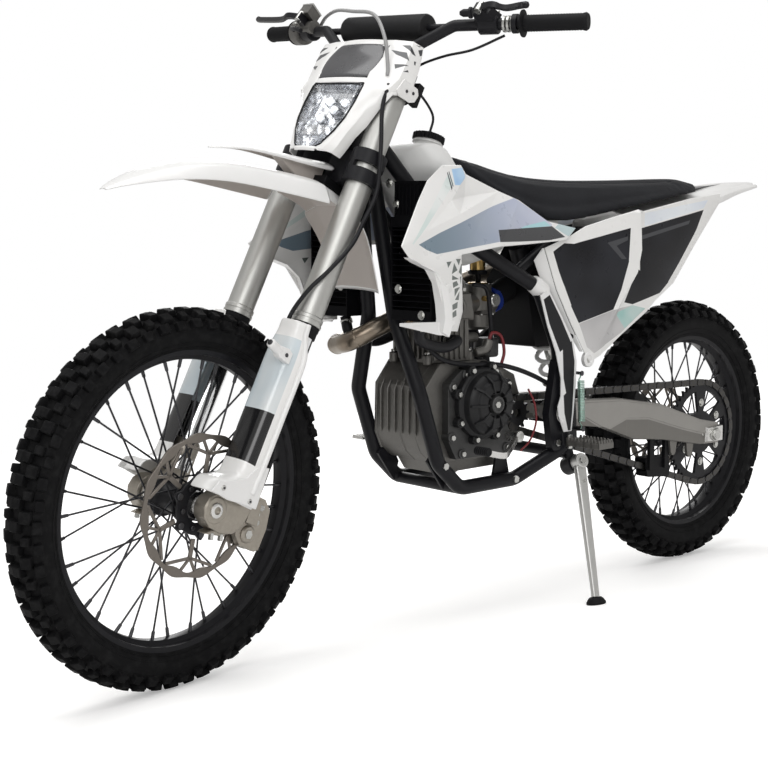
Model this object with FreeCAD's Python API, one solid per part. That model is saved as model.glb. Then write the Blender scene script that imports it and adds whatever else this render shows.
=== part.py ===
import FreeCAD, Part
import math
import os

# Motocross bike, in millimetres. It is modelled upright: x ahead, y to its left, z up,
# with the rear tyre's contact point at the origin. At the end the whole bike is leaned
# on to its side stand and the middle of its footprint is moved to the origin.

Vector = FreeCAD.Vector

# Driving dimensions
wheelBase = 1477.0
frontTyreRadius = 342.0
rearTyreRadius = 318.0
frontTyreHalf = 40.0
rearTyreHalf = 50.0
rakeDegrees = 27.15
clampOffset = 24.0
legToAxle = 56.0
forkSpread = 91.0
steerRestDegrees = 7.2
steerStopDegrees = 40.0
leanDegrees = 8.8
chainLine = 66.0

# Fits and overruns
slideFit = 0.3
overrun = 20.0
skin = 3.0

rake = math.radians(rakeDegrees)
forward = Vector(math.cos(rake), 0, math.sin(rake))
steerAxis = Vector(-math.sin(rake), 0, math.cos(rake))
frontAxle = Vector(wheelBase, 0, frontTyreRadius)
rearAxle = Vector(0, 0, rearTyreRadius)
steerBase = frontAxle - forward * (clampOffset + legToAxle)
left = Vector(0, 1, 0)


def steerPlace():
    """Steering pieces are drawn with x ahead, z up the steering axis."""
    turn = FreeCAD.Rotation(left, -rakeDegrees)
    return FreeCAD.Placement(steerBase, turn)


def onSteering(shape):
    return shape.transformed(steerPlace().toMatrix())


def fuse(shapes):
    if len(shapes) == 1:
        return shapes[0]
    return shapes[0].fuse(shapes[1:]).removeSplitter()


def both(shape):
    """A piece and its mirror image on the other side of the bike."""
    return [shape, shape.mirror(Vector(0, 0, 0), left)]


def rod(start, end, radius):
    run = end - start
    return Part.makeCylinder(radius, run.Length, start, run)


def meeting(shape, start, end):
    """The first point of a shape on the way from start to end."""
    run = Part.makeLine(start, end).common(shape)
    return min((v.Point for v in run.Vertexes), key=lambda p: (p - start).Length)


def shifted(shape, x, y, z):
    copy = shape.copy()
    copy.translate(Vector(x, y, z))
    return copy


def tube(start, end, radius, bore):
    run = end - start
    return rod(start, end, radius).cut(rod(start - run, end + run, bore))


def cornerArc(before, point, after, radius):
    """Tangent arc that rounds one corner of a path: start, middle and end."""
    a = (before - point).normalize()
    b = (after - point).normalize()
    half = a.getAngle(b) / 2
    reach = radius / math.tan(half)
    centre = point + (a + b).normalize() * (radius / math.sin(half))
    middle = centre + (point - centre).normalize() * radius
    return point + a * reach, middle, point + b * reach


def roundedEdges(points, radius, closed):
    """Straight runs joined by tangent arcs."""
    count = len(points)
    edges = []
    last = None if closed else points[0]
    first = None
    corners = range(count) if closed else range(1, count - 1)
    for i in corners:
        start, middle, end = cornerArc(points[i - 1], points[i], points[(i + 1) % count], radius)
        if last is not None:
            edges.append(Part.LineSegment(last, start).toShape())
        else:
            first = start
        edges.append(Part.Arc(start, middle, end).toShape())
        last = end
    finish = first if closed else points[-1]
    edges.append(Part.LineSegment(last, finish).toShape())
    return edges


def pipe(points, bend, radius, bore=0):
    """A round bar or tube along straight runs and tangent arcs."""
    path = Part.Wire(roundedEdges(points, bend, False))
    run = points[1] - points[0]
    ring = Part.Wire(Part.makeCircle(radius, points[0], run))
    solid = path.makePipeShell([ring], True, False)
    if bore:
        hole = Part.Wire(Part.makeCircle(bore, points[0], run))
        solid = solid.cut(path.makePipeShell([hole], True, False))
    return solid


def hose(points, radius):
    """A round hose whose bends are as large as its runs allow."""
    edges = []
    last = points[0]
    for i in range(1, len(points) - 1):
        before, point, after = points[i - 1:i + 2]
        reach = 0.45 * min((before - point).Length, (after - point).Length)
        half = (before - point).getAngle(after - point) / 2
        start, middle, end = cornerArc(before, point, after, reach * math.tan(half))
        edges += [Part.LineSegment(last, start).toShape(), Part.Arc(start, middle, end).toShape()]
        last = end
    edges.append(Part.LineSegment(last, points[-1]).toShape())
    ring = Part.Wire(Part.makeCircle(radius, points[0], points[1] - points[0]))
    return Part.Wire(edges).makePipeShell([ring], True, False)


def sidePoints(outline, y=0):
    """Points of an outline given as x and z, at one distance from the middle."""
    return [Vector(x, y, z) for x, z in outline]


def plate(outline, near, far, corner=0):
    """A side-view outline given as x and z, as thick as from near to far."""
    points = sidePoints(outline, near)
    if corner:
        wire = Part.Wire(roundedEdges(points, corner, True))
    else:
        wire = Part.makePolygon(points + points[:1])
    return Part.Face(wire).extrude(Vector(0, far - near, 0))


def loft(sections, ruled=False):
    wires = [Part.makePolygon(points + points[:1]) for points in sections]
    return Part.makeLoft(wires, True, ruled)


def turned(profile):
    """A ring round the y axis from an outline given as radius and y."""
    points = [Vector(radius, y, 0) for radius, y in profile]
    face = Part.Face(Part.makePolygon(points + points[:1]))
    return face.revolve(Vector(0, 0, 0), left, 360)


def disc(radius, near, far):
    return Part.makeCylinder(radius, far - near, Vector(0, near, 0), left)


def arch(halfWidth, shoulder, edge, crown, wall):
    """A thin arched strip across the bike, as y and z pairs, outside then inside."""
    outer = [(halfWidth, edge), (shoulder, (edge + crown * 2) / 3), (0, crown)]
    outer += [(-y, z) for y, z in reversed(outer[:2])]
    inner = [(y, z - wall) for y, z in reversed(outer)]
    return outer + inner


# Wheels, drawn with the axle along y at the origin
axleRadius = 10.0
axleBore = 7.0
frontBead = 266.0
rearBead = 229.0
rimDepth = 9.0
rimLip = 8.0
rimWall = 3.0
frontRimHalf = 24.0
rearRimHalf = 32.0
beadInset = 4.0
lugHeight = 13.0
shoulderShare = 0.62
sidewallShare = 0.5
spokeCount = 36
spokeRadius = 2.0
spokeShift = 4.5
hubRadius = 26.0
flangeRadius = 36.0
flangeWidth = 7.0
frontHubHalf = 34.0
rearHubHalf = 42.0
hubGap = 2.0


def rim(bead, half):
    inner = bead - rimDepth
    outline = [
        (bead + rimLip, half), (bead, half - rimWall), (bead - rimWall, half - rimWall),
        (inner, half / 2), (inner, -half / 2), (bead - rimWall, -half + rimWall),
        (bead, -half + rimWall), (bead + rimLip, -half),
        (bead + rimLip, -half + rimWall), (bead + rimWall, -half + rimWall * 2),
        (inner + rimWall, -half / 2), (inner + rimWall, half / 2),
        (bead + rimWall, half - rimWall * 2), (bead + rimLip, half - rimWall),
    ]
    return turned(outline)


def tyre(radius, half, bead, rimHalf):
    """A round carcass on the rim, out to the tips of its lugs."""
    seat = rimHalf - rimWall * 2 - slideFit
    low = bead + rimWall + slideFit
    middle = low + (radius - low) * sidewallShare
    shoulder = radius - lugHeight * 1.6
    points = [
        Vector(low, seat, 0), Vector(low + rimLip, seat - slideFit, 0),
        Vector(middle, half, 0), Vector(shoulder, half * 0.9, 0), Vector(radius, 0, 0),
    ]
    low_edge = Part.LineSegment(points[0], points[1]).toShape()
    wall = Part.BSplineCurve()
    wall.interpolate(points[1:4])
    mirrored = [Vector(p.x, -p.y, 0) for p in points]
    other = Part.BSplineCurve()
    other.interpolate(mirrored[1:4])
    crown = Part.Arc(points[3], points[4], mirrored[3]).toShape()
    base = Part.LineSegment(mirrored[0], points[0]).toShape()
    low_other = Part.LineSegment(mirrored[0], mirrored[1]).toShape()
    edges = [low_edge, wall.toShape(), crown, other.toShape(), low_other, base]
    wire = Part.Wire(Part.__sortEdges__(edges))
    return Part.Face(wire).revolve(Vector(0, 0, 0), left, 360)


def hub(half):
    """A waisted barrel with a flange at each end."""
    outline = [
        (axleRadius + slideFit, half), (flangeRadius, half),
        (flangeRadius, half - flangeWidth), (hubRadius, half - flangeWidth * 2),
        (hubRadius, -half + flangeWidth * 2), (flangeRadius, -half + flangeWidth),
        (flangeRadius, -half), (axleRadius + slideFit, -half),
    ]
    return turned(outline)


def spokes(half, bead, rimHalf):
    """Crossed spokes, face to face with the flange edges and the well of the rim."""
    inner = bead - rimDepth
    ring = disc(inner, -half * 2, half * 2).cut(disc(flangeRadius, -half * 2, half * 2))
    pitch = 4 * math.pi / spokeCount
    cross = pitch * 1.5
    made = []
    for side in (1, -1):
        for lean in (1, -1):
            near = side * (half - flangeWidth / 2) + lean * spokeShift / 2
            far = side * rimHalf / 4
            turn = lean * cross
            start = Vector((flangeRadius - overrun / 4) * math.cos(turn), near,
                           (flangeRadius - overrun / 4) * math.sin(turn))
            end = Vector(inner + overrun / 4, far, 0)
            one = rod(start, end, spokeRadius).common(ring)
            phase = pitch * (0.5 * (side < 0) + 0.25 * (lean < 0))
            for i in range(spokeCount // 4):
                copy = one.copy()
                angle = math.degrees(phase + i * 2 * pitch)
                copy.rotate(Vector(0, 0, 0), left, angle)
                made.append(copy)
    return Part.makeCompound(made)


# Brake discs
frontDiscRadius = 130.0
rearDiscRadius = 112.0
discThickness = 4.0
discWaves = 12
waveDepth = 4.0
discBand = 26.0
carrierRadius = 48.0
carrierBore = 30.0
windowShare = 0.62
frontDiscPlane = 60.0
rearDiscPlane = -60.0


def ringWindow(inside, outside, middle, spread):
    """A window between two radii, centred on one angle."""
    def at(radius, angle):
        return Vector(radius * math.cos(angle), 0, radius * math.sin(angle))
    low, high = middle - spread / 2, middle + spread / 2
    edges = [
        Part.Arc(at(inside, low), at(inside, middle), at(inside, high)).toShape(),
        Part.LineSegment(at(inside, high), at(outside, high)).toShape(),
        Part.Arc(at(outside, high), at(outside, middle), at(outside, low)).toShape(),
        Part.LineSegment(at(outside, low), at(inside, low)).toShape(),
    ]
    return Part.Wire(edges)


def waveDisc(radius, plane):
    """A disc with a wavy edge and six windows, on a carrier ring."""
    points = []
    steps = discWaves * 4
    for i in range(steps):
        angle = 2 * math.pi * i / steps
        reach = radius - waveDepth + waveDepth * math.cos(discWaves * angle)
        points.append(Vector(reach * math.cos(angle), 0, reach * math.sin(angle)))
    edge = Part.BSplineCurve()
    edge.interpolate(points, PeriodicFlag=True)
    face = Part.Face(Part.Wire(edge.toShape()))
    body = face.extrude(Vector(0, discThickness, 0))
    body.translate(Vector(0, plane - discThickness / 2, 0))
    holes = [disc(carrierBore, plane - overrun, plane + overrun)]
    arms = discWaves // 2
    for i in range(arms):
        middle = 2 * math.pi * i / arms
        window = ringWindow(carrierRadius, radius - discBand, middle,
                            2 * math.pi / arms * windowShare)
        hole = Part.Face(window).extrude(Vector(0, overrun * 2, 0))
        hole.translate(Vector(0, plane - overrun, 0))
        holes.append(hole)
    return body.cut(holes)


def discSpacer(near, far):
    """The hub's boss that carries a brake disc or the chain wheel."""
    return disc(carrierRadius - waveDepth, near, far).cut(
        disc(axleRadius + slideFit, near - overrun, far + overrun))


# Chain wheels and chain
chainPitch = 15.875
rollerRadius = 5.1
rearTeeth = 48
frontTeeth = 13
toothHeight = 4.6
toothTipShare = 0.45
sprocketThickness = 7.0
chainWidth = 16.0
chainHeight = 14.0
driveX = 655.0
driveZ = 425.0


def pitchRadius(teeth):
    return chainPitch / (2 * math.sin(math.pi / teeth))


def toothedWheel(teeth, hole, plane):
    """A chain wheel: round valleys for the rollers and short flat-topped teeth."""
    radius = pitchRadius(teeth)
    seat = rollerRadius + slideFit
    step = 2 * math.pi / teeth
    edges = []

    def at(reach, angle):
        return Vector(reach * math.cos(angle), 0, reach * math.sin(angle))
    lip = seat / radius
    tip = (step / 2 - lip) * toothTipShare
    last = None
    for i in range(teeth + 1):
        angle = i * step
        start = at(radius, angle - lip)
        if last is not None:
            crest = [at(radius + toothHeight, angle - step / 2 + side * tip) for side in (-1, 1)]
            for a, b in zip([last] + crest, crest + [start]):
                edges.append(Part.LineSegment(a, b).toShape())
        if i < teeth:
            last = at(radius, angle + lip)
            edges.append(Part.Arc(start, at(radius - seat, angle), last).toShape())
    face = Part.Face(Part.Wire(edges))
    body = face.extrude(Vector(0, sprocketThickness, 0))
    body.translate(Vector(0, plane - sprocketThickness / 2, 0))
    return body.cut(disc(hole, plane - overrun, plane + overrun))


def rearSprocket():
    wheel = toothedWheel(rearTeeth, carrierBore, chainLine)
    windows = []
    arms = 6
    radius = pitchRadius(rearTeeth) - overrun
    for i in range(arms):
        middle = 2 * math.pi * i / arms
        window = ringWindow(carrierRadius + waveDepth, radius, middle,
                            2 * math.pi / arms * windowShare)
        hole = Part.Face(window).extrude(Vector(0, overrun * 2, 0))
        hole.translate(Vector(0, chainLine - overrun, 0))
        windows.append(hole)
    return wheel.cut(windows)


def beltPoints(growth):
    """The two circles and the four tangent points of the chain's loop."""
    small = pitchRadius(frontTeeth) + growth
    large = pitchRadius(rearTeeth) + growth
    front = Vector(driveX, 0, driveZ)
    rear = Vector(0, 0, rearTyreRadius)
    line = front - rear
    tilt = math.atan2(line.z, line.x)
    spread = math.acos((large - small) / line.Length)

    def at(centre, reach, angle):
        return centre + Vector(reach * math.cos(angle), 0, reach * math.sin(angle))
    return [
        at(rear, large, tilt + spread), at(front, small, tilt + spread),
        at(front, small, tilt), at(front, small, tilt - spread),
        at(rear, large, tilt - spread), at(rear, large, tilt + math.pi),
    ]


def beltSolid(growth, near, far):
    p = beltPoints(growth)
    edges = [
        Part.LineSegment(p[0], p[1]).toShape(), Part.Arc(p[1], p[2], p[3]).toShape(),
        Part.LineSegment(p[3], p[4]).toShape(), Part.Arc(p[4], p[5], p[0]).toShape(),
    ]
    body = Part.Face(Part.Wire(edges)).extrude(Vector(0, far - near, 0))
    body.translate(Vector(0, near, 0))
    return body


def chain():
    """The side plates as two bands and a strip of rollers over the teeth."""
    half = chainWidth / 2
    bands = beltSolid(chainHeight / 2, chainLine - half, chainLine + half)
    bands = bands.cut(beltSolid(-chainHeight / 2, chainLine - half * 2, chainLine + half * 2))
    slot = sprocketThickness / 2 + 1.5 * slideFit
    groove = beltSolid(toothHeight + 1.5 * slideFit, chainLine - slot, chainLine + slot)
    return bands.cut(groove)


def frontSprocket():
    wheel = toothedWheel(frontTeeth, axleRadius, 0)
    wheel.rotate(Vector(0, 0, 0), left, 0)
    wheel.translate(Vector(driveX, chainLine, driveZ))
    return wheel


# Fork and clamps, drawn with x ahead of the steering axis and z along it
outerRadius = 26.0
innerRadius = 23.0
outerLow = 372.0
outerTop = 905.0
capHeight = 8.0
lowerClampLow = 655.0
lowerClampTop = 720.0
upperClampLow = 870.0
upperClampTop = 898.0
clampWall = 8.0
bandGap = 12.0
stemRadius = 15.0
headRadius = 27.0
lugWidth = 30.0
lugRadius = 27.0
lugLow = -8.0
lugHigh = 95.0
lugKnee = 60.0
innerOverlap = 60.0
barX = 30.0
barClampZ = 925.0
barRadius = 14.0
riserHalf = 46.0
riserWidth = 26.0


def forkOuter():
    bottom = Vector(clampOffset, forkSpread, outerLow)
    top = Vector(clampOffset, forkSpread, outerTop)
    leg = tube(bottom, top, outerRadius, innerRadius + slideFit)
    cap = rod(top, top + Vector(0, 0, capHeight), outerRadius - slideFit)
    collar = rod(bottom, bottom + Vector(0, 0, capHeight * 2), outerRadius + skin)
    collar = collar.cut(rod(bottom - Vector(0, 0, overrun), top, innerRadius + slideFit))
    return Part.makeCompound(both(fuse([leg, cap, collar])))


def forkLower():
    """Sliding tube with the lug that holds the axle ahead of it."""
    axleX = clampOffset + legToAxle
    low = Vector(clampOffset, forkSpread, lugLow + lugRadius / 2)
    top = Vector(clampOffset, forkSpread, outerLow + innerOverlap)
    leg = rod(low, top, innerRadius)
    near, far = forkSpread - lugWidth / 2, forkSpread + lugWidth / 2
    outline = [
        (clampOffset - innerRadius, lugHigh), (clampOffset - innerRadius, lugLow),
        (clampOffset, lugLow - lugRadius), (axleX + lugRadius / 2, -lugRadius),
        (axleX + lugRadius, 0), (axleX + lugRadius / 2, lugRadius),
        (clampOffset + innerRadius + lugRadius / 3, lugKnee), (clampOffset + innerRadius, lugHigh),
    ]
    lug = plate(outline, near, far, skin)
    lug = lug.fuse(Part.makeCylinder(lugRadius, lugWidth, Vector(axleX, near, 0), left))
    lug = lug.cut(Part.makeCylinder(axleRadius, lugWidth * 2, Vector(axleX, near - lugWidth / 2, 0), left))
    return Part.makeCompound(both(fuse([leg, lug])))


def clampPlate(low, high, wall):
    """A bridge between two split rings round the fork legs, and round the stem."""
    reach = outerRadius + wall
    half = forkSpread
    outline = [
        Vector(clampOffset + reach * 0.7, half, low), Vector(clampOffset + reach * 0.2, 0, low),
        Vector(clampOffset + reach * 0.7, -half, low), Vector(clampOffset - reach * 0.8, -half, low),
        Vector(-stemRadius - clampWall, -half / 4, low), Vector(-stemRadius - clampWall, half / 4, low),
        Vector(clampOffset - reach * 0.8, half, low),
    ]
    face = Part.Face(Part.makePolygon(outline + outline[:1]))
    body = face.extrude(Vector(0, 0, high - low))
    legs = [Vector(clampOffset, y, low) for y in (half, -half)]
    rise = Vector(0, 0, high - low)
    body = body.fuse([rod(p, p + rise, reach) for p in legs])
    for p in legs:
        body = body.cut(rod(p - rise, p + rise * 2, outerRadius))
    return body


def lowerClamp():
    low = lowerClampLow
    high = lowerClampTop
    body = clampPlate(low, high, clampWall)
    middle = (low + high) / 2
    groove = Part.makeBox(overrun * 20, overrun * 20, bandGap,
                          Vector(-overrun * 10, forkSpread - clampWall, middle - bandGap / 2))
    for cut in both(groove):
        body = body.cut(cut.cut(Part.makeBox(overrun * 20, forkSpread * 2, bandGap * 3,
                                             Vector(-overrun * 10, -forkSpread, middle - bandGap))))
    stem = rod(Vector(0, 0, low), Vector(0, 0, upperClampLow), stemRadius)
    return fuse([body, stem])


def forkClamps():
    """Both clamps on one stem."""
    return fuse([lowerClamp(), upperClamp()])


def upperClamp():
    """Upper clamp with the two risers that hold the handlebar, and the stem nut."""
    body = clampPlate(upperClampLow, upperClampTop, clampWall * 0.55)
    nut = Part.makeCylinder(stemRadius, capHeight, Vector(0, 0, upperClampTop))
    seat = Vector(barX, 0, barClampZ)
    parts = [body, nut]
    for y in (riserHalf, -riserHalf):
        foot = Part.makeBox(riserWidth * 1.4, riserWidth, barClampZ - upperClampTop,
                            Vector(barX - riserWidth * 0.7, y - riserWidth / 2, upperClampTop))
        ring = Part.makeCylinder(barRadius + clampWall, riserWidth,
                                 Vector(barX, y - riserWidth / 2, barClampZ), left)
        parts += [foot, ring]
    body = fuse(parts)
    return body.cut(rod(seat - left * forkSpread, seat + left * forkSpread, barRadius))


guardTop = 368.0
guardReach = 48.0
guardWall = 4.0
guardBossShares = (0.33, 0.66)
# up, then ahead and out of the leg at the inner, front, outer and rear edge
guardShares = [
    (0.065, (2.17, -0.44), (2.15, 0.44), (0.75, 0.73), (-0.21, 0.65)),
    (0.133, (1.96, -0.44), (1.92, 0.44), (0.75, 0.75), (-0.21, 0.65)),
    (0.174, (1.29, -0.46), (1.21, 0.44), (0.58, 0.75), (-0.17, 0.65)),
    (0.22, (1.04, -0.46), (0.96, 0.46), (0.42, 0.77), (-0.12, 0.67)),
    (0.815, (1.0, -0.48), (0.92, 0.46), (0.38, 0.77), (-0.12, 0.67)),
    (0.937, (0.92, -0.4), (0.83, 0.31), (0.62, 0.54), (0.42, 0.58)),
    (1.0, (0.96, -0.35), (0.87, 0.31), (0.67, 0.54), (0.46, 0.6)),
]


def guardSection(up, corners):
    """An open bow round the front and the outer side of a leg, seen from above."""
    centre = Vector(clampOffset, forkSpread, guardTop * up)
    steps = [Vector(x, y, 0) * guardReach for x, y in corners]
    outer = [centre + step for step in steps]
    inner = [centre + step * (1 - guardWall / step.Length) for step in reversed(steps)]
    return outer + inner


def forkGuard():
    body = loft([guardSection(up, corners) for up, *corners in guardShares], True)
    seat = Vector(clampOffset + innerRadius + slideFit, forkSpread, 0)
    bosses = []
    for share in guardBossShares:
        start = seat + Vector(0, 0, guardTop * share)
        end = meeting(body, start, start + Vector(guardReach, 0, 0))
        bosses.append(rod(start, end + Vector(guardWall / 2, 0, 0), guardWall))
    return Part.makeCompound(both(fuse([body] + bosses)))


# Handlebar, its pad, grips and hand controls
barHalf = 407.0
barRise = 122.0
barSweep = 87.0
bendY = 62.0
kneeY = 165.0
kneeZ = 1003.0
barTubeRadius = 11.0
gripRadius = 16.0
gripLength = 122.0
crossZ = 1000.0
padRadius = 27.0
padHalf = 105.0
barWall = 3.0


def barPoints():
    end = Vector(barX - barSweep, barHalf, barClampZ + barRise)
    knee = Vector(barX - barSweep / 5, kneeY, kneeZ)
    bend = Vector(barX, bendY, barClampZ)
    rightSide = [Vector(p.x, -p.y, p.z) for p in (bend, knee, end)]
    return [end, knee, bend] + rightSide


def handlebar():
    points = barPoints()
    bar = pipe(points, bendY / 2, barTubeRadius)
    seat = rod(Vector(barX, -bendY / 2 - riserWidth, barClampZ),
               Vector(barX, bendY / 2 + riserWidth, barClampZ), barRadius)
    share = (crossZ - barClampZ) / (kneeZ - barClampZ)
    end = points[2] + (points[1] - points[2]) * share
    across = rod(end, Vector(end.x, -end.y, end.z), barTubeRadius * 0.6)
    return fuse([bar, seat, across])


def barPad():
    share = (crossZ - barClampZ) / (kneeZ - barClampZ)
    end = barPoints()[2] + (barPoints()[1] - barPoints()[2]) * share
    centre = Vector(end.x, 0, end.z)
    body = rod(centre - left * padHalf, centre + left * padHalf, padRadius)
    return body.cut(rod(centre - left * padHalf * 2, centre + left * padHalf * 2,
                        barTubeRadius * 0.6 + slideFit))


def gripLine():
    end, knee = barPoints()[:2]
    run = (end - knee).normalize()
    return end, run


def grips():
    end, run = gripLine()
    start = end - run * gripLength
    body = rod(start, end + run * skin, gripRadius)
    flange = rod(start, start + run * skin, gripRadius * 1.6)
    body = fuse([body, flange]).cut(rod(start - run * overrun, end, barTubeRadius + slideFit))
    return Part.makeCompound(both(body))


perchLength = 46.0
leverReach = 55.0
leverLength = 165.0
leverThick = 9.0


def leverAndPerch(offset):
    """A clamp on the bar, with a lever that runs ahead of the grip."""
    end, run = gripLine()
    start = end - run * (gripLength + offset)
    clamp = tube(start - run * perchLength, start, barTubeRadius * 1.7, barTubeRadius)
    ahead = Vector(1, 0, 0.25).normalize()
    pivot = start - run * (perchLength / 2) + ahead * leverReach * 0.75
    neck = rod(start - run * (perchLength / 2) + ahead * barTubeRadius * 1.3, pivot, leverThick)
    tip = end + ahead * leverReach
    lever = pipe([pivot, pivot + run * leverReach + ahead * leverThick, tip], leverReach / 2,
                 leverThick / 2)
    ball = Part.makeSphere(leverThick * 0.8, tip)
    return [clamp, neck, lever, ball], start, run, ahead


def clutchPerch():
    parts, start, run, ahead = leverAndPerch(perchLength / 2)
    return fuse(parts)


throttleRadius = 26.0
throttleLength = 34.0
reservoirLong = 44.0
reservoirHigh = 30.0


def brakeMaster():
    """Front brake lever, its reservoir and the twist grip's housing."""
    parts, start, run, ahead = leverAndPerch(throttleLength)
    place = start - run * perchLength + ahead * barTubeRadius * 1.1
    cup = Part.makeBox(reservoirHigh, reservoirLong, reservoirHigh, place - Vector(0, reservoirLong / 6, skin))
    body = fuse(parts + [cup]).cut(rod(start - run * perchLength * 2, start, barTubeRadius))
    return body.mirror(Vector(0, 0, 0), left)


def throttleHousing():
    end, run = gripLine()
    start = end - run * gripLength
    drum = tube(start - run * (throttleLength - slideFit), start - run * slideFit, throttleRadius,
                barTubeRadius)
    return drum.mirror(Vector(0, 0, 0), left)


# Headlight mask: up, then ahead and out at its rear edge, its cheek and its face
maskLow = 690.0
maskHeight = 258.0
maskFront = 100.0
maskHalf = 128.0
maskShares = [
    (0.0, (0.64, 0.47), (0.84, 0.45), (1.0, 0.39)), (0.18, (0.58, 0.54), (0.8, 0.53), (0.93, 0.44)),
    (0.28, (0.55, 0.67), (0.76, 0.61), (0.89, 0.48)), (0.46, (0.55, 0.8), (0.72, 0.67), (0.84, 0.52)),
    (0.575, (0.55, 0.98), (0.68, 0.72), (0.8, 0.52)), (0.59, (0.14, 0.99), (0.56, 0.97), (0.8, 0.52)),
    (0.68, (0.14, 0.99), (0.56, 0.97), (0.76, 0.56)), (0.85, (0.12, 0.985), (0.5, 0.965), (0.63, 0.59)),
    (1.0, (0.09, 0.92), (0.42, 0.89), (0.52, 0.6)),
]
# up, out
lampShares = [(0.02, 0.2), (0.05, 0.27), (0.27, 0.47), (0.42, 0.51), (0.56, 0.51), (0.585, 0.49)]
lampDepth = 30.0
lampLean = 0.139
lampCorner = 3.0


def maskSection(up, corners):
    z = maskLow + maskHeight * up
    side = [Vector(maskFront * x, maskHalf * y, z) for x, y in corners]
    outer = side + [Vector(p.x, -p.y, z) for p in reversed(side)]
    wall = skin * 1.2
    inner = [Vector(p.x - wall, p.y * (1 - skin / maskHalf), z) for p in reversed(outer)]
    inner[0].x = inner[-1].x = side[0].x
    return outer + inner


def headlightMask():
    body = loft([maskSection(up, corners) for up, *corners in maskShares], True)
    around = hose([Vector(*p) for p in brakeHoseRoute], hoseRadius + slideFit)
    return body.cut([lampBlock(slideFit, overrun * 2), around])


def lampBlock(growth, ahead):
    """The lamp's own outline on a face that leans back, narrow at the chin."""
    half = [(maskHeight * up, maskHalf * out + growth) for up, out in lampShares]
    half[0] = (half[0][0] - growth, half[0][1])
    half[-1] = (half[-1][0] + growth, half[-1][1])
    side = [Vector(maskFront - z * lampLean, y, maskLow + z) for z, y in half]
    outline = side + [Vector(p.x, -p.y, p.z) for p in reversed(side)]
    face = Part.Face(Part.Wire(roundedEdges(outline, lampCorner, True)))
    body = face.extrude(Vector(lampDepth + ahead, 0, 0))
    body.translate(Vector(-lampDepth, 0, 0))
    return body


def headlight():
    return lampBlock(0, skin / 2)


# Front fender, on the steering, from its tip to the flap behind the fork
fenderBack = -175.0
fenderLength = 653.0
fenderHalf = 84.0
fenderFoot = 405.0
fenderRise = 242.0
# along, up, then half width and drop of the edge and of the shoulder
fenderShares = [
    (1.000, 0.000, 0.12, 0.02, 0.07, 0.00), (0.942, 0.194, 0.45, 0.17, 0.32, 0.04),
    (0.838, 0.463, 0.74, 0.36, 0.55, 0.10), (0.727, 0.640, 0.86, 0.43, 0.69, 0.12),
    (0.574, 0.806, 0.95, 0.48, 0.74, 0.14), (0.436, 0.946, 1.00, 0.52, 0.79, 0.17),
    (0.384, 0.992, 1.00, 0.52, 0.79, 0.17), (0.369, 1.000, 0.69, 0.40, 0.52, 0.12),
    (0.262, 0.992, 0.69, 0.36, 0.52, 0.12), (0.198, 0.917, 0.86, 0.21, 0.62, 0.07),
    (0.130, 0.793, 0.79, 0.17, 0.57, 0.05), (0.038, 0.579, 0.71, 0.14, 0.52, 0.04),
    (0.000, 0.483, 0.69, 0.12, 0.50, 0.04),
]
# the raised layer on top: along, up, half width, drop of its edge
finShares = [(0.746, 0.698, 0.07, 0.04), (0.649, 0.888, 0.18, 0.07),
             (0.472, 1.062, 0.30, 0.12), (0.332, 1.198, 0.39, 0.17)]
fenderWeb = 6.0
stayLength = 82.0
stayHalf = 45.0


def fenderPoint(along, up):
    return Vector(fenderBack + fenderLength * along, 0, fenderFoot + fenderRise * up)


def fenderBow(middle, across, edge, shoulder):
    """A thin bow square to the fender's middle line."""
    halves = [(fenderHalf * half, fenderHalf * drop) for half, drop in (edge, shoulder)]
    outer = [middle + left * y + across * drop for y, drop in halves]
    outer += [middle] + [p - left * (p.y * 2) for p in reversed(outer)]
    return outer + [p + across * skin for p in reversed(outer)]


def bowsAlong(middles, bows):
    """One skin through bows that each stand square to the line through their middles."""
    sections = []
    for i, (edge, shoulder) in enumerate(bows):
        run = middles[min(i + 1, len(bows) - 1)] - middles[max(i - 1, 0)]
        across = Vector(-run.z, 0, run.x).normalize()
        if across.z > 0:
            across = across * -1
        sections.append(fenderBow(middles[i], across, edge, shoulder))
    return loft(sections, True)


def frontFender():
    middles = [fenderPoint(along, up) for along, up, *rest in fenderShares]
    body = bowsAlong(middles, [(row[2:4], row[4:6]) for row in fenderShares])
    tops = [fenderPoint(along, up) for along, up, half, drop in finShares]
    fin = bowsAlong(tops, [((half, drop), (half * 0.7, drop * 0.4)) for along, up, half, drop in finShares])
    under = [p for p in middles if tops[-1].x < p.x < tops[0].x]
    rim = [p - Vector(0, 0, skin / 2) for p in tops + list(reversed(under))]
    rim.insert(len(tops), Vector(tops[-1].x, 0, under[-1].z))
    web = plate([(p.x, p.z) for p in rim], -fenderWeb / 2, fenderWeb / 2)
    return fuse([body, fin, web, fenderStay()])


def fenderStay():
    """The fender's flat root under the lower clamp, bolted up into it."""
    return Part.makeBox(stayLength, stayHalf * 2, skin * 4,
                        Vector(clampOffset - stayLength / 2, -stayHalf, lowerClampLow - skin * 4))


# Front caliper and hose, on the steering
caliperX = -39.5
caliperZ = 12.0
caliperLong = 78.0
caliperHigh = 92.0
caliperDeep = 38.0
padGap = 2.5
earHigh = 50.0


def caliperBlock(plane, middle, axle, discRadius):
    """A caliper over the edge of a brake disc, with a slot for the disc."""
    outline = [
        (middle.x + x * caliperLong / 2, middle.z + z * caliperHigh / 2)
        for x, z in ((-1, -1), (1, -1), (1, 1), (-1, 1))
    ]
    body = plate(outline, plane - caliperDeep / 2, plane + caliperDeep / 2, caliperLong / 5)
    gap = discThickness / 2 + padGap
    slot = disc(discRadius + padGap, plane - gap, plane + gap)
    slot.translate(axle)
    return body.cut(slot)


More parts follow.
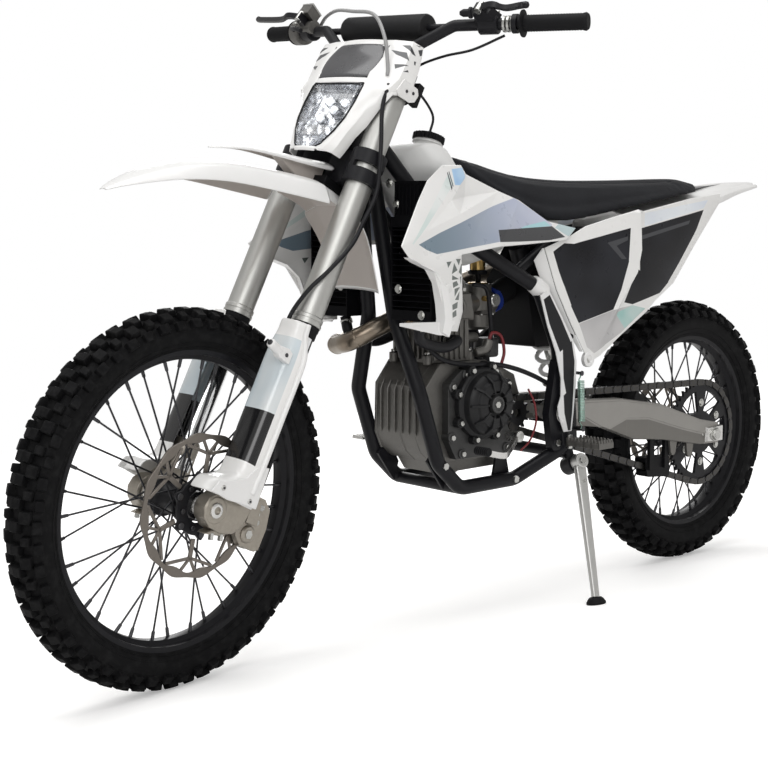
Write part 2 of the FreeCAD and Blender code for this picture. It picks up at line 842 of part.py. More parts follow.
def frontCaliper():
    axle = Vector(clampOffset + legToAxle, 0, 0)
    body = caliperBlock(frontDiscPlane, Vector(caliperX, 0, caliperZ), axle, frontDiscRadius)
    face = clampOffset - innerRadius - slideFit
    near = frontDiscPlane + caliperDeep / 4
    ear = Part.makeBox(face - caliperX, forkSpread + lugWidth / 2 - near, earHigh,
                       Vector(caliperX, near, 0))
    return fuse([body, ear])


def frontAxleShaft():
    x = clampOffset + legToAxle
    half = forkSpread + lugWidth / 2 + skin
    shaft = Part.makeCylinder(axleRadius, half * 2, Vector(x, -half, 0), left)
    caps = [Part.makeCylinder(axleRadius * 1.5, skin * 2, Vector(x, half - skin, 0), left),
            Part.makeCylinder(axleRadius * 1.5, skin * 2, Vector(x, -half - skin, 0), left)]
    collars = [tube(Vector(x, y, 0), Vector(x, y + w, 0), axleRadius * 1.8, axleRadius - skin)
               for y, w in ((frontHubHalf + hubGap + discSeat, forkSpread - lugWidth / 2 - frontHubHalf - hubGap - discSeat),
                            (-forkSpread + lugWidth / 2, forkSpread - lugWidth / 2 - frontHubHalf - hubGap))]
    bore = Part.makeCylinder(axleBore, half * 4, Vector(x, -half * 2, 0), left)
    return fuse([shaft] + caps + collars).cut(bore)


discSeat = frontDiscPlane + discThickness / 2 - frontHubHalf


# Hoses and cables on the steering, as points chosen along their real routes
hoseRadius = 4.0
cableRadius = 2.5
brakeHoseRoute = [
    (-22.0, -232.0, 1034.0), (8.0, -190.0, 1038.0), (48.0, -120.0, 1018.0), (80.0, -40.0, 990.0),
    (86.0, 40.0, 968.0), (76.0, 84.0, 922.0), (61.0, 104.0, 868.0), (57.0, 110.0, 800.0),
    (40.0, 129.0, 727.0), (16.0, 132.0, 650.0), (14.0, 126.0, 590.0), (22.0, 127.0, 538.0),
    (46.0, 121.0, 476.0), (58.0, 102.0, 430.0), (59.0, 82.0, 378.0), (57.0, 80.0, 320.0),
    (52.0, 62.0, 275.0), (24.0, 60.0, 235.0), (-12.0, 62.0, 190.0), (-36.0, 70.0, 140.0),
    (-39.0, 70.0, 100.0), (-39.0, 70.0, 58.3),
]
clutchCableRoute = [
    (-22.6, 261.7, 1000.6), (-16.0, 205.0, 968.0), (-12.0, 150.0, 954.0), (-14.0, 105.0, 942.0),
    (-14.0, 76.0, 928.0), (-4.0, 60.0, 916.0), (-4.0, 60.0, 898.2),
]


def brakeHose():
    return hose([Vector(*p) for p in brakeHoseRoute], hoseRadius)


def clutchCable():
    return hose([Vector(*p) for p in clutchCableRoute], cableRadius)


# Frame: steering head, cradle, spars, pivot plates and subframe
headLow = 728.0
headTop = 862.0
downTubeRadius = 15.0
sparRadius = 15.0
railRadius = 11.0
cradleHalf = 92.0
pivotHalf = 122.0
pivotX = 577.0
pivotZ = 425.0
pivotPlateHalf = 9.0
cradleLow = 292.0
headHalf = 14.0


railPoints = [
    Vector(700.0, pivotHalf * 0.86, 725.0), Vector(560.0, cradleHalf, 800.6),
    Vector(60.0, cradleHalf * 0.63, 809.0),
]


def steerPoint(x, y, z):
    return steerPlace().multVec(Vector(x, y, z))


# the upper end of the shock bears on a bar between the seat rails
shockBarRadius = 12.0


def frame():
    run = (shockTop - shockLow).normalize()
    shockBar = shockTop + run * (shockBarRadius + slideFit)
    head = onSteering(tube(Vector(0, 0, headLow), Vector(0, 0, headTop), headRadius,
                           stemRadius + slideFit))
    lowHead = steerPoint(-headRadius, 0, headLow + headRadius * 1.9)
    topHead = steerPoint(-headRadius, 0, headLow + headRadius * 2.5)
    down = [
        lowHead + left * headHalf, Vector(978.0, cradleHalf * 0.42, 640.0),
        Vector(960.0, cradleHalf, 490.0), Vector(912.0, cradleHalf, 350.0),
        Vector(850.0, cradleHalf, cradleLow), Vector(690.0, cradleHalf, cradleLow),
        Vector(pivotX - overrun / 2, pivotHalf, 350.0),
    ]
    spar = [
        topHead + left * headHalf, Vector(940.0, pivotHalf * 0.58, 868.0),
        Vector(840.0, pivotHalf * 0.8, 790.0), Vector(650.0, pivotHalf, 690.0),
        Vector(pivotX + overrun / 2, pivotHalf, 560.0), Vector(pivotX - overrun / 2, pivotHalf, 350.0),
    ]
    strut = [
        Vector(pivotX + overrun / 4, pivotHalf, 560.0), Vector(400.0, cradleHalf, 690.0),
        Vector(170.0, cradleHalf * 0.72, 804.0),
    ]
    tubes = [pipe(down, downTubeRadius * 3, downTubeRadius), pipe(spar, sparRadius * 4, sparRadius)]
    tubes += [pipe(railPoints, railRadius * 4, railRadius), pipe(strut, railRadius * 4, railRadius)]
    pivot = plate([(pivotX - 45.0, 346.0), (pivotX + 35.0, 346.0), (pivotX + 48.0, pivotZ),
                   (pivotX + 25.0, 540.0), (pivotX - 25.0, 540.0), (pivotX - 40.0, pivotZ)],
                  pivotHalf - pivotPlateHalf, pivotHalf + pivotPlateHalf, overrun / 2)
    tubes.append(pivot)
    sides = []
    for piece in tubes:
        sides += both(piece)
    bars = [
        rod(Vector(pivotX - overrun, -pivotHalf, 335.0), Vector(pivotX - overrun, pivotHalf, 335.0), sparRadius * 0.8),
        rod(Vector(850.0, -cradleHalf, cradleLow), Vector(850.0, cradleHalf, cradleLow), downTubeRadius * 0.8),
        rod(shockBar - left * cradleHalf, shockBar + left * cradleHalf, shockBarRadius),
        rod(Vector(170.0, -cradleHalf * 0.72, 804.0), Vector(170.0, cradleHalf * 0.72, 804.0), railRadius),
    ]
    body = fuse([head] + sides + bars + [standBracket()])
    bore = rod(Vector(pivotX, -pivotHalf * 2, pivotZ), Vector(pivotX, pivotHalf * 2, pivotZ), axleRadius)
    stem = onSteering(rod(Vector(0, 0, headLow - overrun), Vector(0, 0, headTop + overrun),
                          stemRadius + slideFit))
    return body.cut([bore, stem])


# Swingarm with its pivot and axle, rear caliper and shock
armNear = 82.0
armFar = 104.0
armAxleTop = 24.0
armAxleLow = 26.0
armTop = 440.0
armLow = 372.0
armKnee = 300.0
armBridge = 450.0


def swingarm():
    outline = [
        (pivotX + 24.0, pivotZ - 14.0), (pivotX + 24.0, pivotZ + 14.0), (pivotX - 60.0, armTop),
        (armKnee, armTop - 10.0), (-28.0, rearTyreRadius + armAxleTop),
        (-28.0, rearTyreRadius - armAxleLow), (armKnee * 0.9, armLow - 40.0), (pivotX - 120.0, armLow),
    ]
    arm = plate(outline, armNear, armFar, overrun / 4)
    cross = plate([(armBridge - 45.0, armLow + 10.0), (armBridge + 45.0, armLow + 10.0),
                   (armBridge + 45.0, armTop - 6.0), (armBridge - 45.0, armTop - 6.0)],
                  -armNear - 2.0, armNear + 2.0, 12.0)
    body = fuse(both(arm) + [cross])
    pivot = rod(Vector(pivotX, -pivotHalf * 2, pivotZ), Vector(pivotX, pivotHalf * 2, pivotZ), axleRadius)
    axle = rod(Vector(0, -pivotHalf * 2, rearTyreRadius), Vector(0, pivotHalf * 2, rearTyreRadius), axleRadius)
    return body.cut([pivot, axle])


def pivotBolt():
    half = pivotHalf + pivotPlateHalf + skin
    return rod(Vector(pivotX, -half, pivotZ), Vector(pivotX, half, pivotZ), axleRadius)


def rearAxleShaft():
    half = armFar + skin * 3
    shaft = rod(Vector(0, -half, rearTyreRadius), Vector(0, half, rearTyreRadius), axleRadius)
    nuts = [rod(Vector(0, armFar, rearTyreRadius), Vector(0, armFar + skin * 2, rearTyreRadius), axleRadius * 1.7),
            rod(Vector(0, -armFar - skin * 2, rearTyreRadius), Vector(0, -armFar, rearTyreRadius), axleRadius * 1.7)]
    collars = [tube(Vector(0, y, rearTyreRadius), Vector(0, y + w, rearTyreRadius), axleRadius * 1.8, axleRadius - skin)
               for y, w in ((chainLine + sprocketThickness / 2 + hubGap, armNear - chainLine - sprocketThickness / 2 - hubGap),
                            (-armNear, armNear + rearDiscPlane - discThickness / 2 - hubGap))]
    bore = rod(Vector(0, -half * 2, rearTyreRadius), Vector(0, half * 2, rearTyreRadius), axleBore)
    return fuse([shaft] + nuts + collars).cut(bore)


def rearCaliper():
    middle = rearAxle + Vector(rearDiscRadius * 0.82, 0, rearDiscRadius * 0.62)
    body = caliperBlock(rearDiscPlane, middle, rearAxle, rearDiscRadius)
    near = -armNear + slideFit
    far = rearDiscPlane - caliperDeep / 4
    stay = plate([(-overrun, rearAxle.z - overrun), (overrun, rearAxle.z - overrun),
                  (middle.x + caliperLong / 3, middle.z), (middle.x, middle.z + caliperHigh / 3),
                  (-overrun, rearAxle.z + overrun)], near, far, overrun / 3)
    hole = disc(axleRadius * 1.8 + slideFit, near - overrun, far + overrun)
    hole.translate(rearAxle)
    return fuse([body, stay]).cut(hole)


shockLow = Vector(440.0, 0, 438.0)
shockTop = Vector(580.0, 0, 775.0)
springRadius = 32.0
damperRadius = 22.0


def shock():
    """Damper with its coil spring drawn as one ribbed barrel."""
    run = shockTop - shockLow
    rings = []
    turns = 8
    for i in range(turns):
        start = shockLow + run * ((i + 1.0) / (turns + 2))
        rings.append(rod(start, start + run * (0.5 / (turns + 2)), springRadius))
    body = fuse([rod(shockLow, shockTop, damperRadius)] + rings)
    return body.cut(shifted(swingarm(), 0, 0, slideFit))


# Engine: cases, cylinder and head, left and right covers
crankX = 800.0
crankZ = 455.0
caseHalf = 74.0
caseSide = 110.0
coverRadius = 72.0
coverDepth = 40.0
cylinderLead = 42.0
cylinderX = crankX + cylinderLead
cylinderHalf = 58.0
cylinderLow = 540.0
cylinderTop = 632.0
headCoverTop = 722.0


def crankcase():
    outline = [
        (690.0, 345.0), (890.0, 345.0), (928.0, 400.0), (925.0, 500.0), (890.0, 545.0),
        (760.0, 545.0), (640.0, 505.0), (625.0, 400.0),
    ]
    near = plate(outline, -caseHalf, caseHalf, 22.0)
    sump = plate([(700.0, 318.0), (870.0, 318.0), (890.0, 350.0), (690.0, 350.0)],
                 -caseHalf * 0.7, caseHalf * 0.7, 8.0)
    body = fuse([near, sump])
    notch = plate([(driveX - 48.0, driveZ - 48.0), (driveX + 46.0, driveZ - 48.0),
                   (driveX + 46.0, driveZ + 48.0), (driveX - 48.0, driveZ + 48.0)],
                  chainLine - chainWidth, caseHalf + overrun, 8.0)
    shaft = rod(Vector(driveX, chainLine - chainWidth, driveZ), Vector(driveX, chainLine + chainWidth, driveZ), axleRadius)
    return body.cut(notch).fuse(shaft)


def cylinder():
    block = plate([(cylinderX - 55.0, cylinderLow + 5.0), (cylinderX + 50.0, cylinderLow + 5.0),
                   (cylinderX + 54.0, cylinderTop), (cylinderX - 51.0, cylinderTop)],
                  -cylinderHalf, cylinderHalf, 6.0)
    head = plate([(cylinderX - 60.0, cylinderTop), (cylinderX + 62.0, cylinderTop),
                  (cylinderX + 66.0, cylinderTop + 50.0), (cylinderX - 50.0, cylinderTop + 52.0)],
                 -cylinderHalf - 8.0, cylinderHalf + 8.0, 6.0)
    cover = plate([(cylinderX - 46.0, cylinderTop + 50.0), (cylinderX + 62.0, cylinderTop + 48.0),
                   (cylinderX + 48.0, headCoverTop), (cylinderX - 28.0, headCoverTop)],
                  -cylinderHalf, cylinderHalf, 8.0)
    return fuse([block, head, cover])


def ignitionCover():
    """Round cover on the left with a rim, a raised cap and eight ribs."""
    base = Vector(crankX, caseHalf, crankZ)
    face = Vector(crankX, caseSide, crankZ)
    rise = left * coverDepth
    body = [rod(base, face, coverRadius * 1.06), rod(face, face + rise * 0.45, coverRadius),
            rod(face, face + rise * 0.8, coverRadius * 0.8), rod(face, face + rise, coverRadius * 0.36)]
    return fuse(body)


def clutchCover():
    base = Vector(crankX, -caseHalf, crankZ - 5.0)
    rise = left * -(coverDepth + caseSide - caseHalf)
    second = Vector(crankX - 75.0, -caseHalf, crankZ - 30.0)
    return fuse([rod(base, base + rise * 0.8, coverRadius * 1.15), rod(base, base + rise, coverRadius),
                 rod(second, second + rise * 0.6, coverRadius * 0.7)])


def engineCovers():
    return Part.makeCompound([ignitionCover(), clutchCover()])


pipeRadius = 19.0
silencerRadius = 52.0


silencerStart = Vector(450.0, -176.0, 716.0)
silencerEnd = Vector(60.0, -164.0, 778.0)


def header():
    run = (silencerEnd - silencerStart).normalize()
    points = [
        Vector(cylinderX + 66.0, 0, 648.0), Vector(1020.0, 0, 618.0), Vector(1082.0, -30.0, 590.0),
        Vector(1050.0, -112.0, 578.0), Vector(960.0, -138.0, 585.0), Vector(740.0, -158.0, 620.0),
        silencerStart - run * 130.0, silencerStart - run * 24.0,
    ]
    return pipe(points, 30.0, pipeRadius, pipeRadius - 2.0)


def silencer():
    start, end = silencerStart, silencerEnd
    run = (end - start).normalize()
    body = rod(start, end, silencerRadius)
    cap = Part.makeCone(silencerRadius, silencerRadius * 0.6, 34.0, end, run)
    nose = Part.makeCone(silencerRadius, pipeRadius + skin, 40.0, start, run * -1)
    bore = rod(end - run * overrun, end + run * 60.0, silencerRadius * 0.4)
    sleeve = rod(start - run * 60.0, start + run * 10.0, pipeRadius)
    return fuse([body, cap, nose]).cut([bore, sleeve])


# Radiators, tank, airbox
radiatorFront = 1012.0
radiatorDeep = 46.0
radiatorNear = 66.0
radiatorFar = 178.0
radiatorLow = 640.0
radiatorTop = 838.0
radiatorNeckNear = 76.0
radiatorNeckFar = 148.0
radiatorNeckTop = 905.0
louvreCount = 14


def radiators():
    """Core and side tanks with slanted louvres in front of the core."""
    core = Part.makeBox(radiatorDeep * 0.6, radiatorFar - radiatorNear, radiatorTop - radiatorLow,
                        Vector(radiatorFront - radiatorDeep, radiatorNear, radiatorLow))
    pieces = [core]
    for z in (radiatorLow, radiatorTop - overrun):
        pieces.append(Part.makeBox(radiatorDeep, radiatorFar - radiatorNear, overrun,
                                   Vector(radiatorFront - radiatorDeep, radiatorNear, z)))
    for y in (radiatorNear, radiatorFar - skin):
        pieces.append(Part.makeBox(radiatorDeep, skin, radiatorTop - radiatorLow,
                                   Vector(radiatorFront - radiatorDeep, y, radiatorLow)))
    height = (radiatorTop - radiatorLow - overrun * 2) / louvreCount
    deep = radiatorDeep * 0.4
    for i in range(louvreCount):
        z = radiatorLow + overrun + height * (i + 0.5)
        x = radiatorFront - deep
        blade = plate([(x, z - height * 0.3), (x + deep, z), (x + deep, z + skin / 2), (x, z - height * 0.3 + skin / 2)],
                      radiatorNear + skin / 2, radiatorFar - skin / 2)
        pieces.append(blade)
    pieces.append(Part.makeBox(radiatorDeep, radiatorNeckFar - radiatorNeckNear, radiatorNeckTop - radiatorTop,
                               Vector(radiatorFront - radiatorDeep, radiatorNeckNear, radiatorTop)))
    return Part.makeCompound(both(fuse(pieces)))


# along, half widths at the foot, the belly and the top, low, high
tankShares = [
    (0.0, 0.75, 0.9, 0.62, 0.1, 0.42), (0.3, 0.75, 1.3, 0.8, 0.0, 0.58), (0.48, 0.75, 1.55, 0.85, 0.05, 0.75),
    (0.62, 0.75, 1.62, 0.95, 0.2, 0.95), (0.83, 0.7, 1.45, 0.95, 0.54, 0.985), (1.0, 0.3, 0.46, 0.42, 0.68, 0.86),
]
seatRear = 30.0
seatLength = 790.0
seatLap = 130.0
tankRear = seatRear + seatLength - seatLap
tankLength = 270.0
tankHalf = 68.0
tankLow = 745.0
tankHeight = 240.0
capX = tankRear + tankLength * 0.595
capZ = tankLow + tankHeight * 1.018
capRadius = 33.0
capDeep = 18.0
capLean = 17.0
capAxis = Vector(-math.sin(math.radians(capLean)), 0, math.cos(math.radians(capLean)))


def tank():
    sections = []
    for along, foot, belly, topHalf, low, high in tankShares:
        x = tankRear + tankLength * along
        bottom = tankLow + tankHeight * low
        top = tankLow + tankHeight * high
        outline = [(tankHalf * foot, bottom), (tankHalf * belly, (bottom + top) / 2),
                   (tankHalf * topHalf, top - overrun / 2), (tankHalf * topHalf * 0.6, top)]
        outline += [(-y, z) for y, z in reversed(outline)]
        sections.append([Vector(x, y, z) for y, z in outline])
    body = loft(sections, True)
    base = Vector(capX, 0, capZ)
    return fuse([body, rod(base - capAxis * capRadius, base, capRadius * 0.9)])


def tankCap():
    base = Vector(capX, 0, capZ)
    return rod(base, base + capAxis * capDeep, capRadius)


airboxOutline = [(590.0, 560.0), (618.0, 700.0), (560.0, 775.0), (350.0, 800.0), (360.0, 700.0), (520.0, 560.0)]


def airbox():
    return plate(airboxOutline, -60.0, 60.0, 10.0).cut(rod(shockLow, shockTop + Vector(60.0, 0, 130.0), springRadius + 6.0))


def carburettor():
    body = rod(Vector(596.0, 0, 660.0), Vector(cylinderX - 40.0, 0, 655.0), 27.0)
    bowl = rod(Vector(705.0, 0, 600.0), Vector(705.0, 0, 700.0), 30.0)
    body = body.cut([shifted(cylinder(), -slideFit, 0, 0), shifted(airbox(), slideFit, 0, 0)])
    return fuse([body, bowl])


# Seat
# along, half width at the top, top, half width at the foot, foot
seatShares = [
    (0.0, 0.5, 0.35, 0.85, 0.16), (0.16, 0.62, 0.4, 0.95, 0.02), (0.42, 0.78, 0.34, 1.0, -0.2), (0.66, 0.82, 0.3, 1.08, -0.42),
    (0.8, 0.78, 0.36, 0.98, -0.3), (0.95, 0.62, 0.58, 0.76, 0.22), (1.0, 0.4, 0.72, 0.5, 0.5),
]
seatHalf = 105.0
seatFoot = 880.0
seatHeight = 110.0


def seat():
    sections = []
    for along, topHalf, top, footHalf, foot in seatShares:
        x = seatRear + seatLength * along
        z = seatFoot + seatHeight * top
        low = seatFoot + seatHeight * foot
        crown = seatHalf * topHalf
        outline = [(seatHalf * footHalf, low), (crown, z - seatHeight * 0.12), (crown * 0.5, z),
                   (-crown * 0.5, z), (-crown, z - seatHeight * 0.12), (-seatHalf * footHalf, low)]
        sections.append([Vector(x, y, zz) for y, zz in outline])
    return loft(sections)


# Body panels, as creased skins: points given along, out and up
def creased(points, faces, wall):
    """A skin folded along straight creases, its wall set inwards."""
    inset = Vector(0, -wall, 0)
    count = {}
    shells = []
    for face in faces:
        ring = [points[i] for i in face]
        shells.append(Part.Face(Part.makePolygon(ring + ring[:1])))
        inner = [p + inset for p in reversed(ring)]
        shells.append(Part.Face(Part.makePolygon(inner + inner[:1])))
        for a, b in zip(face, face[1:] + face[:1]):
            key = (min(a, b), max(a, b))
            count[key] = count.get(key, 0) + 1
    for (a, b), used in count.items():
        if used == 1:
            ring = [points[a], points[b], points[b] + inset, points[a] + inset]
            shells.append(Part.Face(Part.makePolygon(ring + ring[:1])))
    sewn = Part.makeCompound(shells)
    sewn.sewShape()
    body = Part.makeSolid(sewn.Shells[0])
    if body.Volume < 0:
        body.reverse()
    return body


bossRadius = 7.0
shroudBossShares = (0.1, 0.42)
shroudLength = 581.0
shroudLegShare = 0.733
shroudRear = radiatorFront - radiatorDeep * 0.7 - shroudLength * shroudLegShare
shroudNear = 128.0
shroudFlare = 102.0
shroudLow = radiatorLow - overrun
shroudHeight = 318.0
# along, out, up
shroudShares = {
    "tip": (1.0, 1.0, 0.521), "lead": (0.86, 0.59, 0.78), "leadHigh": (0.782, 0.36, 0.899),
    "apexFront": (0.681, 0.14, 0.993), "apexRear": (0.572, 0.02, 1.0), "innerTop": (0.562, 0.1, 0.944),
    "innerMid": (0.679, 0.39, 0.784), "innerLow": (0.858, 0.78, 0.602), "dip": (0.571, 0.1, 0.805),
    "notch": (0.409, 0.14, 0.844), "armMid": (0.669, 0.55, 0.7), "armTop": (0.32, 0.2, 0.79),
    "rearHigh": (0.173, 0.22, 0.657), "rearEnd": (0.0, 0.12, 0.611), "rearTip": (0.07, 0.22, 0.534),
    "low4": (0.308, 0.43, 0.539), "low3": (0.49, 0.61, 0.525), "low2": (0.701, 0.78, 0.46),
    "low1": (0.855, 0.9, 0.437), "chin": (0.963, 0.98, 0.452), "legFront": (0.85, 0.92, 0.373),
    "legMid": (0.768, 0.75, 0.11), "footFront": (0.773, 0.71, 0.016), "footRear": (0.681, 0.57, 0.0),
    "legRear": (0.661, 0.59, 0.117),
}
shroudFolds = [
    ("tip", "innerLow", "lead"), ("lead", "innerLow", "innerMid"), ("lead", "innerMid", "leadHigh"),
    ("leadHigh", "innerMid", "apexFront"), ("apexFront", "innerMid", "innerTop"),
    ("apexFront", "innerTop", "apexRear"), ("innerLow", "armMid", "innerMid"),
    ("innerMid", "armMid", "dip"), ("innerMid", "dip", "innerTop"), ("innerTop", "dip", "notch"),
    ("dip", "armMid", "notch"), ("tip", "chin", "innerLow"), ("chin", "low1", "innerLow"),
    ("innerLow", "low1", "armMid"), ("low1", "low2", "armMid"), ("armMid", "low2", "notch"),
    ("low2", "low3", "notch"), ("notch", "low3", "armTop"), ("low3", "low4", "armTop"),
    ("armTop", "low4", "rearHigh"), ("rearHigh", "low4", "rearTip"), ("rearHigh", "rearTip", "rearEnd"),
    ("chin", "legFront", "low1"), ("low1", "legFront", "low2"), ("legFront", "legMid", "low2"),
    ("legMid", "legRear", "low2"), ("legMid", "footFront", "legRear"), ("footFront", "footRear", "legRear"),
]


def foldedPanel(shares, folds, corner, size):
    """A panel from points given as shares of its size, along, out and up."""
    names = list(shares)
    points = []
    for along, out, up in shares.values():
        points.append(corner + Vector(size.x * along, size.y * out, size.z * up))
    return creased(points, [[names.index(name) for name in fold] for fold in folds], skin)


def shroud():
    body = foldedPanel(shroudShares, shroudFolds, Vector(shroudRear, shroudNear, shroudLow),
                       Vector(shroudLength, shroudFlare, shroudHeight))
    bosses = []
    for share in shroudBossShares:
        z = radiatorLow + (radiatorTop - radiatorLow) * share
        seat = Vector(radiatorFront - radiatorDeep * 0.7, radiatorFar + slideFit, z)
        bosses.append(rod(seat, meeting(body, seat, seat + left * shroudFlare) + left * (skin / 2), bossRadius))
    return fuse([body] + bosses)


panelBossShare = 0.62
panelRear = -8.0
panelLength = 645.0
panelNear = 100.0
panelFlare = 35.0
panelLow = 525.0
panelHeight = 362.0
panelShares = {
    "front": (1.0, 1.0, 0.675), "brow": (0.79, 0.8, 0.79), "crest": (0.5, 0.65, 0.905), "tail": (0.0, 0.0, 1.0),
    "tailLow": (0.36, 0.4, 0.42), "foot": (0.757, 0.7, 0.0), "frontMid": (0.93, 0.95, 0.385), "fin": (0.45, 0.95, 0.55),
}


# the right panel stops above the silencer
panelRightShares = dict(panelShares, tailLow=(0.17, 0.2, 0.87), foot=(0.68, 0.7, 0.71),
                        frontMid=(0.88, 0.95, 0.5), fin=(0.45, 0.95, 0.82))


panelFolds = [
    ("front", "brow", "fin"), ("brow", "crest", "fin"), ("crest", "tail", "fin"), ("tail", "tailLow", "fin"),
    ("tailLow", "foot", "fin"), ("foot", "frontMid", "fin"), ("frontMid", "front", "fin"),
]


def sidePanel(shares):
    body = foldedPanel(shares, panelFolds, Vector(panelRear, panelNear, panelLow),
                       Vector(panelLength, panelFlare, panelHeight))
    rail = pipe(railPoints, railRadius * 4, railRadius + slideFit)
    run = railPoints[2] - railPoints[1]
    seat = railPoints[1] + run * ((panelRear + panelLength * panelBossShare - railPoints[1].x) / run.x)
    boss = rod(seat, meeting(body, seat, seat + left * panelNear) + left * (skin / 2), bossRadius)
    return fuse([body, boss.cut(rail)])


rearFenderFront = 300.0
rearFenderLength = 590.0
rearFenderHalf = 95.0
rearFenderLow = 800.0
rearFenderRise = 118.0
# along, half width, shoulder, edge height, crown height
rearFenderShares = [
    (0.0, 0.9, 0.75, 0.1, 0.4), (0.35, 0.9, 0.75, 0.3, 0.66), (0.62, 0.75, 0.6, 0.62, 0.92),
    (0.85, 0.5, 0.4, 0.86, 0.99), (1.0, 0.28, 0.2, 0.97, 1.0),
]


def rearFender():
    sections = []
    for along, half, shoulder, edge, crown in rearFenderShares:
        strip = arch(rearFenderHalf * half, rearFenderHalf * shoulder, rearFenderLow + rearFenderRise * edge,
                     rearFenderLow + rearFenderRise * crown, skin)
        sections.append([Vector(rearFenderFront - rearFenderLength * along, y, z) for y, z in strip])
    body = loft(sections)
    x = rearFenderFront - rearFenderLength * 0.17
    under = meeting(seat(), Vector(x, 0, rearFenderLow - rearFenderRise), Vector(x, 0, rearFenderLow + rearFenderRise * 2))
    root = meeting(body, under, Vector(x, 0, rearFenderLow - rearFenderRise))
    stud = rod(root - Vector(0, 0, skin / 2), under + Vector(0, 0, skin), bossRadius)
    return fuse([body, stud.cut(shifted(seat(), 0, 0, -slideFit))])


# Footpegs, pedals and side stand
pegX = 566.0
pegZ = 358.0
pegNear = pivotHalf + sparRadius + slideFit
pegFar = 240.0
pegWide = 46.0
pegHigh = 16.0


def footpegs():
    body = Part.makeBox(pegWide, pegFar - pegNear, pegHigh, Vector(pegX - pegWide / 2, pegNear, pegZ))
    hole = Part.makeBox(pegWide - skin * 4, pegFar - pegNear - overrun * 2, pegHigh * 3,
                        Vector(pegX - pegWide / 2 + skin * 2, pegNear + overrun * 1.4, pegZ - pegHigh))
    return Part.makeCompound(both(body.cut(hole)))


def gearLever():
    points = [Vector(706.0, caseSide + 8.0, 386.0), Vector(800.0, caseSide + coverDepth + 14.0, 362.0),
              Vector(872.0, caseSide + coverDepth + 14.0, 380.0)]
    arm = pipe(points, 25.0, 6.0)
    toe = rod(points[-1], points[-1] + left * 34.0, 9.0)
    boss = rod(Vector(706.0, caseHalf, 386.0), Vector(706.0, caseSide + 16.0, 386.0), 12.0)
    return fuse([arm, toe, boss])


def brakePedal():
    points = [Vector(602.0, -pivotHalf - 24.0, 372.0), Vector(760.0, -pivotHalf - 38.0, 335.0),
              Vector(880.0, -pivotHalf - 26.0, 372.0)]
    arm = pipe(points, 30.0, 7.0)
    toe = Part.makeBox(44.0, 34.0, 8.0, Vector(868.0, -pivotHalf - 46.0, 372.0))
    face = -pivotHalf - pivotPlateHalf - slideFit
    boss = rod(Vector(602.0, face, 372.0), Vector(602.0, -pivotHalf - 34.0, 372.0), 11.0)
    return fuse([arm, toe, boss])


standPivot = Vector(543.0, 146.0, 318.0)
standFootX = 604.0
standFootY = 248.0
standRadius = 11.0
standFootRadius = 22.0
standFootHigh = 14.0
standPinRadius = 7.0
standBossHalf = 13.0


def groundNormal(pitch):
    """Straight up, seen from the leaned bike."""
    lean = math.radians(leanDegrees)
    up = Vector(0, -math.sin(lean), math.cos(lean))
    return FreeCAD.Rotation(left, -math.degrees(pitch)).multVec(up)


def tyreDepth(axle, across, radius, half, up):
    """How low a tyre reaches against one direction."""
    tilt = abs(up.dot(across))
    bow = (half * half * 0.81 + (lugHeight * 1.6) ** 2) / (2 * lugHeight * 1.6)
    return axle.dot(up) - (radius - bow) * math.sqrt(1 - tilt * tilt) - bow


def steeredAxle():
    turn = FreeCAD.Rotation(steerAxis, steerRestDegrees)
    return steerBase + turn.multVec(frontAxle - steerBase), turn.multVec(left)


def restPitch():
    """The small pitch that sets both tyres on the ground."""
    axle, across = steeredAxle()
    pitch = 0.0
    for step in range(8):
        up = groundNormal(pitch)
        front = tyreDepth(axle, across, frontTyreRadius, frontTyreHalf, up)
        rear = tyreDepth(rearAxle, left, rearTyreRadius, rearTyreHalf, up)
        pitch += (front - rear) / wheelBase
    return pitch


def standFootBase():
    """The point under the foot, on the ground."""
    up = groundNormal(restPitch())
    ground = tyreDepth(rearAxle, left, rearTyreRadius, rearTyreHalf, up)
    z = (ground - standFootX * up.x - standFootY * up.y) / up.z
    return Vector(standFootX, standFootY, z), up


def standAxis():
    """Hinge line square to the leg both down and folded back."""
    foot, up = standFootBase()
    down = (foot - standPivot).normalize()
    folded = Vector(-1.0, 0.1, 0.24).normalize()
    return down.cross(folded).normalize(), math.degrees(down.getAngle(folded))


def sideStand():
    foot, up = standFootBase()
    ankle = foot + up * standFootHigh
    leg = rod(standPivot, ankle, standRadius)
    pad = Part.makeCone(standFootRadius, standFootRadius * 0.7, standFootHigh, foot, up)
    axis = standAxis()[0]
    boss = rod(standPivot - axis * standBossHalf, standPivot + axis * standBossHalf, standRadius * 1.8)
    body = fuse([leg, pad, boss])
    return body.cut(rod(standPivot - axis * overrun * 2, standPivot + axis * overrun * 2, standPinRadius + slideFit))


def standBracket():
    """Pin and lug that carry the stand under the left footpeg."""
    axis = standAxis()[0]
    side = 1 if axis.y > 0 else -1
    inner = standPivot - axis * side * (standBossHalf + slideFit)
    pin = rod(inner - axis * side * overrun, standPivot + axis * side * (standBossHalf + skin), standPinRadius)
    lug = rod(inner - axis * side * overrun * 1.5, inner, standRadius * 1.8)
    frameEnd = Vector(pivotX - overrun, pivotHalf, 352.0)
    arm = rod(inner - axis * side * standRadius, frameEnd, standRadius * 0.9)
    arm = arm.cut(rod(inner, standPivot + axis * side * standBossHalf * 2, standRadius * 2))
    return fuse([pin, lug, arm])


# Guards over the frame and the chain's guide under the swingarm
guardFace = pivotHalf + sparRadius + slideFit
frameGuardOutline = [
    (628.0, 700.0), (562.0, 565.0), (548.0, 385.0), (586.0, 385.0), (604.0, 438.0), (592.0, 458.0),
    (612.0, 556.0), (674.0, 678.0),
]


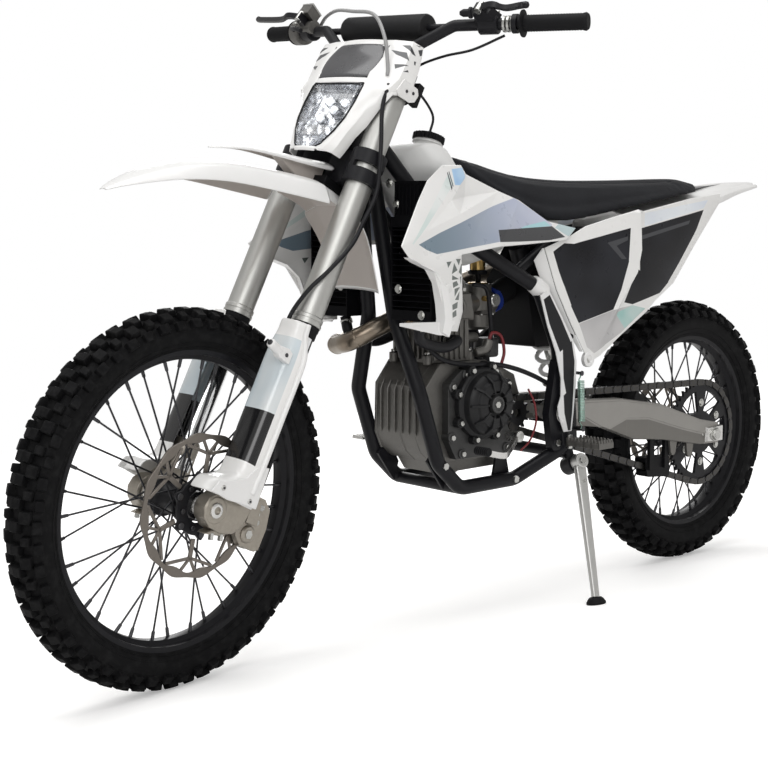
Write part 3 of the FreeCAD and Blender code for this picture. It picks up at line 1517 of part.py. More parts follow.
def frameGuards():
    body = plate(frameGuardOutline, guardFace, guardFace + skin * 1.2)
    return Part.makeCompound(both(body))


guideX = 185.0
guideHalf = 46.0
guideGap = 10.0


def chainGuide():
    """A slotted block round the lower run, hung from two tabs on the swingarm."""
    share = guideX / driveX
    low = rearTyreRadius - pitchRadius(rearTeeth)
    z = low + (driveZ - pitchRadius(frontTeeth) - low) * share
    half = chainWidth / 2 + guideGap / 2
    block = plate([(guideX - guideHalf, z - 24.0), (guideX + guideHalf * 0.8, z - 16.0),
                   (guideX + guideHalf, z + 30.0), (guideX - guideHalf, z + 24.0)],
                  chainLine - half - skin, chainLine + half + skin, 6.0)
    lane = beltSolid(guideGap, chainLine - half, chainLine + half)
    lane = lane.cut(beltSolid(-guideGap, chainLine - half * 2, chainLine + half * 2))
    tabs = [plate([(x - 8.0, z), (x + 8.0, z), (x + 8.0, z + 90.0), (x - 8.0, z + 90.0)],
                  chainLine + half, armNear + 6.0) for x in (guideX - 28.0, guideX + 28.0)]
    return fuse([block] + tabs).cut([lane, swingarm()])


springTop = Vector(546.0, 150.0, 508.0)
springLow = Vector(540.0, 150.0, 388.0)
springWire = 2.2
standSpringRadius = 8.0


def standSpring():
    """Stretched spring beside the pivot plate, hooked over two pins of the frame."""
    run = springLow - springTop
    barrel = tube(springTop + run * 0.12, springTop + run * 0.86, standSpringRadius, standSpringRadius - springWire)
    wire = rod(springTop, springLow, springWire)
    ends = [rod(springTop + run * a, springTop + run * (a + 0.04), standSpringRadius) for a in (0.1, 0.84)]
    pins = [rod(p - left * (p.y - pivotHalf - pivotPlateHalf - slideFit), p + left * skin, springWire * 1.6)
            for p in (springTop, springLow)]
    return fuse([barrel, wire] + ends + pins)


coolantRoute = [
    (975.0, 114.0, 636.4), (970.0, 103.0, 600.0), (906.0, 102.0, 582.0), (860.0, 94.0, 592.0),
    (860.0, 58.3, 592.0),
]
ventRoute = [
    (845.2, 0.0, 1006.8), (838.0, 0.0, 1044.0), (884.0, 0.0, 1092.0), (946.0, 0.0, 1134.0),
    (984.0, 0.0, 1130.0), (989.0, 0.0, 1117.5),
]
coolantRadius = 11.0


def coolantHoses():
    return Part.makeCompound(both(hose([Vector(*p) for p in coolantRoute], coolantRadius)))


def ventHose():
    return hose([Vector(*p) for p in ventRoute], cableRadius)


# Nodes on each body
def wheelParts(name, half, bead, rimHalf, radius, tyreHalf):
    return {
        name + "_hub": fuse([hub(half), spokes(half, bead, rimHalf)]), name + "_rim": rim(bead, rimHalf),
        name + "_tyre": tyre(radius, tyreHalf, bead, rimHalf),
    }


def moved(shapes, place):
    return {name: shape.transformed(place.toMatrix()) for name, shape in shapes.items()}


def frontWheelNodes():
    nodes = wheelParts("front", frontHubHalf, frontBead, frontRimHalf, frontTyreRadius, frontTyreHalf)
    seat = frontDiscPlane - discThickness / 2
    nodes["front_brake_disc"] = fuse([waveDisc(frontDiscRadius, frontDiscPlane), discSpacer(frontHubHalf, seat)])
    return moved(nodes, FreeCAD.Placement(frontAxle, FreeCAD.Rotation()))


def rearWheelNodes():
    nodes = wheelParts("rear", rearHubHalf, rearBead, rearRimHalf, rearTyreRadius, rearTyreHalf)
    nodes["rear_brake_disc"] = fuse([waveDisc(rearDiscRadius, rearDiscPlane),
                                     discSpacer(rearDiscPlane + discThickness / 2, -rearHubHalf)])
    nodes["rear_sprocket"] = fuse([rearSprocket(), discSpacer(rearHubHalf, chainLine + sprocketThickness / 2)])
    return moved(nodes, FreeCAD.Placement(rearAxle, FreeCAD.Rotation()))


def steeringNodes():
    local = {
        "fork_outer_tubes": forkOuter(), "fork_lower_legs": forkLower(), "fork_clamps": forkClamps(),
        "fork_guards": forkGuard(), "handlebar": handlebar(), "bar_pad": barPad(), "grips": grips(),
        "hand_controls": Part.makeCompound([clutchPerch(), brakeMaster(), throttleHousing()]),
        "headlight_mask": headlightMask(), "headlight": headlight(), "front_caliper": frontCaliper(),
        "front_fender": frontFender(), "front_axle": frontAxleShaft(), "control_lines": Part.makeCompound([brakeHose(), clutchCable()]),
    }
    nodes = {name: onSteering(shape) for name, shape in local.items()}
    return nodes


def chassisNodes():
    panel = sidePanel(panelShares)
    other = both(sidePanel(panelRightShares))[1]
    return {
        "frame": frame(), "swingarm": swingarm(), "rear_axle": Part.makeCompound([rearAxleShaft(), pivotBolt()]),
        "rear_caliper": rearCaliper(), "shock": shock(), "engine": fuse([crankcase(), cylinder()]),
        "engine_covers": engineCovers(), "header_pipe": header(), "silencer": silencer(),
        "radiators": radiators(), "hoses": Part.makeCompound([coolantHoses(), ventHose()]), "tank": tank(),
        "tank_cap": tankCap(), "airbox": airbox(), "carburettor": carburettor(), "seat_pad": seat(),
        "shrouds": Part.makeCompound(both(shroud())), "side_panels": Part.makeCompound([panel, other]),
        "rear_fender": rearFender(), "frame_guards": frameGuards(), "footpegs": footpegs(),
        "foot_controls": Part.makeCompound([gearLever(), brakePedal()]), "stand_spring": standSpring(),
        "chain": chain(), "chain_guide": chainGuide(), "front_sprocket": frontSprocket(),
    }


def restPlace(shapes):
    """Leans the bike on its stand and puts the middle of its footprint at the origin."""
    pitch = restPitch()
    up = groundNormal(pitch)
    turn = FreeCAD.Rotation(Vector(1, 0, 0), -leanDegrees).multiply(FreeCAD.Rotation(left, math.degrees(pitch)))
    place = FreeCAD.Placement(Vector(0, 0, 0), turn)
    box = FreeCAD.BoundBox()
    for shape in shapes:
        box.add(shape.transformed(place.toMatrix()).BoundBox)
    ground = tyreDepth(rearAxle, left, rearTyreRadius, rearTyreHalf, up)
    place.Base = Vector(-(box.XMin + box.XMax) / 2, -(box.YMin + box.YMax) / 2, -ground)
    return place


def build():
    """All nodes at rest, and the places that the joints need."""
    steerTurn = FreeCAD.Placement(Vector(0, 0, 0), FreeCAD.Rotation(steerAxis, steerRestDegrees), steerBase)
    bodies = {
        "chassis": chassisNodes(), "steering": moved(steeringNodes(), steerTurn),
        "front_wheel": moved(frontWheelNodes(), steerTurn), "rear_wheel": rearWheelNodes(),
        "side_stand": {"side_stand": sideStand()},
    }
    shapes = [shape for nodes in bodies.values() for shape in nodes.values()]
    place = restPlace(shapes)
    axle, across = steeredAxle()
    axis, fold = standAxis()
    turn = place.Rotation
    joints = {
        "steering": (place.multVec(steerBase), turn.multVec(steerAxis)),
        "front_wheel": (place.multVec(axle), turn.multVec(across)),
        "rear_wheel": (place.multVec(rearAxle), turn.multVec(left)),
        "side_stand": (place.multVec(standPivot), turn.multVec(axis), fold),
    }
    return {name: moved(nodes, place) for name, nodes in bodies.items()}, joints, place


def main():
    os.makedirs("parts", exist_ok=True)
    bodies, joints, place = build()
    for nodes in bodies.values():
        for name, shape in nodes.items():
            shape.exportStep("parts/" + name + ".step")


if __name__ == "__main__":
    main()
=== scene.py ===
import bpy
from math import acos, atan2, copysign, cos, hypot, pi, radians, sin
from mathutils import Matrix, Vector


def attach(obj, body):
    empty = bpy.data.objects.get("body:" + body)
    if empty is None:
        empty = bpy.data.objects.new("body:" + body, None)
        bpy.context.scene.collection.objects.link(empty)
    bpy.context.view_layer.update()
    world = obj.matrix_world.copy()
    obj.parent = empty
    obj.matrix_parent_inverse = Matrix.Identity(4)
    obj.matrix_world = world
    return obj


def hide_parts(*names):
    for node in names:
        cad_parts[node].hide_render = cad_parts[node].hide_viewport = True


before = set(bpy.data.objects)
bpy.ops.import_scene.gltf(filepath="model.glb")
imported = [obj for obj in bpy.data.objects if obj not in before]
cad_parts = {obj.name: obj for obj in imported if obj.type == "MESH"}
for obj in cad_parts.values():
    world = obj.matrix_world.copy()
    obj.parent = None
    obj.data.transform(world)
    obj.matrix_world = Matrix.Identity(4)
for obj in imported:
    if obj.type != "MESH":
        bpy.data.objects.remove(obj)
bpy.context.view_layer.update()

# how the parked bike stands, told in its own upright frame: x ahead, y to its left, z up
stance = {
    "base": (-0.750376, -0.183835, 0.000696), "lean": 8.8, "pitch": 0.0563, "rake": 27.15, "steer": 7.2,
    "steerBase": (1.405815, 0, 0.305494), "axleAhead": 0.08, "rearAxle": (0, 0, 0.318),
}


fullTurn = 2 * pi


def spin(degrees, axis):
    return Matrix.Rotation(radians(degrees), 4, axis)


def move(x, y, z):
    return Matrix.Translation((x, y, z))


# a point at a radius and an angle round the y axis
def polar(radius, angle, y=0.0):
    return radius * cos(angle), y, radius * sin(angle)


chassisPlace = move(*stance["base"]) @ spin(-stance["lean"], "X") @ spin(stance["pitch"], "Y")
steerPlace = (chassisPlace @ move(*stance["steerBase"]) @ spin(-stance["rake"], "Y")
              @ spin(stance["steer"], "Z"))
places = {
    "chassis": chassisPlace, "steering": steerPlace, "front_wheel": steerPlace @ move(stance["axleAhead"], 0, 0),
    "rear_wheel": chassisPlace @ move(*stance["rearAxle"]), "side_stand": chassisPlace,
}


# a mesh in the making: points in metres, faces, and which finish each face takes
class Shape:
    def __init__(self):
        self.points, self.faces, self.slots = [], [], []

    def add(self, points, faces, slot=0, place=None):
        start = len(self.points)
        self.points += [place @ Vector(p) if place else Vector(p) for p in points]
        self.faces += [[start + i for i in face] for face in faces]
        self.slots += [slot] * len(faces)
        return self

    # a skin over rings that have as many points each
    def loft(self, rings, slot=0, place=None, capStart=True, capEnd=True, round=True, closed=False):
        count = len(rings[0])
        points = [p for ring in rings for p in ring]
        faces = []
        last = len(rings) if closed else len(rings) - 1
        for i in range(last):
            a, b = i * count, (i + 1) % len(rings) * count
            for j in range(count if round else count - 1):
                k = (j + 1) % count
                faces.append([a + j, a + k, b + k, b + j])
        if round and not closed:
            if capStart:
                faces.append(list(range(count))[::-1])
            if capEnd:
                faces.append([(len(rings) - 1) * count + j for j in range(count)])
        return self.add(points, faces, slot, place)

    # a profile of (radius, y) turned round the y axis
    def lathe(self, profile, steps=48, slot=0, place=None, closed=False, start=0, sweep=360):
        full = sweep == 360
        rings = []
        for i in range(steps if full else steps + 1):
            a = radians(start + sweep * i / steps)
            rings.append([polar(r, a, y) for r, y in profile])
        return self.loft(rings, slot, place, round=closed, closed=full, capStart=not full, capEnd=not full)

    # a round bar or pipe along points; radius is one number or one for each point
    def tube(self, points, radius, sides=16, slot=0, place=None, closed=False):
        points = [Vector(p) for p in points]
        radii = radius if isinstance(radius, (list, tuple)) else [radius] * len(points)
        rings, side = [], None
        for i, p in enumerate(points):
            before = points[i - 1] if i or closed else p
            after = points[(i + 1) % len(points)] if i < len(points) - 1 or closed else p
            run = (after - before).normalized()
            if side is None:
                side = run.orthogonal().normalized()
            side = (side - run * side.dot(run)).normalized()
            up = run.cross(side)
            rings.append([p + (side * cos(fullTurn * k / sides) + up * sin(fullTurn * k / sides)) * radii[i]
                          for k in range(sides)])
        return self.loft(rings, slot, place, closed=closed)

    # a flat outline of (x, z) given thickness along y
    def slab(self, outline, near, far, slot=0, place=None):
        return self.loft([[(x, near, z) for x, z in outline], [(x, far, z) for x, z in outline]], slot, place)

    def block(self, low, high, slot=0, place=None):
        (a, b, c), (d, e, f) = low, high
        return self.slab([(a, c), (d, c), (d, f), (a, f)], b, e, slot, place)

    # a round boss, washer or bolt head from one point to another
    def rod(self, start, end, radius, sides=24, slot=0, place=None, chamfer=0.0):
        start, end = Vector(start), Vector(end)
        if not chamfer:
            return self.tube([start, end], radius, sides, slot, place)
        step = (end - start).normalized() * chamfer
        return self.tube([start, start + step, end - step, end],
                         [radius - chamfer, radius, radius, radius - chamfer], sides, slot, place)

    # a rod across the bike, from one y to another
    def boss(self, x, z, near, far, radius, sides=24, slot=0, place=None, chamfer=0.0):
        return self.rod((x, near, z), (x, far, z), radius, sides, slot, place, chamfer)

    def mirrored(self):
        flip = Shape()
        flip.add([(p.x, -p.y, p.z) for p in self.points], [face[::-1] for face in self.faces])
        flip.slots = list(self.slots)
        return flip

    def joined(self, other, place=None):
        start = len(self.faces)
        self.add(other.points, other.faces, 0, place)
        self.slots[start:] = other.slots
        return self

    def both(self):
        return self.joined(self.mirrored())


# points on a smooth line through a few chosen ones
def smooth(points, steps=8, closed=False):
    points = [Vector(p) for p in points]
    count = len(points)
    out = []
    for i in range(count if closed else count - 1):
        if closed:
            a, b, c, d = [points[(i + k) % count] for k in (-1, 0, 1, 2)]
        else:
            b, c = points[i], points[i + 1]
            a = points[i - 1] if i else b * 2 - c
            d = points[i + 2] if i + 2 < count else c * 2 - b
        for k in range(steps):
            t = k / steps
            out.append(0.5 * (2 * b + (c - a) * t + (2 * a - 5 * b + 4 * c - d) * t * t
                              + (3 * b - a - 3 * c + d) * t * t * t))
    return out if closed else out + [points[-1]]


# more rings between a few, on smooth lines from ring to ring
def between(rings, steps):
    return [list(ring) for ring in zip(*[smooth(track, steps) for track in zip(*rings)])]


# straight runs with their corners rounded off, as a bent steel tube has them
def bent(points, radius, steps=6):
    points = [Vector(p) for p in points]
    out = [points[0]]
    for a, b, c in zip(points, points[1:], points[2:]):
        reach = min(radius, (a - b).length * 0.45, (c - b).length * 0.45)
        start, end = b + (a - b).normalized() * reach, b + (c - b).normalized() * reach
        for k in range(steps + 1):
            t = k / steps
            out.append(start * (1 - t) ** 2 + b * 2 * t * (1 - t) + end * t * t)
    return out + [points[-1]]


# makes the object, puts it in its body's place and lets it ride there
def fit(name, shape, body, paints, replaces=(), bevel=0.0, bevelSteps=2, subdivide=0, thick=0.0, sharp=30,
        weld=False, bevelAngle=30):
    name = name.replace(" ", "_")
    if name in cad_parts:
        name += "_skin"
    mesh = bpy.data.meshes.new(name)
    mesh.from_pydata([tuple(p) for p in shape.points], [], shape.faces)
    mesh.validate()
    for paint in paints:
        mesh.materials.append(finishes[paint])
    if len(shape.slots) == len(mesh.polygons):
        mesh.polygons.foreach_set("material_index", shape.slots)
    mesh.shade_smooth()
    piece = bpy.data.objects.new(name, mesh)
    bpy.context.scene.collection.objects.link(piece)
    if weld:
        piece.modifiers.new("weld", "WELD").merge_threshold = 1e-5
    if thick:
        wall = piece.modifiers.new("wall", "SOLIDIFY")
        wall.thickness, wall.offset = thick, -1
        wall.material_offset = 1 if len(paints) > 1 else 0
    if subdivide:
        rounding = piece.modifiers.new("rounding", "SUBSURF")
        rounding.levels = rounding.render_levels = subdivide
    if bevel:
        edges = piece.modifiers.new("edges", "BEVEL")
        edges.width, edges.segments, edges.limit_method = bevel, bevelSteps, "ANGLE"
        edges.angle_limit = radians(bevelAngle)
        edges.harden_normals = False
    mesh.update()
    if sharp and not subdivide:
        mesh.set_sharp_from_angle(angle=radians(sharp))
    piece.matrix_world = places[body]
    bpy.context.view_layer.update()
    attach(piece, body)
    if replaces:
        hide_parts(*replaces)
    return piece


# every finish by its name, and the shader's sockets by short names
finishes = {}
socketNames = {
    "specular": "Specular IOR Level", "coat": "Coat Weight", "coatRoughness": "Coat Roughness", "sheen": "Sheen Weight",
    "clear": "Transmission Weight", "refraction": "IOR", "alpha": "Alpha", "glow": "Emission Color",
    "glowPower": "Emission Strength",
}
paintWhite, shadedWhite = (0.80, 0.797, 0.785), (0.775, 0.77, 0.76)


# one socket of a shader, so that its maths reads as plain sums
class Wire:
    def __init__(self, finish, socket):
        self.finish, self.socket = finish, socket

    def sum(self, operation, *others):
        return self.finish.node("ShaderNodeMath", {"operation": operation}, dict(enumerate((self,) + others)))

    def __add__(self, other):
        return self.sum("ADD", other)

    def __sub__(self, other):
        return self.sum("SUBTRACT", other)

    def __rsub__(self, other):
        return self.finish.node("ShaderNodeMath", {"operation": "SUBTRACT"}, {0: other, 1: self})

    def __mul__(self, other):
        return self.sum("MULTIPLY", other)

    def lowest(self, other):
        return self.sum("MINIMUM", other)

    def highest(self, other):
        return self.sum("MAXIMUM", other)

    def step(self, low, high):
        return self.finish.node("ShaderNodeMapRange", {"interpolation_type": "SMOOTHSTEP"},
                                {"Value": self, "From Min": low, "From Max": high})


# one material with a principled shader, and the calls that add nodes to it
class Finish:
    def __init__(self, name, colour, roughness=0.5, metal=0.0, **sockets):
        self.material = bpy.data.materials.new(name)
        self.material.use_nodes = True
        self.tree = self.material.node_tree
        self.shader = self.tree.nodes["Principled BSDF"]
        self.name = name
        self.set({"Base Color": colour, "Roughness": roughness, "Metallic": metal})
        self.set({socketNames[key]: value for key, value in sockets.items()})
        self.put = self.node("ShaderNodeTexCoord", {}, {}, "Object")
        split = self.node("ShaderNodeSeparateXYZ", {}, {"Vector": self.put}, None)
        self.x, self.y, self.z = [Wire(self, split.outputs[i]) for i in range(3)]
        self.relief = None

    def link(self, value, socket):
        if isinstance(value, Wire):
            self.tree.links.new(value.socket, socket)
        elif isinstance(value, (tuple, list)) and len(value) == 3 and socket.type == "RGBA":
            socket.default_value = (*value, 1.0)
        else:
            socket.default_value = value

    def set(self, sockets):
        for name, value in sockets.items():
            self.link(value, self.shader.inputs[name])

    def node(self, kind, settings=None, sockets=None, output=0):
        made = self.tree.nodes.new(kind)
        for name, value in (settings or {}).items():
            if name == "stops":
                for i, (position, colour) in enumerate(value):
                    spot = made.color_ramp.elements[i] if i < 2 else made.color_ramp.elements.new(position)
                    spot.position, spot.color = position, (*colour, 1.0)
            else:
                setattr(made, name, value)
        for name, value in (sockets or {}).items():
            self.link(value, made.inputs[name])
        return made if output is None else Wire(self, made.outputs[output])

    def noise(self, scale, detail=3.0, rough=0.5, where=None):
        sockets = {"Vector": where or self.put, "Scale": scale, "Detail": detail, "Roughness": rough}
        return self.node("ShaderNodeTexNoise", {}, sockets)

    def cells(self, scale, **settings):
        return self.node("ShaderNodeTexVoronoi", settings, {"Vector": self.put, "Scale": scale})

    def stretched(self, x, y, z):
        return self.node("ShaderNodeVectorMath", {"operation": "MULTIPLY"}, {0: self.put, 1: (x, y, z)})

    def mixed(self, first, second, share):
        return self.node("ShaderNodeMix", {"data_type": "RGBA"}, {0: share, 6: first, 7: second}, 2)

    def ramp(self, value, stops):
        return self.node("ShaderNodeValToRGB", {"stops": stops}, {"Fac": value})

    # how far inside a convex outline of points a surface point lies, in metres
    def inside(self, across, up, outline):
        deep = None
        area = sum(a[0] * b[1] - b[0] * a[1] for a, b in zip(outline, outline[1:] + outline[:1]))
        for a, b in zip(outline, outline[1:] + outline[:1]):
            run = Vector((b[0] - a[0], b[1] - a[1])).normalized() * (1 if area > 0 else -1)
            edge = up * run.x - across * run.y + (a[0] * run.y - a[1] * run.x)
            deep = edge if deep is None else deep.lowest(edge)
        return deep

    # 1 within any of a few convex outlines, 0 outside them
    def within(self, across, up, outlines, soft=0.0004):
        deep = None
        for outline in outlines:
            one = self.inside(across, up, outline)
            deep = one if deep is None else deep.highest(one)
        return deep.step(-soft, soft)

    def bump(self, height, strength=0.3, distance=0.001):
        sockets = {"Height": height, "Strength": strength, "Distance": distance}
        if self.relief:
            sockets["Normal"] = self.relief
        self.relief = self.node("ShaderNodeBump", {}, sockets)
        self.set({"Normal": self.relief})
        return self


# camera, floor and light
camera = {
    "at": (2.8609, 2.0985, 0.8307), "towards": (0.9582, 0, 0.537), "right": (-0.74066, 0.67187, -0.00237),
    "focalPixels": 1422.9, "imagePixels": 768, "centrePixels": (389.03, 368.11), "sensor": 36,
}


def placeCamera():
    made = bpy.data.objects.new("camera", bpy.data.cameras.new("camera"))
    bpy.context.scene.collection.objects.link(made)
    look = (Vector(camera["towards"]) - Vector(camera["at"])).normalized()
    right = Vector(camera["right"]).normalized()
    up = right.cross(look).normalized()
    right = look.cross(up).normalized()
    turn = Matrix((right, up, -look)).transposed().to_4x4()
    made.matrix_world = chassisPlace @ move(*camera["at"]) @ turn
    pixels = camera["imagePixels"]
    made.data.sensor_width = camera["sensor"]
    made.data.lens = camera["focalPixels"] / pixels * camera["sensor"]
    made.data.shift_x = (pixels / 2 - camera["centrePixels"][0]) / pixels
    made.data.shift_y = (camera["centrePixels"][1] - pixels / 2) / pixels
    made.data.clip_end = 60
    bpy.context.scene.camera = made


studio = {
    "sky": (0.835, 0.825, 0.81), "skyStrength": 0.62, "floorSize": 40, "floorColour": (0.845, 0.84, 0.835),
    "floorGlow": (0.34, 0.85), "floorFade": (2.2, 5.5),
    # name: where it hangs, what it points at, its width and height, its power
    "lamps": {
        "overhead": ((0.6, 0.6, 4.2), (0.1, 0, 0.6), (4.5, 3.0), 104),
        "front left": ((3.4, 3.6, 2.6), (0.3, 0, 0.6), (2.6, 2.2), 66),
        "behind right": ((-2.6, -3.2, 2.6), (-0.2, 0, 0.7), (2.6, 2.0), 60),
    },
}


def lightStage():
    world = bpy.data.worlds.new("studio")
    bpy.context.scene.world = world
    world.use_nodes = True
    tree = world.node_tree
    glow = tree.nodes["Background"]
    path = tree.nodes.new("ShaderNodeLightPath")
    white = tree.nodes.new("ShaderNodeBackground")
    mix = tree.nodes.new("ShaderNodeMixShader")
    glow.inputs[0].default_value = (*studio["sky"], 1)
    glow.inputs[1].default_value = studio["skyStrength"]
    white.inputs[0].default_value = (1, 1, 1, 1)
    seen = tree.nodes.new("ShaderNodeMath")
    seen.operation = "MAXIMUM"
    tree.links.new(path.outputs["Is Camera Ray"], seen.inputs[0])
    tree.links.new(path.outputs["Is Transmission Ray"], seen.inputs[1])
    tree.links.new(seen.outputs[0], mix.inputs[0])
    tree.links.new(glow.outputs[0], mix.inputs[1])
    tree.links.new(white.outputs[0], mix.inputs[2])
    tree.links.new(mix.outputs[0], tree.nodes["World Output"].inputs[0])
    for name, (at, towards, size, power) in studio["lamps"].items():
        lamp = bpy.data.objects.new(name, bpy.data.lights.new(name, "AREA"))
        lamp.data.shape, (lamp.data.size, lamp.data.size_y), lamp.data.energy = "RECTANGLE", size, power
        lamp.location = at
        lamp.rotation_euler = (Vector(towards) - Vector(at)).to_track_quat("-Z", "Y").to_euler()
        bpy.context.scene.collection.objects.link(lamp)
    half = studio["floorSize"] / 2
    mesh = bpy.data.meshes.new("floor")
    mesh.from_pydata([(-half, -half, 0), (half, -half, 0), (half, half, 0), (-half, half, 0)], [], [(0, 1, 2, 3)])
    floor = bpy.data.objects.new("floor", mesh)
    bpy.context.scene.collection.objects.link(floor)
    paper = Finish("floor paper", studio["floorColour"], 0.9)
    seen = paper.node("ShaderNodeLightPath", {}, {}, None)
    camera = Wire(paper, seen.outputs["Is Camera Ray"]).highest(Wire(paper, seen.outputs["Is Transmission Ray"]))
    away = paper.node("ShaderNodeVectorMath", {"operation": "LENGTH"}, {0: paper.put}, 1).step(*studio["floorFade"])
    near, far = studio["floorGlow"]
    shine = paper.node("ShaderNodeEmission", {}, {"Color": (1, 1, 1), "Strength": away * (far - near) + near})
    both = paper.node("ShaderNodeAddShader", {}, {0: Wire(paper, paper.shader.outputs[0]), 1: shine})
    paper.node("ShaderNodeMixShader", {}, {0: camera, 1: Wire(paper, paper.shader.outputs[0]), 2: both}, None)
    paper.tree.links.new(paper.tree.nodes[-1].outputs[0], paper.tree.nodes["Material Output"].inputs[0])
    mesh.materials.append(paper.material)


bpy.context.scene.view_settings.view_transform = "Standard"
placeCamera()
lightStage()
print("camera, floor and lamps are up")


def keep(finish):
    finishes[finish.name] = finish.material
    return finish


def rubberFinish():
    made = keep(Finish("tyre rubber", (0.009, 0.009, 0.010), 0.7, specular=0.08))
    dust = made.noise(60, 4, 0.6).step(0.42, 0.72)
    made.set({"Base Color": made.mixed((0.005, 0.005, 0.0055), (0.013, 0.013, 0.0135), dust),
              "Roughness": dust * 0.16 + 0.56})
    made.bump(made.noise(900, 2), 0.18, 0.0004)
    soft = keep(Finish("soft black rubber", (0.010, 0.010, 0.011), 0.62, specular=0.12))
    soft.set({"Roughness": soft.noise(140, 3) * 0.2 + 0.5})
    soft.bump(soft.noise(1500, 2), 0.15, 0.0003)
    hose = keep(Finish("rubber hose", (0.010, 0.010, 0.012), 0.45, specular=0.25))
    hose.set({"Roughness": hose.noise(90, 3) * 0.2 + 0.34})
    red = keep(Finish("red hose", (0.16, 0.010, 0.014), 0.4))
    red.set({"Roughness": red.noise(120, 2) * 0.2 + 0.3})


def metalFinish(name, colour, roughness, metal=1.0, grain=0.0, stretch=(1, 1, 1), scale=240, worn=0.12, **sockets):
    made = keep(Finish(name, colour, roughness, metal, **sockets))
    cloudy = made.noise(scale / 6, 4, 0.6)
    dark = tuple(c * (1 - worn) for c in colour)
    light = tuple(min(1.0, c * (1 + worn)) for c in colour)
    made.set({"Base Color": made.mixed(dark, light, cloudy), "Roughness": cloudy * 0.16 + (roughness - 0.08)})
    if grain:
        made.bump(made.noise(scale, 3, 0.6, made.stretched(*stretch)), grain, 0.0005)
    return made


def metals():
    metalFinish("black rim", (0.009, 0.009, 0.011), 0.34, 0.2, 0.05, worn=0.3, specular=0.22)
    metalFinish("dark spoke steel", (0.06, 0.06, 0.065), 0.36, 1.0)
    metalFinish("black hub", (0.008, 0.008, 0.010), 0.38, 0.0, 0.1, specular=0.3)
    metalFinish("disc steel", (0.20, 0.18, 0.16), 0.4, 1.0, 0.06, (1, 1, 1), 900)
    metalFinish("fork tube", (0.52, 0.52, 0.50), 0.44, 0.9, 0.05, (14, 14, 0.6), 60, 0.05)
    metalFinish("chromed tube", (0.72, 0.73, 0.74), 0.12, 1.0)
    metalFinish("cast alloy", (0.17, 0.165, 0.155), 0.48, 0.85, 0.5, (1, 1, 1), 700, 0.2)
    metalFinish("leg alloy", (0.36, 0.33, 0.285), 0.42, 0.88, 0.5, (1, 1, 1), 700, 0.2)
    metalFinish("dark cast alloy", (0.075, 0.075, 0.075), 0.5, 0.7, 0.5, (1, 1, 1), 700, 0.25)
    arm = metalFinish("swingarm alloy", (0.30, 0.29, 0.275), 0.44, 0.75, 0.12, (0.3, 1, 3), 500, 0.1)
    # painted shade: the face below the swingarm's crease is coloured darker than the rest of the arm
    low = [(0.560, 0.409), (0.470, 0.397), (0.425, 0.375), (0.395, 0.365), (0.330, 0.383), (0.250, 0.376),
           (0.120, 0.339), (0.030, 0.317)]
    under = None
    for a, b in zip(low, low[1:]):
        piece = arm.within(arm.x, arm.z, [[a, b, (b[0], 0.25), (a[0], 0.25)]])
        under = piece if under is None else under.highest(piece)
    cloud = arm.mixed((0.28, 0.27, 0.255), (0.36, 0.35, 0.33), arm.noise(7, 3))
    arm.set({"Base Color": arm.mixed(cloud, (0.185, 0.178, 0.165), under)})
    metalFinish("machined alloy", (0.66, 0.655, 0.64), 0.26, 1.0)
    metalFinish("bolt steel", (0.52, 0.52, 0.50), 0.27, 1.0)
    metalFinish("dark bolt steel", (0.075, 0.075, 0.08), 0.38, 1.0)
    metalFinish("frame paint", (0.008, 0.008, 0.010), 0.36, 0.0, 0.12, (1, 1, 1), 500, 0.3, specular=0.2)
    metalFinish("black anodised", (0.009, 0.009, 0.011), 0.4, 0.0, 0.1, (1, 1, 1), 600, 0.2, specular=0.22)
    metalFinish("chain steel", (0.075, 0.072, 0.068), 0.42, 0.9, 0.0, worn=0.4)
    metalFinish("zinc spring", (0.28, 0.42, 0.36), 0.32, 1.0)
    metalFinish("brass", (0.62, 0.42, 0.16), 0.28, 1.0)
    metalFinish("silencer skin", (0.50, 0.505, 0.51), 0.32, 0.9, 0.1, (0.2, 6, 6), 200, 0.08)
    header = keep(Finish("heated steel", (0.24, 0.21, 0.18), 0.34, 1.0))
    heat = header.noise(14, 3, 0.6)
    header.set({"Base Color": header.ramp(heat, [(0.3, (0.26, 0.24, 0.22)), (0.7, (0.22, 0.18, 0.14)),
                                                (0.52, (0.30, 0.26, 0.21)), (0.85, (0.16, 0.15, 0.16))]),
                "Roughness": heat * 0.2 + 0.2})
    blue = keep(Finish("blue band", (0.02, 0.05, 0.32), 0.35, 0.4))
    blue.set({"Roughness": blue.noise(200) * 0.2 + 0.25})


def plasticFinish(name, colour, roughness, grain=0.1, scale=1400, spread=0.04, **sockets):
    made = keep(Finish(name, colour, roughness, 0.0, **sockets))
    soft = made.noise(9, 3, 0.5)
    dark = tuple(c * (1 - spread) for c in colour)
    made.set({"Base Color": made.mixed(dark, colour, soft), "Roughness": made.noise(40, 3) * 0.1 + (roughness - 0.05)})
    if grain:
        made.bump(made.noise(scale, 2), grain, 0.0003)
    return made


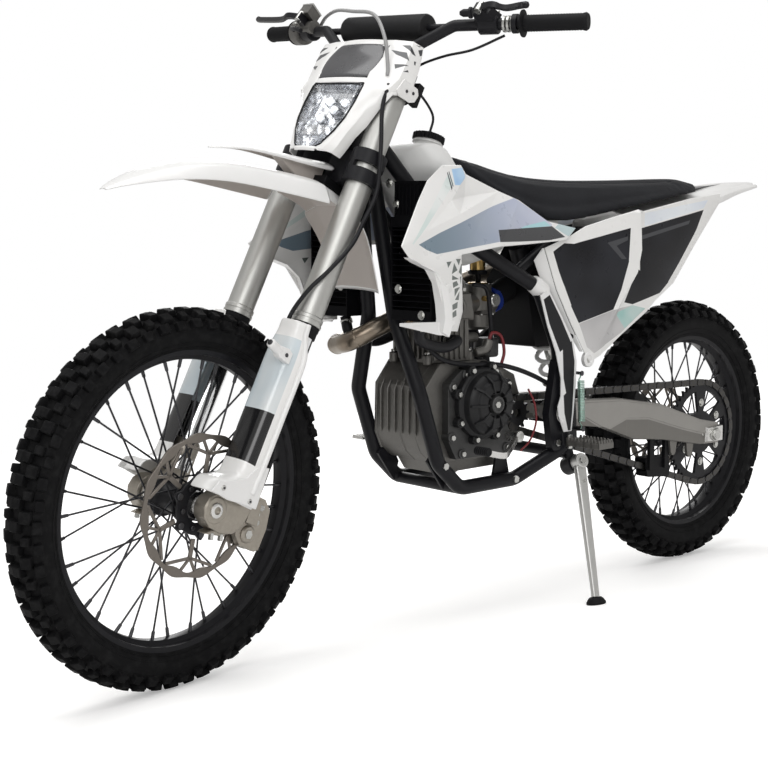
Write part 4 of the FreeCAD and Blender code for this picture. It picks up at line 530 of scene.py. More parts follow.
def plastics():
    plasticFinish("white plastic", (0.80, 0.797, 0.79), 0.3, 0.04, coat=0.35, coatRoughness=0.12)
    plasticFinish("milky tank plastic", (0.70, 0.70, 0.69), 0.42, 0.08)
    plasticFinish("black plastic", (0.007, 0.007, 0.008), 0.45, 0.2, 1400, 0.3, specular=0.13)
    plasticFinish("gloss black", (0.008, 0.008, 0.010), 0.25, 0.0, specular=0.3)
    plasticFinish("grey plastic", (0.11, 0.11, 0.115), 0.42, 0.2)
    plasticFinish("radiator black", (0.004, 0.004, 0.005), 0.6, 0.1, specular=0.06)
    screen = keep(Finish("smoked screen", (0.03, 0.03, 0.034), 0.3, 0.0, coat=0.6, coatRoughness=0.1))
    screen.set({"Base Color": screen.mixed((0.024, 0.024, 0.028), (0.05, 0.05, 0.055), screen.noise(22, 3)),
                "Roughness": screen.noise(60) * 0.14 + 0.22})
    chrome = keep(Finish("lamp chrome", (0.55, 0.56, 0.58), 0.14, 1.0))
    chrome.set({"Roughness": chrome.noise(80) * 0.1 + 0.08})
    spot = keep(Finish("lit spot", (0.95, 0.97, 1.0), 0.3, 0.0, glow=(0.92, 0.96, 1.0, 1.0), glowPower=0.9))
    spot.set({"Roughness": spot.noise(90) * 0.1 + 0.25})


rubberFinish()
metals()
plastics()
print("finishes are mixed")


# every solid that stays as it is takes a finish from here, or its piece below replaces it
nodeFinishes = {
    "frame": "frame paint", "swingarm": "swingarm alloy", "rear_axle": "bolt steel", "rear_caliper": "dark cast alloy",
    "shock": "black anodised", "engine": "cast alloy", "engine_covers": "dark cast alloy",
    "header_pipe": "heated steel",
    "silencer": "silencer skin", "radiators": "radiator black", "hoses": "rubber hose", "tank": "milky tank plastic",
    "tank_cap": "black plastic", "airbox": "black plastic", "carburettor": "cast alloy", "seat_pad": "black plastic",
    "shrouds": "white plastic", "side_panels": "white plastic", "rear_fender": "white plastic",
    "frame_guards": "black plastic",
    "footpegs": "cast alloy", "foot_controls": "machined alloy", "stand_spring": "zinc spring", "chain": "chain steel",
    "chain_guide": "black plastic", "front_sprocket": "dark bolt steel", "fork_outer_tubes": "fork tube",
    "fork_lower_legs": "leg alloy", "fork_clamps": "black anodised", "fork_guards": "white plastic",
    "handlebar": "black anodised", "bar_pad": "black plastic", "grips": "soft black rubber",
    "hand_controls": "black anodised",
    "headlight_mask": "white plastic", "headlight": "lamp chrome", "front_caliper": "dark cast alloy",
    "front_axle": "bolt steel", "control_lines": "rubber hose", "front_fender": "white plastic",
    "front_hub": "black hub",
    "front_rim": "black rim", "front_tyre": "tyre rubber", "front_brake_disc": "disc steel", "rear_hub": "black hub",
    "rear_rim": "black rim", "rear_tyre": "tyre rubber", "rear_brake_disc": "disc steel",
    "rear_sprocket": "black anodised",
    "side_stand": "machined alloy",
}
for nodeName, finishName in nodeFinishes.items():
    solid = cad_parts[nodeName]
    solid.data.materials.clear()
    solid.data.materials.append(finishes[finishName])


# wheels; a carcass runs from the bead to the middle of the tread, as (radius, distance from the middle)
wheelSizes = {
    "front": {
        "carcass": [(0.2665, 0.0225), (0.272, 0.0262), (0.280, 0.0315), (0.291, 0.0352), (0.302, 0.0362),
                    (0.3115, 0.0345), (0.3195, 0.029), (0.3255, 0.0195), (0.3288, 0.009), (0.3296, 0.0)],
        "pitches": 28, "rim": 0.266, "rimHalf": 0.024, "rimDeep": 0.2535, "hub": 0.026, "hubHalf": 0.034,
        "flange": 0.036, "flangeWide": 0.007, "spokes": 36, "shift": 0.0045, "hubEnds": (0.0585, 0.044),
        # place along the outline (0 middle, 1 bead), length round the tyre, width, height, shift round it in pitches
        "knobs": [(0.055, 0.019, 0.0165, 0.0125, 0.0), (0.075, 0.017, 0.0155, 0.0125, 0.5),
                  (0.245, 0.021, 0.0165, 0.0125, 0.22), (0.255, 0.015, 0.013, 0.0120, 0.70),
                  (0.425, 0.021, 0.0135, 0.0105, 0.0), (0.440, 0.018, 0.0125, 0.0090, 0.5)],
    },
    "rear": {
        "carcass": [(0.2295, 0.0305), (0.235, 0.0345), (0.244, 0.0405), (0.256, 0.0450), (0.268, 0.0462),
                    (0.279, 0.0440), (0.289, 0.0375), (0.2975, 0.0255), (0.3025, 0.012), (0.3038, 0.0)],
        "pitches": 24, "rim": 0.229, "rimHalf": 0.032, "rimDeep": 0.2175, "hub": 0.026, "hubHalf": 0.042,
        "flange": 0.036, "flangeWide": 0.007, "spokes": 36, "shift": 0.0045, "hubEnds": (0.0600, 0.056),
        "knobs": [(0.07, 0.021, 0.020, 0.0140, 0.0), (0.10, 0.017, 0.018, 0.0140, 0.5),
                  (0.265, 0.023, 0.020, 0.0135, 0.25), (0.275, 0.017, 0.016, 0.0130, 0.75),
                  (0.435, 0.024, 0.016, 0.0115, 0.0), (0.450, 0.020, 0.0145, 0.0100, 0.5)],
    },
}


# a point at a share of the way from the middle of the tread to the bead, and the outward direction there
def onOutline(outline, share):
    line = [Vector((y, r)) for r, y in outline[::-1]]
    spans = [(b - a).length for a, b in zip(line, line[1:])]
    left = max(0.0, min(1.0, share)) * sum(spans)
    for a, b, span in zip(line, line[1:], spans):
        if left <= span:
            run = (b - a) / span
            return a + run * left, Vector((-run.y, run.x))
        left -= span
    return line[-1], Vector((1, 0))


def knob(shape, size, share, around, length, width, height, side):
    outline = smoothOutline(size["carcass"])
    total = sum((Vector(b) - Vector(a)).length for a, b in zip(outline, outline[1:]))
    rings = []
    for lift, spread in ((-0.003, 1.16), (height * 0.25, 1.08), (height, 0.88)):
        ring = []
        for along, across in ((-1, -1), (1, -1), (1, 1), (-1, 1)):
            place = share + across * width * spread / 2 / total
            base, out = onOutline(outline, abs(place))
            y = base.x * (1 if place >= 0 else -1) + out.x * lift * (1 if place >= 0 else -1)
            r = base.y + out.y * lift
            a = around + along * length * spread / 2 / base.y
            ring.append(polar(r, a, y * side))
        rings.append(ring if side > 0 else ring[::-1])
    shape.loft(rings)


def smoothOutline(outline):
    return [(p.x, p.y) for p in smooth([Vector((r, y, 0)) for r, y in outline], 3)]


def tyre(name, size, body, node):
    half = smoothOutline(size["carcass"])
    profile = half + [(r, -y) for r, y in half[-2::-1]]
    inner = [(half[0][0] - 0.002, -half[0][1] + 0.004), (half[0][0] - 0.002, half[0][1] - 0.004)]
    shape = Shape().lathe(profile + inner, 168, closed=True)
    # thin rings pressed into the side wall
    for down in (0.30, 0.62):
        at = onOutline(half, 1 - down * 0.35)[0]
        for side in (1, -1):
            ring = [(at.y + sin(fullTurn * k / 6) * 0.0011, side * (at.x + cos(fullTurn * k / 6) * 0.0011))
                    for k in range(6)]
            shape.lathe(ring, 120, closed=True)
    fit(name, shape, body, ["tyre rubber"], [node], sharp=40)
    blocks = Shape()
    for pitch in range(size["pitches"]):
        for share, length, width, height, shift in size["knobs"]:
            for side in (1, -1):
                shifted = shift + (0.5 if side < 0 else 0)
                around = fullTurn * (pitch + shifted) / size["pitches"]
                knob(blocks, size, share, around, length, width, height, side)
    fit(name + " knobs", blocks, body, ["tyre rubber"], bevel=0.0012, bevelSteps=1)


def rim(name, size, body, node):
    r, half, deep = size["rim"], size["rimHalf"], size["rimDeep"]
    outside = [(r + 0.006, -half), (r + 0.0085, -half + 0.0015), (r + 0.006, -half + 0.004), (r - 0.004, -half + 0.005),
               (deep + 0.009, -half * 0.52), (deep + 0.001, -half * 0.30), (deep, 0.0)]
    under = [(deep - 0.004, 0.0), (deep - 0.0025, -half * 0.34), (deep + 0.006, -half * 0.60),
             (r - 0.006, -half + 0.0015), (r + 0.002, -half - 0.0002)]
    profile = outside + [(a, -b) for a, b in outside[-2::-1]] + [(a, -b) for a, b in under[::-1]] + under[1:]
    shape = Shape().lathe(profile, 144, closed=True)
    fit(name, shape, body, ["black rim"], [node], sharp=28)
    laced = Shape()
    nuts = Shape()
    count = size["spokes"]
    for i in range(count):
        side = 1 if i % 2 else -1
        lead = 1 if (i // 2) % 2 else -1
        rimAngle = fullTurn * (i + 0.5) / count
        hubAngle = rimAngle - lead * radians(62)
        y = side * (size["hubHalf"] - size["flangeWide"] * (0.2 if lead > 0 else 0.8))
        start = Vector(polar(size["flange"] * 0.86, hubAngle, y))
        end = Vector(polar(deep - 0.003, rimAngle, side * size["shift"]))
        run = (end - start).normalized()
        laced.tube([start, end], 0.0018, 8)
        nuts.tube([end - run * 0.017, end - run * 0.015, end + run * 0.004], [0.0020, 0.0031, 0.0034], 8)
        laced.rod(start - run * 0.004, start + run * 0.003, 0.0030, 8)
    fit(name + " spokes", laced, body, ["dark spoke steel"], sharp=50)
    fit(name + " nipples", nuts, body, ["dark bolt steel"], sharp=50)


def hub(name, size, body, node, ends):
    half, flange, wide, r = size["hubHalf"], size["flange"], size["flangeWide"], size["hub"]
    middle = [(r * 0.86, 0.0), (r * 0.9, half * 0.30), (r * 1.08, half * 0.62), (flange * 0.92, half - wide),
              (flange, half - wide + 0.0012), (flange, half - 0.0012), (flange - 0.0015, half), (r, half + 0.0005),
              (r * 0.92, ends[0]), (0.0125, ends[0])]
    other = [(a, -b) for a, b in middle[1:8]] + [(r * 0.92, -ends[1]), (0.0125, -ends[1])]
    shape = Shape().lathe(other[::-1] + middle, 64, closed=True)
    fit(name, shape, body, ["black hub"], [node], bevel=0.0005, sharp=35)


# a flat ring between two closed lines of (radius, angle)
def flatRing(outside, hole, near, far):
    rings = [[polar(r, a, y) for r, a in row] for row, y in ((outside, near), (outside, far), (hole, far),
                                                             (hole, near))]
    return Shape().loft(rings, closed=True)


# a brake disc whose waves and openings repeat round it
def disc(name, body, node, plane, outer, waves, thick, bolts, boltRing, inner, finish):
    turns = [fullTurn * i / (waves * 12) for i in range(waves * 12)]
    band = [(outer - 0.0042 * (0.5 - 0.5 * cos(waves * a)) ** 0.8, a) for a in turns]
    within = [(outer - 0.0150 - 0.0030 * cos(waves * a), a) for a in turns]
    shape = flatRing(band, within, plane - thick / 2, plane + thick / 2)
    for k in range(0, waves, 2):
        a = fullTurn * (k + 0.5) / waves
        apex = outer - 0.038
        # a stem, two short legs to the band and two long ones to the waves beside
        for near, far, turn, half in ((boltRing + 0.006, apex + 0.002, 0.0, 0.0042),
                                      (apex, outer - 0.015, 0.14, 0.0026), (apex, outer - 0.015, -0.14, 0.0026),
                                      (apex, outer - 0.014, 0.47, 0.0028), (apex, outer - 0.014, -0.47, 0.0028)):
            start, end = Vector(polar(near, a)), Vector(polar(far, a + turn))
            side = Vector((start.z - end.z, 0, end.x - start.x)).normalized() * half
            corners = [start - side, start + side, end + side, end - side]
            shape.slab([(c.x, c.z) for c in corners], plane - thick / 2, plane + thick / 2)
    fit(name, shape, body, ["disc steel"], [node], bevel=0.0006, bevelSteps=1)
    turns = [fullTurn * i / 144 for i in range(144)]
    arms = [(boltRing + 0.010 * max(0.0, cos(bolts * a)) ** 3, a) for a in turns]
    carrier = flatRing(arms, [(inner, a) for a in turns], plane - thick * 0.7, plane + thick * 0.7)
    side = 1 if plane > 0 else -1
    heads = Shape()
    for k in range(bolts):
        a = fullTurn * k / bolts
        c = Vector(polar(boltRing, a, plane))
        heads.rod(c - Vector((0, side * thick, 0)), c + Vector((0, side * thick * 1.35, 0)), 0.0062, 20, chamfer=0.0008)
        b = Vector(polar(boltRing * 0.78, a + 0.5, plane))
        heads.rod(b, b + Vector((0, side * thick * 1.6, 0)), 0.0048, 6, chamfer=0.0006)
    fit(name + " carrier", carrier, body, [finish], bevel=0.0006, bevelSteps=1)
    fit(name + " bolts", heads, body, ["dark bolt steel"])


for end in ("front", "rear"):
    tyre(end + " tyre carcass", wheelSizes[end], end + "_wheel", end + "_tyre")
for end in ("front", "rear"):
    rim(end + " rim", wheelSizes[end], end + "_wheel", end + "_rim")
for end in ("front", "rear"):
    hub(end + " hub barrel", wheelSizes[end], end + "_wheel", end + "_hub", wheelSizes[end]["hubEnds"])
disc("front disc", "front_wheel", "front_brake_disc", 0.062, 0.130, 12, 0.004, 6, 0.052, 0.030, "black anodised")
disc("rear disc", "rear_wheel", "rear_brake_disc", -0.060, 0.112, 12, 0.004, 6, 0.050, 0.030, "black anodised")
print("wheels are laced and shod")


# fork, fender and mask, drawn with x ahead of the steering axis and z up along it
fork = {"x": 0.024, "y": 0.091, "outer": 0.026, "low": 0.372, "top": 0.905, "axle": 0.080}


def alongFork(shape, steps, slot=0, sides=48, side=1):
    return shape.tube([(fork["x"], fork["y"] * side, z) for z, r in steps], [r for z, r in steps], sides, slot)


def forkTubes():
    shape = Shape()
    low, r = fork["low"], fork["outer"]
    steps = [(low, 0.0236), (low + 0.0004, 0.0282), (low + 0.006, 0.0284), (low + 0.0064, 0.0270),
             (low + 0.010, 0.0270), (low + 0.0104, 0.0282), (low + 0.0165, 0.0280), (low + 0.0185, r), (0.650, r),
             (fork["top"], r)]
    for side in (1, -1):
        alongFork(shape, steps, 0, 56, side)
        alongFork(shape, [(0.905, 0.0262), (0.9125, 0.0262), (0.9135, 0.0250), (0.9136, 0.012)], 1, 6, side)
        alongFork(shape, [(0.350, 0.0232), (0.3502, 0.0252), (0.352, 0.0256), (0.362, 0.0256), (0.3655, 0.0268),
                          (low, 0.0268)],
                  2, 40, side)
    fit("fork outer tubes", shape, "steering", ["fork tube", "machined alloy", "soft black rubber"],
        ["fork_outer_tubes"], sharp=34)


# the axle lug at the foot of a leg, with its pinch bolts and ribs
def forkLegs():
    lug = Shape()
    tube = Shape()
    bolts = Shape()
    for side in (1, -1):
        y = fork["y"] * side
        alongFork(tube, [(0.060, 0.0229), (0.430, 0.0229)], 0, 40, side)
        outline = [(0.001, 0.098), (-0.001, 0.030), (0.004, -0.004), (0.022, -0.026), (0.052, -0.034), (0.080, -0.031),
                   (0.098, -0.020), (0.107, -0.002), (0.103, 0.016), (0.092, 0.028), (0.072, 0.036), (0.058, 0.052),
                   (0.049, 0.078), (0.047, 0.100)]
        lug.slab(outline, y - 0.0145 * side, y + 0.0145 * side)
        lug.tube([(0.024, y, 0.084), (0.024, y, 0.092), (0.024, y, 0.112), (0.024, y, 0.118)],
                 [0.0245, 0.0262, 0.0262, 0.0236], 40)
        lug.boss(fork["axle"], 0, y - side * 0.0146, y + side * 0.0158, [0.0265, 0.0245], 40)
        lug.slab([(0.030, -0.020), (0.070, -0.034), (0.082, -0.044), (0.040, -0.036)], y - 0.012 * side,
                 y + 0.012 * side)
        for x, z in ((0.044, -0.038), (0.066, -0.043)):
            bolts.rod((x, y + 0.009 * side, z + 0.006), (x - 0.004, y + 0.009 * side, z - 0.006), 0.0052, 6,
                      chamfer=0.0008)
    fit("fork lower legs", tube, "steering", ["chromed tube"], ["fork_lower_legs"], sharp=40)
    fit("fork lugs", lug, "steering", ["leg alloy"], bevel=0.0022)
    fit("lug bolts", bolts, "steering", ["bolt steel"])
    ends = Shape()
    x = fork["axle"]
    for side in (1, -1):
        y = side * 0.106
        ends.lathe([(0.0072, y - side * 0.012), (0.0072, y + side * 0.0045), (0.0105, y + side * 0.0045),
                    (0.0135, y + side * 0.003), (0.0142, y), (0.0142, y - side * 0.006)], 40, 0, move(x, 0, 0), True)
        ends.lathe([(0.0102, side * 0.036), (0.0175, side * 0.036), (0.0185, side * 0.040), (0.0185, side * 0.074),
                    (0.0102, side * 0.076)], 40, 0, move(x, 0, 0), True)
    ends.lathe([(0.0071, -0.11), (0.0099, -0.11), (0.0099, 0.11), (0.0071, 0.11)], 32, 0, move(x, 0, 0), True)
    fit("front axle", ends, "steering", ["machined alloy"], ["front_axle"])


def guardFinish():
    made = keep(Finish("fork guard plastic", paintWhite, 0.3, coat=0.4, coatRoughness=0.1))
    # the sticker runs down between the front edge and the rail
    up = made.z
    band = made.inside(made.x, up, [(0.050, 0.095), (0.090, 0.100), (0.080, 0.335), (0.048, 0.335)])
    foil = made.ramp(made.noise(7, 3, 0.6, made.stretched(1, 1, 0.35)) + up * 0.6,
                     [(0.30, (0.44, 0.50, 0.58)), (0.85, (0.70, 0.72, 0.72)), (0.46, (0.60, 0.60, 0.67)),
                      (0.60, (0.50, 0.60, 0.66))])
    dark = up.step(0.1935, 0.1925)
    sticker = made.mixed(foil, (0.008, 0.008, 0.009), dark)
    on = band.step(0.0, 0.0008)
    grime = made.noise(30, 4).step(0.5, 0.8) * 0.08
    white = made.mixed(paintWhite, (0.60, 0.60, 0.60), grime)
    made.set({"Base Color": made.mixed(white, sticker, on), "Roughness": on * -0.1 + 0.3})


# guard outline round a leg at several heights: z, then ahead and out from the leg's middle
guardRows = [
    (0.024, (0.104, -0.021), (0.103, 0.021), (0.050, 0.034), (0.014, 0.034), (-0.010, 0.031)),
    (0.049, (0.094, -0.021), (0.092, 0.021), (0.048, 0.035), (0.014, 0.035), (-0.010, 0.031)),
    (0.058, (0.072, -0.022), (0.070, 0.021), (0.040, 0.036), (0.014, 0.036), (-0.009, 0.031)),
    (0.070, (0.055, -0.022), (0.053, 0.022), (0.032, 0.036), (0.014, 0.036), (-0.008, 0.032)),
    (0.090, (0.050, -0.022), (0.046, 0.022), (0.026, 0.036), (0.012, 0.036), (-0.006, 0.032)),
    (0.200, (0.048, -0.023), (0.044, 0.022), (0.024, 0.035), (0.012, 0.037), (-0.006, 0.032)),
    (0.295, (0.048, -0.023), (0.044, 0.022), (0.024, 0.035), (0.012, 0.037), (-0.006, 0.032)),
    (0.325, (0.046, -0.021), (0.042, 0.019), (0.028, 0.031), (0.018, 0.033), (0.006, 0.033)),
    (0.345, (0.044, -0.019), (0.040, 0.015), (0.030, 0.026), (0.024, 0.030), (0.020, 0.031)),
    (0.367, (0.046, -0.017), (0.042, 0.015), (0.033, 0.026), (0.027, 0.030), (0.022, 0.031)),
]


def forkGuards():
    shape = Shape()
    rail = Shape()
    for side in (1, -1):
        rings = []
        for z, *corners in guardRows:
            line = smooth([(fork["x"] + x, (fork["y"] + y) * side, z) for x, y in corners], 3)
            rings.append(line if side > 0 else line[::-1])
        shape.loft(between(rings, 3), round=False)
        edge = []
        for z, *corners in guardRows[1:]:
            x, y = corners[3]
            edge.append((fork["x"] + x - 0.004, (fork["y"] + y + 0.0005) * side, z))
        rail.tube(smooth(edge, 4), 0.0058, 10)
        low = [(0.110, 0.024), (0.127, 0.024), (0.118, 0.047), (0.085, 0.058), (0.060, 0.072), (0.044, 0.098),
               (0.016, 0.104), (0.012, 0.028), (0.050, 0.026), (0.085, 0.022)]
        rail.slab(low, side * 0.1245, side * 0.1285)
    fit("fork guards", shape, "steering", ["fork guard plastic"], ["fork_guards"], thick=0.0028, subdivide=1)
    fit("guard rails", rail, "steering", ["white plastic"], bevel=0.0016, sharp=40)
    bolts = Shape()
    for side in (1, -1):
        for x, z in ((0.032, 0.088), (0.104, 0.038), (0.034, 0.036)):
            bolts.boss(x, z, side * 0.126, side * 0.1305, 0.0048, 20, chamfer=0.0010)
            bolts.boss(x, z, side * 0.1300, side * 0.1312, 0.0024, 6, 1)
    fit("guard bolts", bolts, "steering", ["bolt steel", "dark bolt steel"])
    # the small hose clamp on the near guard
    clamp = Shape().slab([(0.062, 0.284), (0.090, 0.286), (0.098, 0.293), (0.096, 0.306), (0.072, 0.309),
                          (0.062, 0.304)], 0.112, 0.127)
    clamp.rod((0.088, 0.119, 0.297), (0.119, 0.122, 0.302), 0.0088, 20, chamfer=0.002)
    clamp.rod((0.118, 0.1220, 0.3018), (0.1215, 0.1222, 0.3022), 0.0052, 12, 1)
    clamp.boss(0.076, 0.296, 0.126, 0.129, 0.0042, 6, 1)
    fit("hose clamp", clamp, "steering", ["white plastic", "dark bolt steel"], bevel=0.002)


def frontCaliper():
    shape = Shape()
    outline = [(-0.079, -0.030), (-0.070, -0.036), (-0.030, -0.036), (-0.012, -0.022), (0.001, 0.006), (-0.002, 0.046),
               (-0.016, 0.058), (-0.052, 0.058), (-0.072, 0.044), (-0.080, 0.010)]
    shape.slab(outline, 0.0655, 0.079)
    shape.slab(outline, 0.041, 0.0545)
    shape.slab([(-0.079, 0.0), (-0.066, -0.030), (-0.060, 0.050), (-0.074, 0.036)], 0.050, 0.070)
    for z in (-0.012, 0.026):
        shape.boss(-0.038, z, 0.076, 0.0835, 0.0165, 32, chamfer=0.003)
    shape.slab([(-0.030, 0.004), (0.000, 0.004), (0.000, 0.048), (-0.020, 0.048)], 0.079, 0.104)
    fit("front caliper", shape, "steering", ["leg alloy"], ["front_caliper"], bevel=0.0022)
    bolts = Shape()
    for x, z in ((-0.018, 0.040), (-0.018, 0.012)):
        bolts.rod((x - 0.022, 0.092, z), (x + 0.012, 0.092, z), 0.0058, 6, chamfer=0.001)
    for z in (-0.012, 0.026):
        bolts.boss(-0.038, z, 0.083, 0.0846, 0.0085, 6)
    fit("caliper bolts", bolts, "steering", ["bolt steel"])


# fender: x, z of the middle line, then half width and drop of the shoulder and of the edge
fenderRows = {
    "front": [(0.478, 0.4065, 0.0045, 0.0, 0.009, 0.002), (0.466, 0.424, 0.014, 0.001, 0.021, 0.006),
              (0.440, 0.4535, 0.027, 0.003, 0.037, 0.014), (0.408, 0.486, 0.037, 0.005, 0.050, 0.022),
              (0.372, 0.517, 0.046, 0.007, 0.062, 0.030), (0.336, 0.5405, 0.053, 0.009, 0.067, 0.035),
              (0.300, 0.560, 0.058, 0.010, 0.072, 0.038), (0.250, 0.5815, 0.061, 0.011, 0.077, 0.042),
              (0.200, 0.600, 0.062, 0.012, 0.081, 0.044), (0.150, 0.618, 0.064, 0.013, 0.083, 0.046),
              (0.110, 0.632, 0.066, 0.014, 0.084, 0.047), (0.078, 0.6415, 0.066, 0.014, 0.084, 0.047)],
    "middle": [(0.084, 0.6395, 0.044, 0.006, 0.060, 0.030), (0.040, 0.6435, 0.044, 0.006, 0.058, 0.030),
               (-0.004, 0.642, 0.044, 0.006, 0.058, 0.026), (-0.024, 0.634, 0.046, 0.006, 0.060, 0.022)],
    "flap": [(-0.018, 0.636, 0.046, 0.006, 0.056, 0.022), (-0.030, 0.6305, 0.052, 0.006, 0.072, 0.020),
             (-0.060, 0.6175, 0.050, 0.005, 0.071, 0.017), (-0.092, 0.5955, 0.048, 0.004, 0.067, 0.013),
             (-0.132, 0.5620, 0.045, 0.003, 0.062, 0.011), (-0.173, 0.5240, 0.043, 0.003, 0.0585, 0.009)],
}
finRows = [(0.3125, 0.5770, 0.0012, 0.001), (0.272, 0.6015, 0.010, 0.003), (0.235, 0.6215, 0.017, 0.004),
           (0.180, 0.6430, 0.022, 0.006), (0.120, 0.6640, 0.027, 0.008), (0.080, 0.6790, 0.030, 0.009),
           (0.044, 0.6935, 0.0325, 0.011)]


def bow(rows, i, edges):
    a, b = rows[max(i - 1, 0)], rows[min(i + 1, len(rows) - 1)]
    run = Vector((b[0] - a[0], 0, b[1] - a[1])).normalized()
    down = Vector((-run.z, 0, run.x))
    down = down if down.z < 0 else -down
    middle = Vector((rows[i][0], 0, rows[i][1]))
    half = [middle + Vector((0, y, 0)) + down * drop for y, drop in edges]
    return [Vector((p.x, -p.y, p.z)) for p in half[:0:-1]] + half


def fender():
    shape = Shape()
    for rows in fenderRows.values():
        rings = []
        for i, (shoulder, small, half, drop) in enumerate(row[2:] for row in rows):
            edges = [(0.0, 0.0), (shoulder * 0.5, small * 0.18), (shoulder * 0.985, small * 0.95),
                     (shoulder * 1.012, small * 1.15),
                     (shoulder + (half - shoulder) * 0.62, small + (drop - small) * 0.52),
                     (half * 0.99, small + (drop - small) * 0.93), (half, drop)]
            rings.append(bow(rows, i, edges))
        shape.loft(rings, round=False)
    # the fender's underside takes the painted shade finish, a brown grey that stands for the shade under the white
    # plastic
    fit("front fender", shape, "steering", ["white plastic", "fender painted shade"], ["front_fender"], thick=0.0026,
        subdivide=1)
    fin = Shape()
    rings = []
    for i, (half, drop) in enumerate(row[2:] for row in finRows):
        under = 0.0022 + 0.0078 * i / len(finRows)
        edges = [(0.0, 0.0), (half * 0.55, drop * 0.25), (half, drop), (half * 1.03, drop + 0.002),
                 (half * 0.97, drop + under)]
        rings.append(bow(finRows, i, edges))
    fin.loft(rings, round=False)
    # the fin's underside takes the same painted shade
    fit("fender fin", fin, "steering", ["white plastic", "fender painted shade"], thick=0.0022, subdivide=1)
    # a sheet in the painted shade finish fills the gap under the fin, where there is only shade
    web = Shape().slab([(0.170, 0.643), (0.120, 0.660), (0.046, 0.686), (0.046, 0.641), (0.110, 0.630)], -0.012, 0.012)
    fit("fender web", web, "steering", ["fender painted shade"], bevel=0.002)
    root = Shape().block((-0.018, -0.044, 0.640), (0.064, 0.044, 0.6545))
    for x in (-0.004, 0.050):
        for y in (-0.028, 0.028):
            root.rod((x, y, 0.636), (x, y, 0.6415), 0.006, 6, 1, chamfer=0.001)
    fit("fender root", root, "steering", ["black plastic", "bolt steel"], bevel=0.002)


# painted shade: white plastic in the shade under the front fender and its fin, coloured brown grey
plasticFinish("fender painted shade", (0.46, 0.42, 0.39), 0.5, 0.1)
forkTubes()
forkLegs()
guardFinish()
forkGuards()
frontCaliper()
fender()
print("fork and fender are on")


# headlight mask: z, then ahead and out at the lamp's edge, the face, the cheek and the rear edge
maskRows = [
    (0.690, (0.1005, 0.026), (0.098, 0.040), (0.085, 0.055), (0.064, 0.060)),
    (0.705, (0.0985, 0.036), (0.095, 0.049), (0.083, 0.061), (0.061, 0.064)),
    (0.737, (0.094, 0.051), (0.0905, 0.061), (0.080, 0.070), (0.057, 0.072)),
    (0.762, (0.090, 0.060), (0.088, 0.067), (0.076, 0.079), (0.055, 0.087)),
    (0.800, (0.0855, 0.0645), (0.084, 0.072), (0.072, 0.090), (0.0545, 0.102)),
    (0.830, (0.0815, 0.0655), (0.080, 0.073), (0.066, 0.102), (0.0545, 0.120)),
    (0.8435, (0.0795, 0.0645), (0.078, 0.073), (0.061, 0.115), (0.030, 0.127)),
    (0.866, (0.0765, 0.063), (0.0755, 0.074), (0.052, 0.1190), (0.018, 0.1275)),
    (0.905, (0.0655, 0.070), (0.0650, 0.077), (0.050, 0.1200), (0.019, 0.1270)),
    (0.930, (0.0590, 0.060), (0.0590, 0.078), (0.050, 0.1180), (0.022, 0.1250)),
    (0.948, (0.0570, 0.045), (0.0555, 0.078), (0.048, 0.1150), (0.026, 0.1235)),
]
shards = [
    [(0.033, 0.9235), (0.074, 0.9220), (0.087, 0.9060), (0.049, 0.9145)],
    [(0.054, 0.937), (0.075, 0.939), (0.096, 0.923), (0.087, 0.9225)],
    [(0.085, 0.9435), (0.100, 0.9480), (0.095, 0.9435)],
    [(0.095, 0.937), (0.104, 0.944), (0.107, 0.932), (0.103, 0.928)],
    [(0.095, 0.9125), (0.100, 0.9145), (0.102, 0.9065), (0.0985, 0.906)],
    [(0.055, 0.8935), (0.091, 0.8985), (0.061, 0.883)],
    [(0.080, 0.8805), (0.090, 0.8905), (0.094, 0.887)], [(0.022, 0.9335), (0.027, 0.936), (0.026, 0.9265)],
]


def maskFinish():
    made = keep(Finish("mask plastic", paintWhite, 0.3, coat=0.4, coatRoughness=0.1))
    # the wing folds back behind the face, so its stickers are measured out and back together
    across = made.y.sum("ABSOLUTE") + made.x * -0.75
    dark = None
    for shard in shards:
        deep = made.inside(across, made.z, shard).step(0.0, 0.0006)
        dark = deep if dark is None else dark.highest(deep)
    soft = made.mixed((0.785, 0.78, 0.77), (0.81, 0.807, 0.795), made.noise(10, 3))
    made.set({"Base Color": made.mixed(soft, (0.05, 0.052, 0.056), dark), "Roughness": made.noise(50) * 0.08 + 0.26})


def lampFinishes():
    glass = keep(Finish("lamp glass", (0.93, 0.95, 0.97), 0.04, 0.0, clear=1.0, refraction=1.2, alpha=0.34))
    glass.set({"Roughness": glass.noise(60) * 0.05 + 0.02,
               "Alpha": glass.cells(90, feature="DISTANCE_TO_EDGE") * 1.6 + 0.2})
    glass.bump(glass.cells(75, feature="F1"), 0.35, 0.002)
    cup = keep(Finish("lamp cup", (0.40, 0.41, 0.44), 0.2, 1.0))
    cup.set({"Base Color": cup.mixed((0.36, 0.365, 0.38), (0.80, 0.81, 0.83), cup.noise(46, 4, 0.7).step(0.26, 0.56)),
             "Roughness": cup.noise(90) * 0.2 + 0.1})
    cup.bump(cup.cells(60, feature="F1"), 0.6, 0.004)


# a strip over rows of (x, half width, z) that bows ahead in the middle
def bowed(shape, rows, count, bulge):
    rings = [[(x + bulge * (1 - (k / count) ** 2), half * k / count, z) for k in range(-count, count + 1)]
             for x, half, z in rows]
    return shape.loft(rings, round=False)


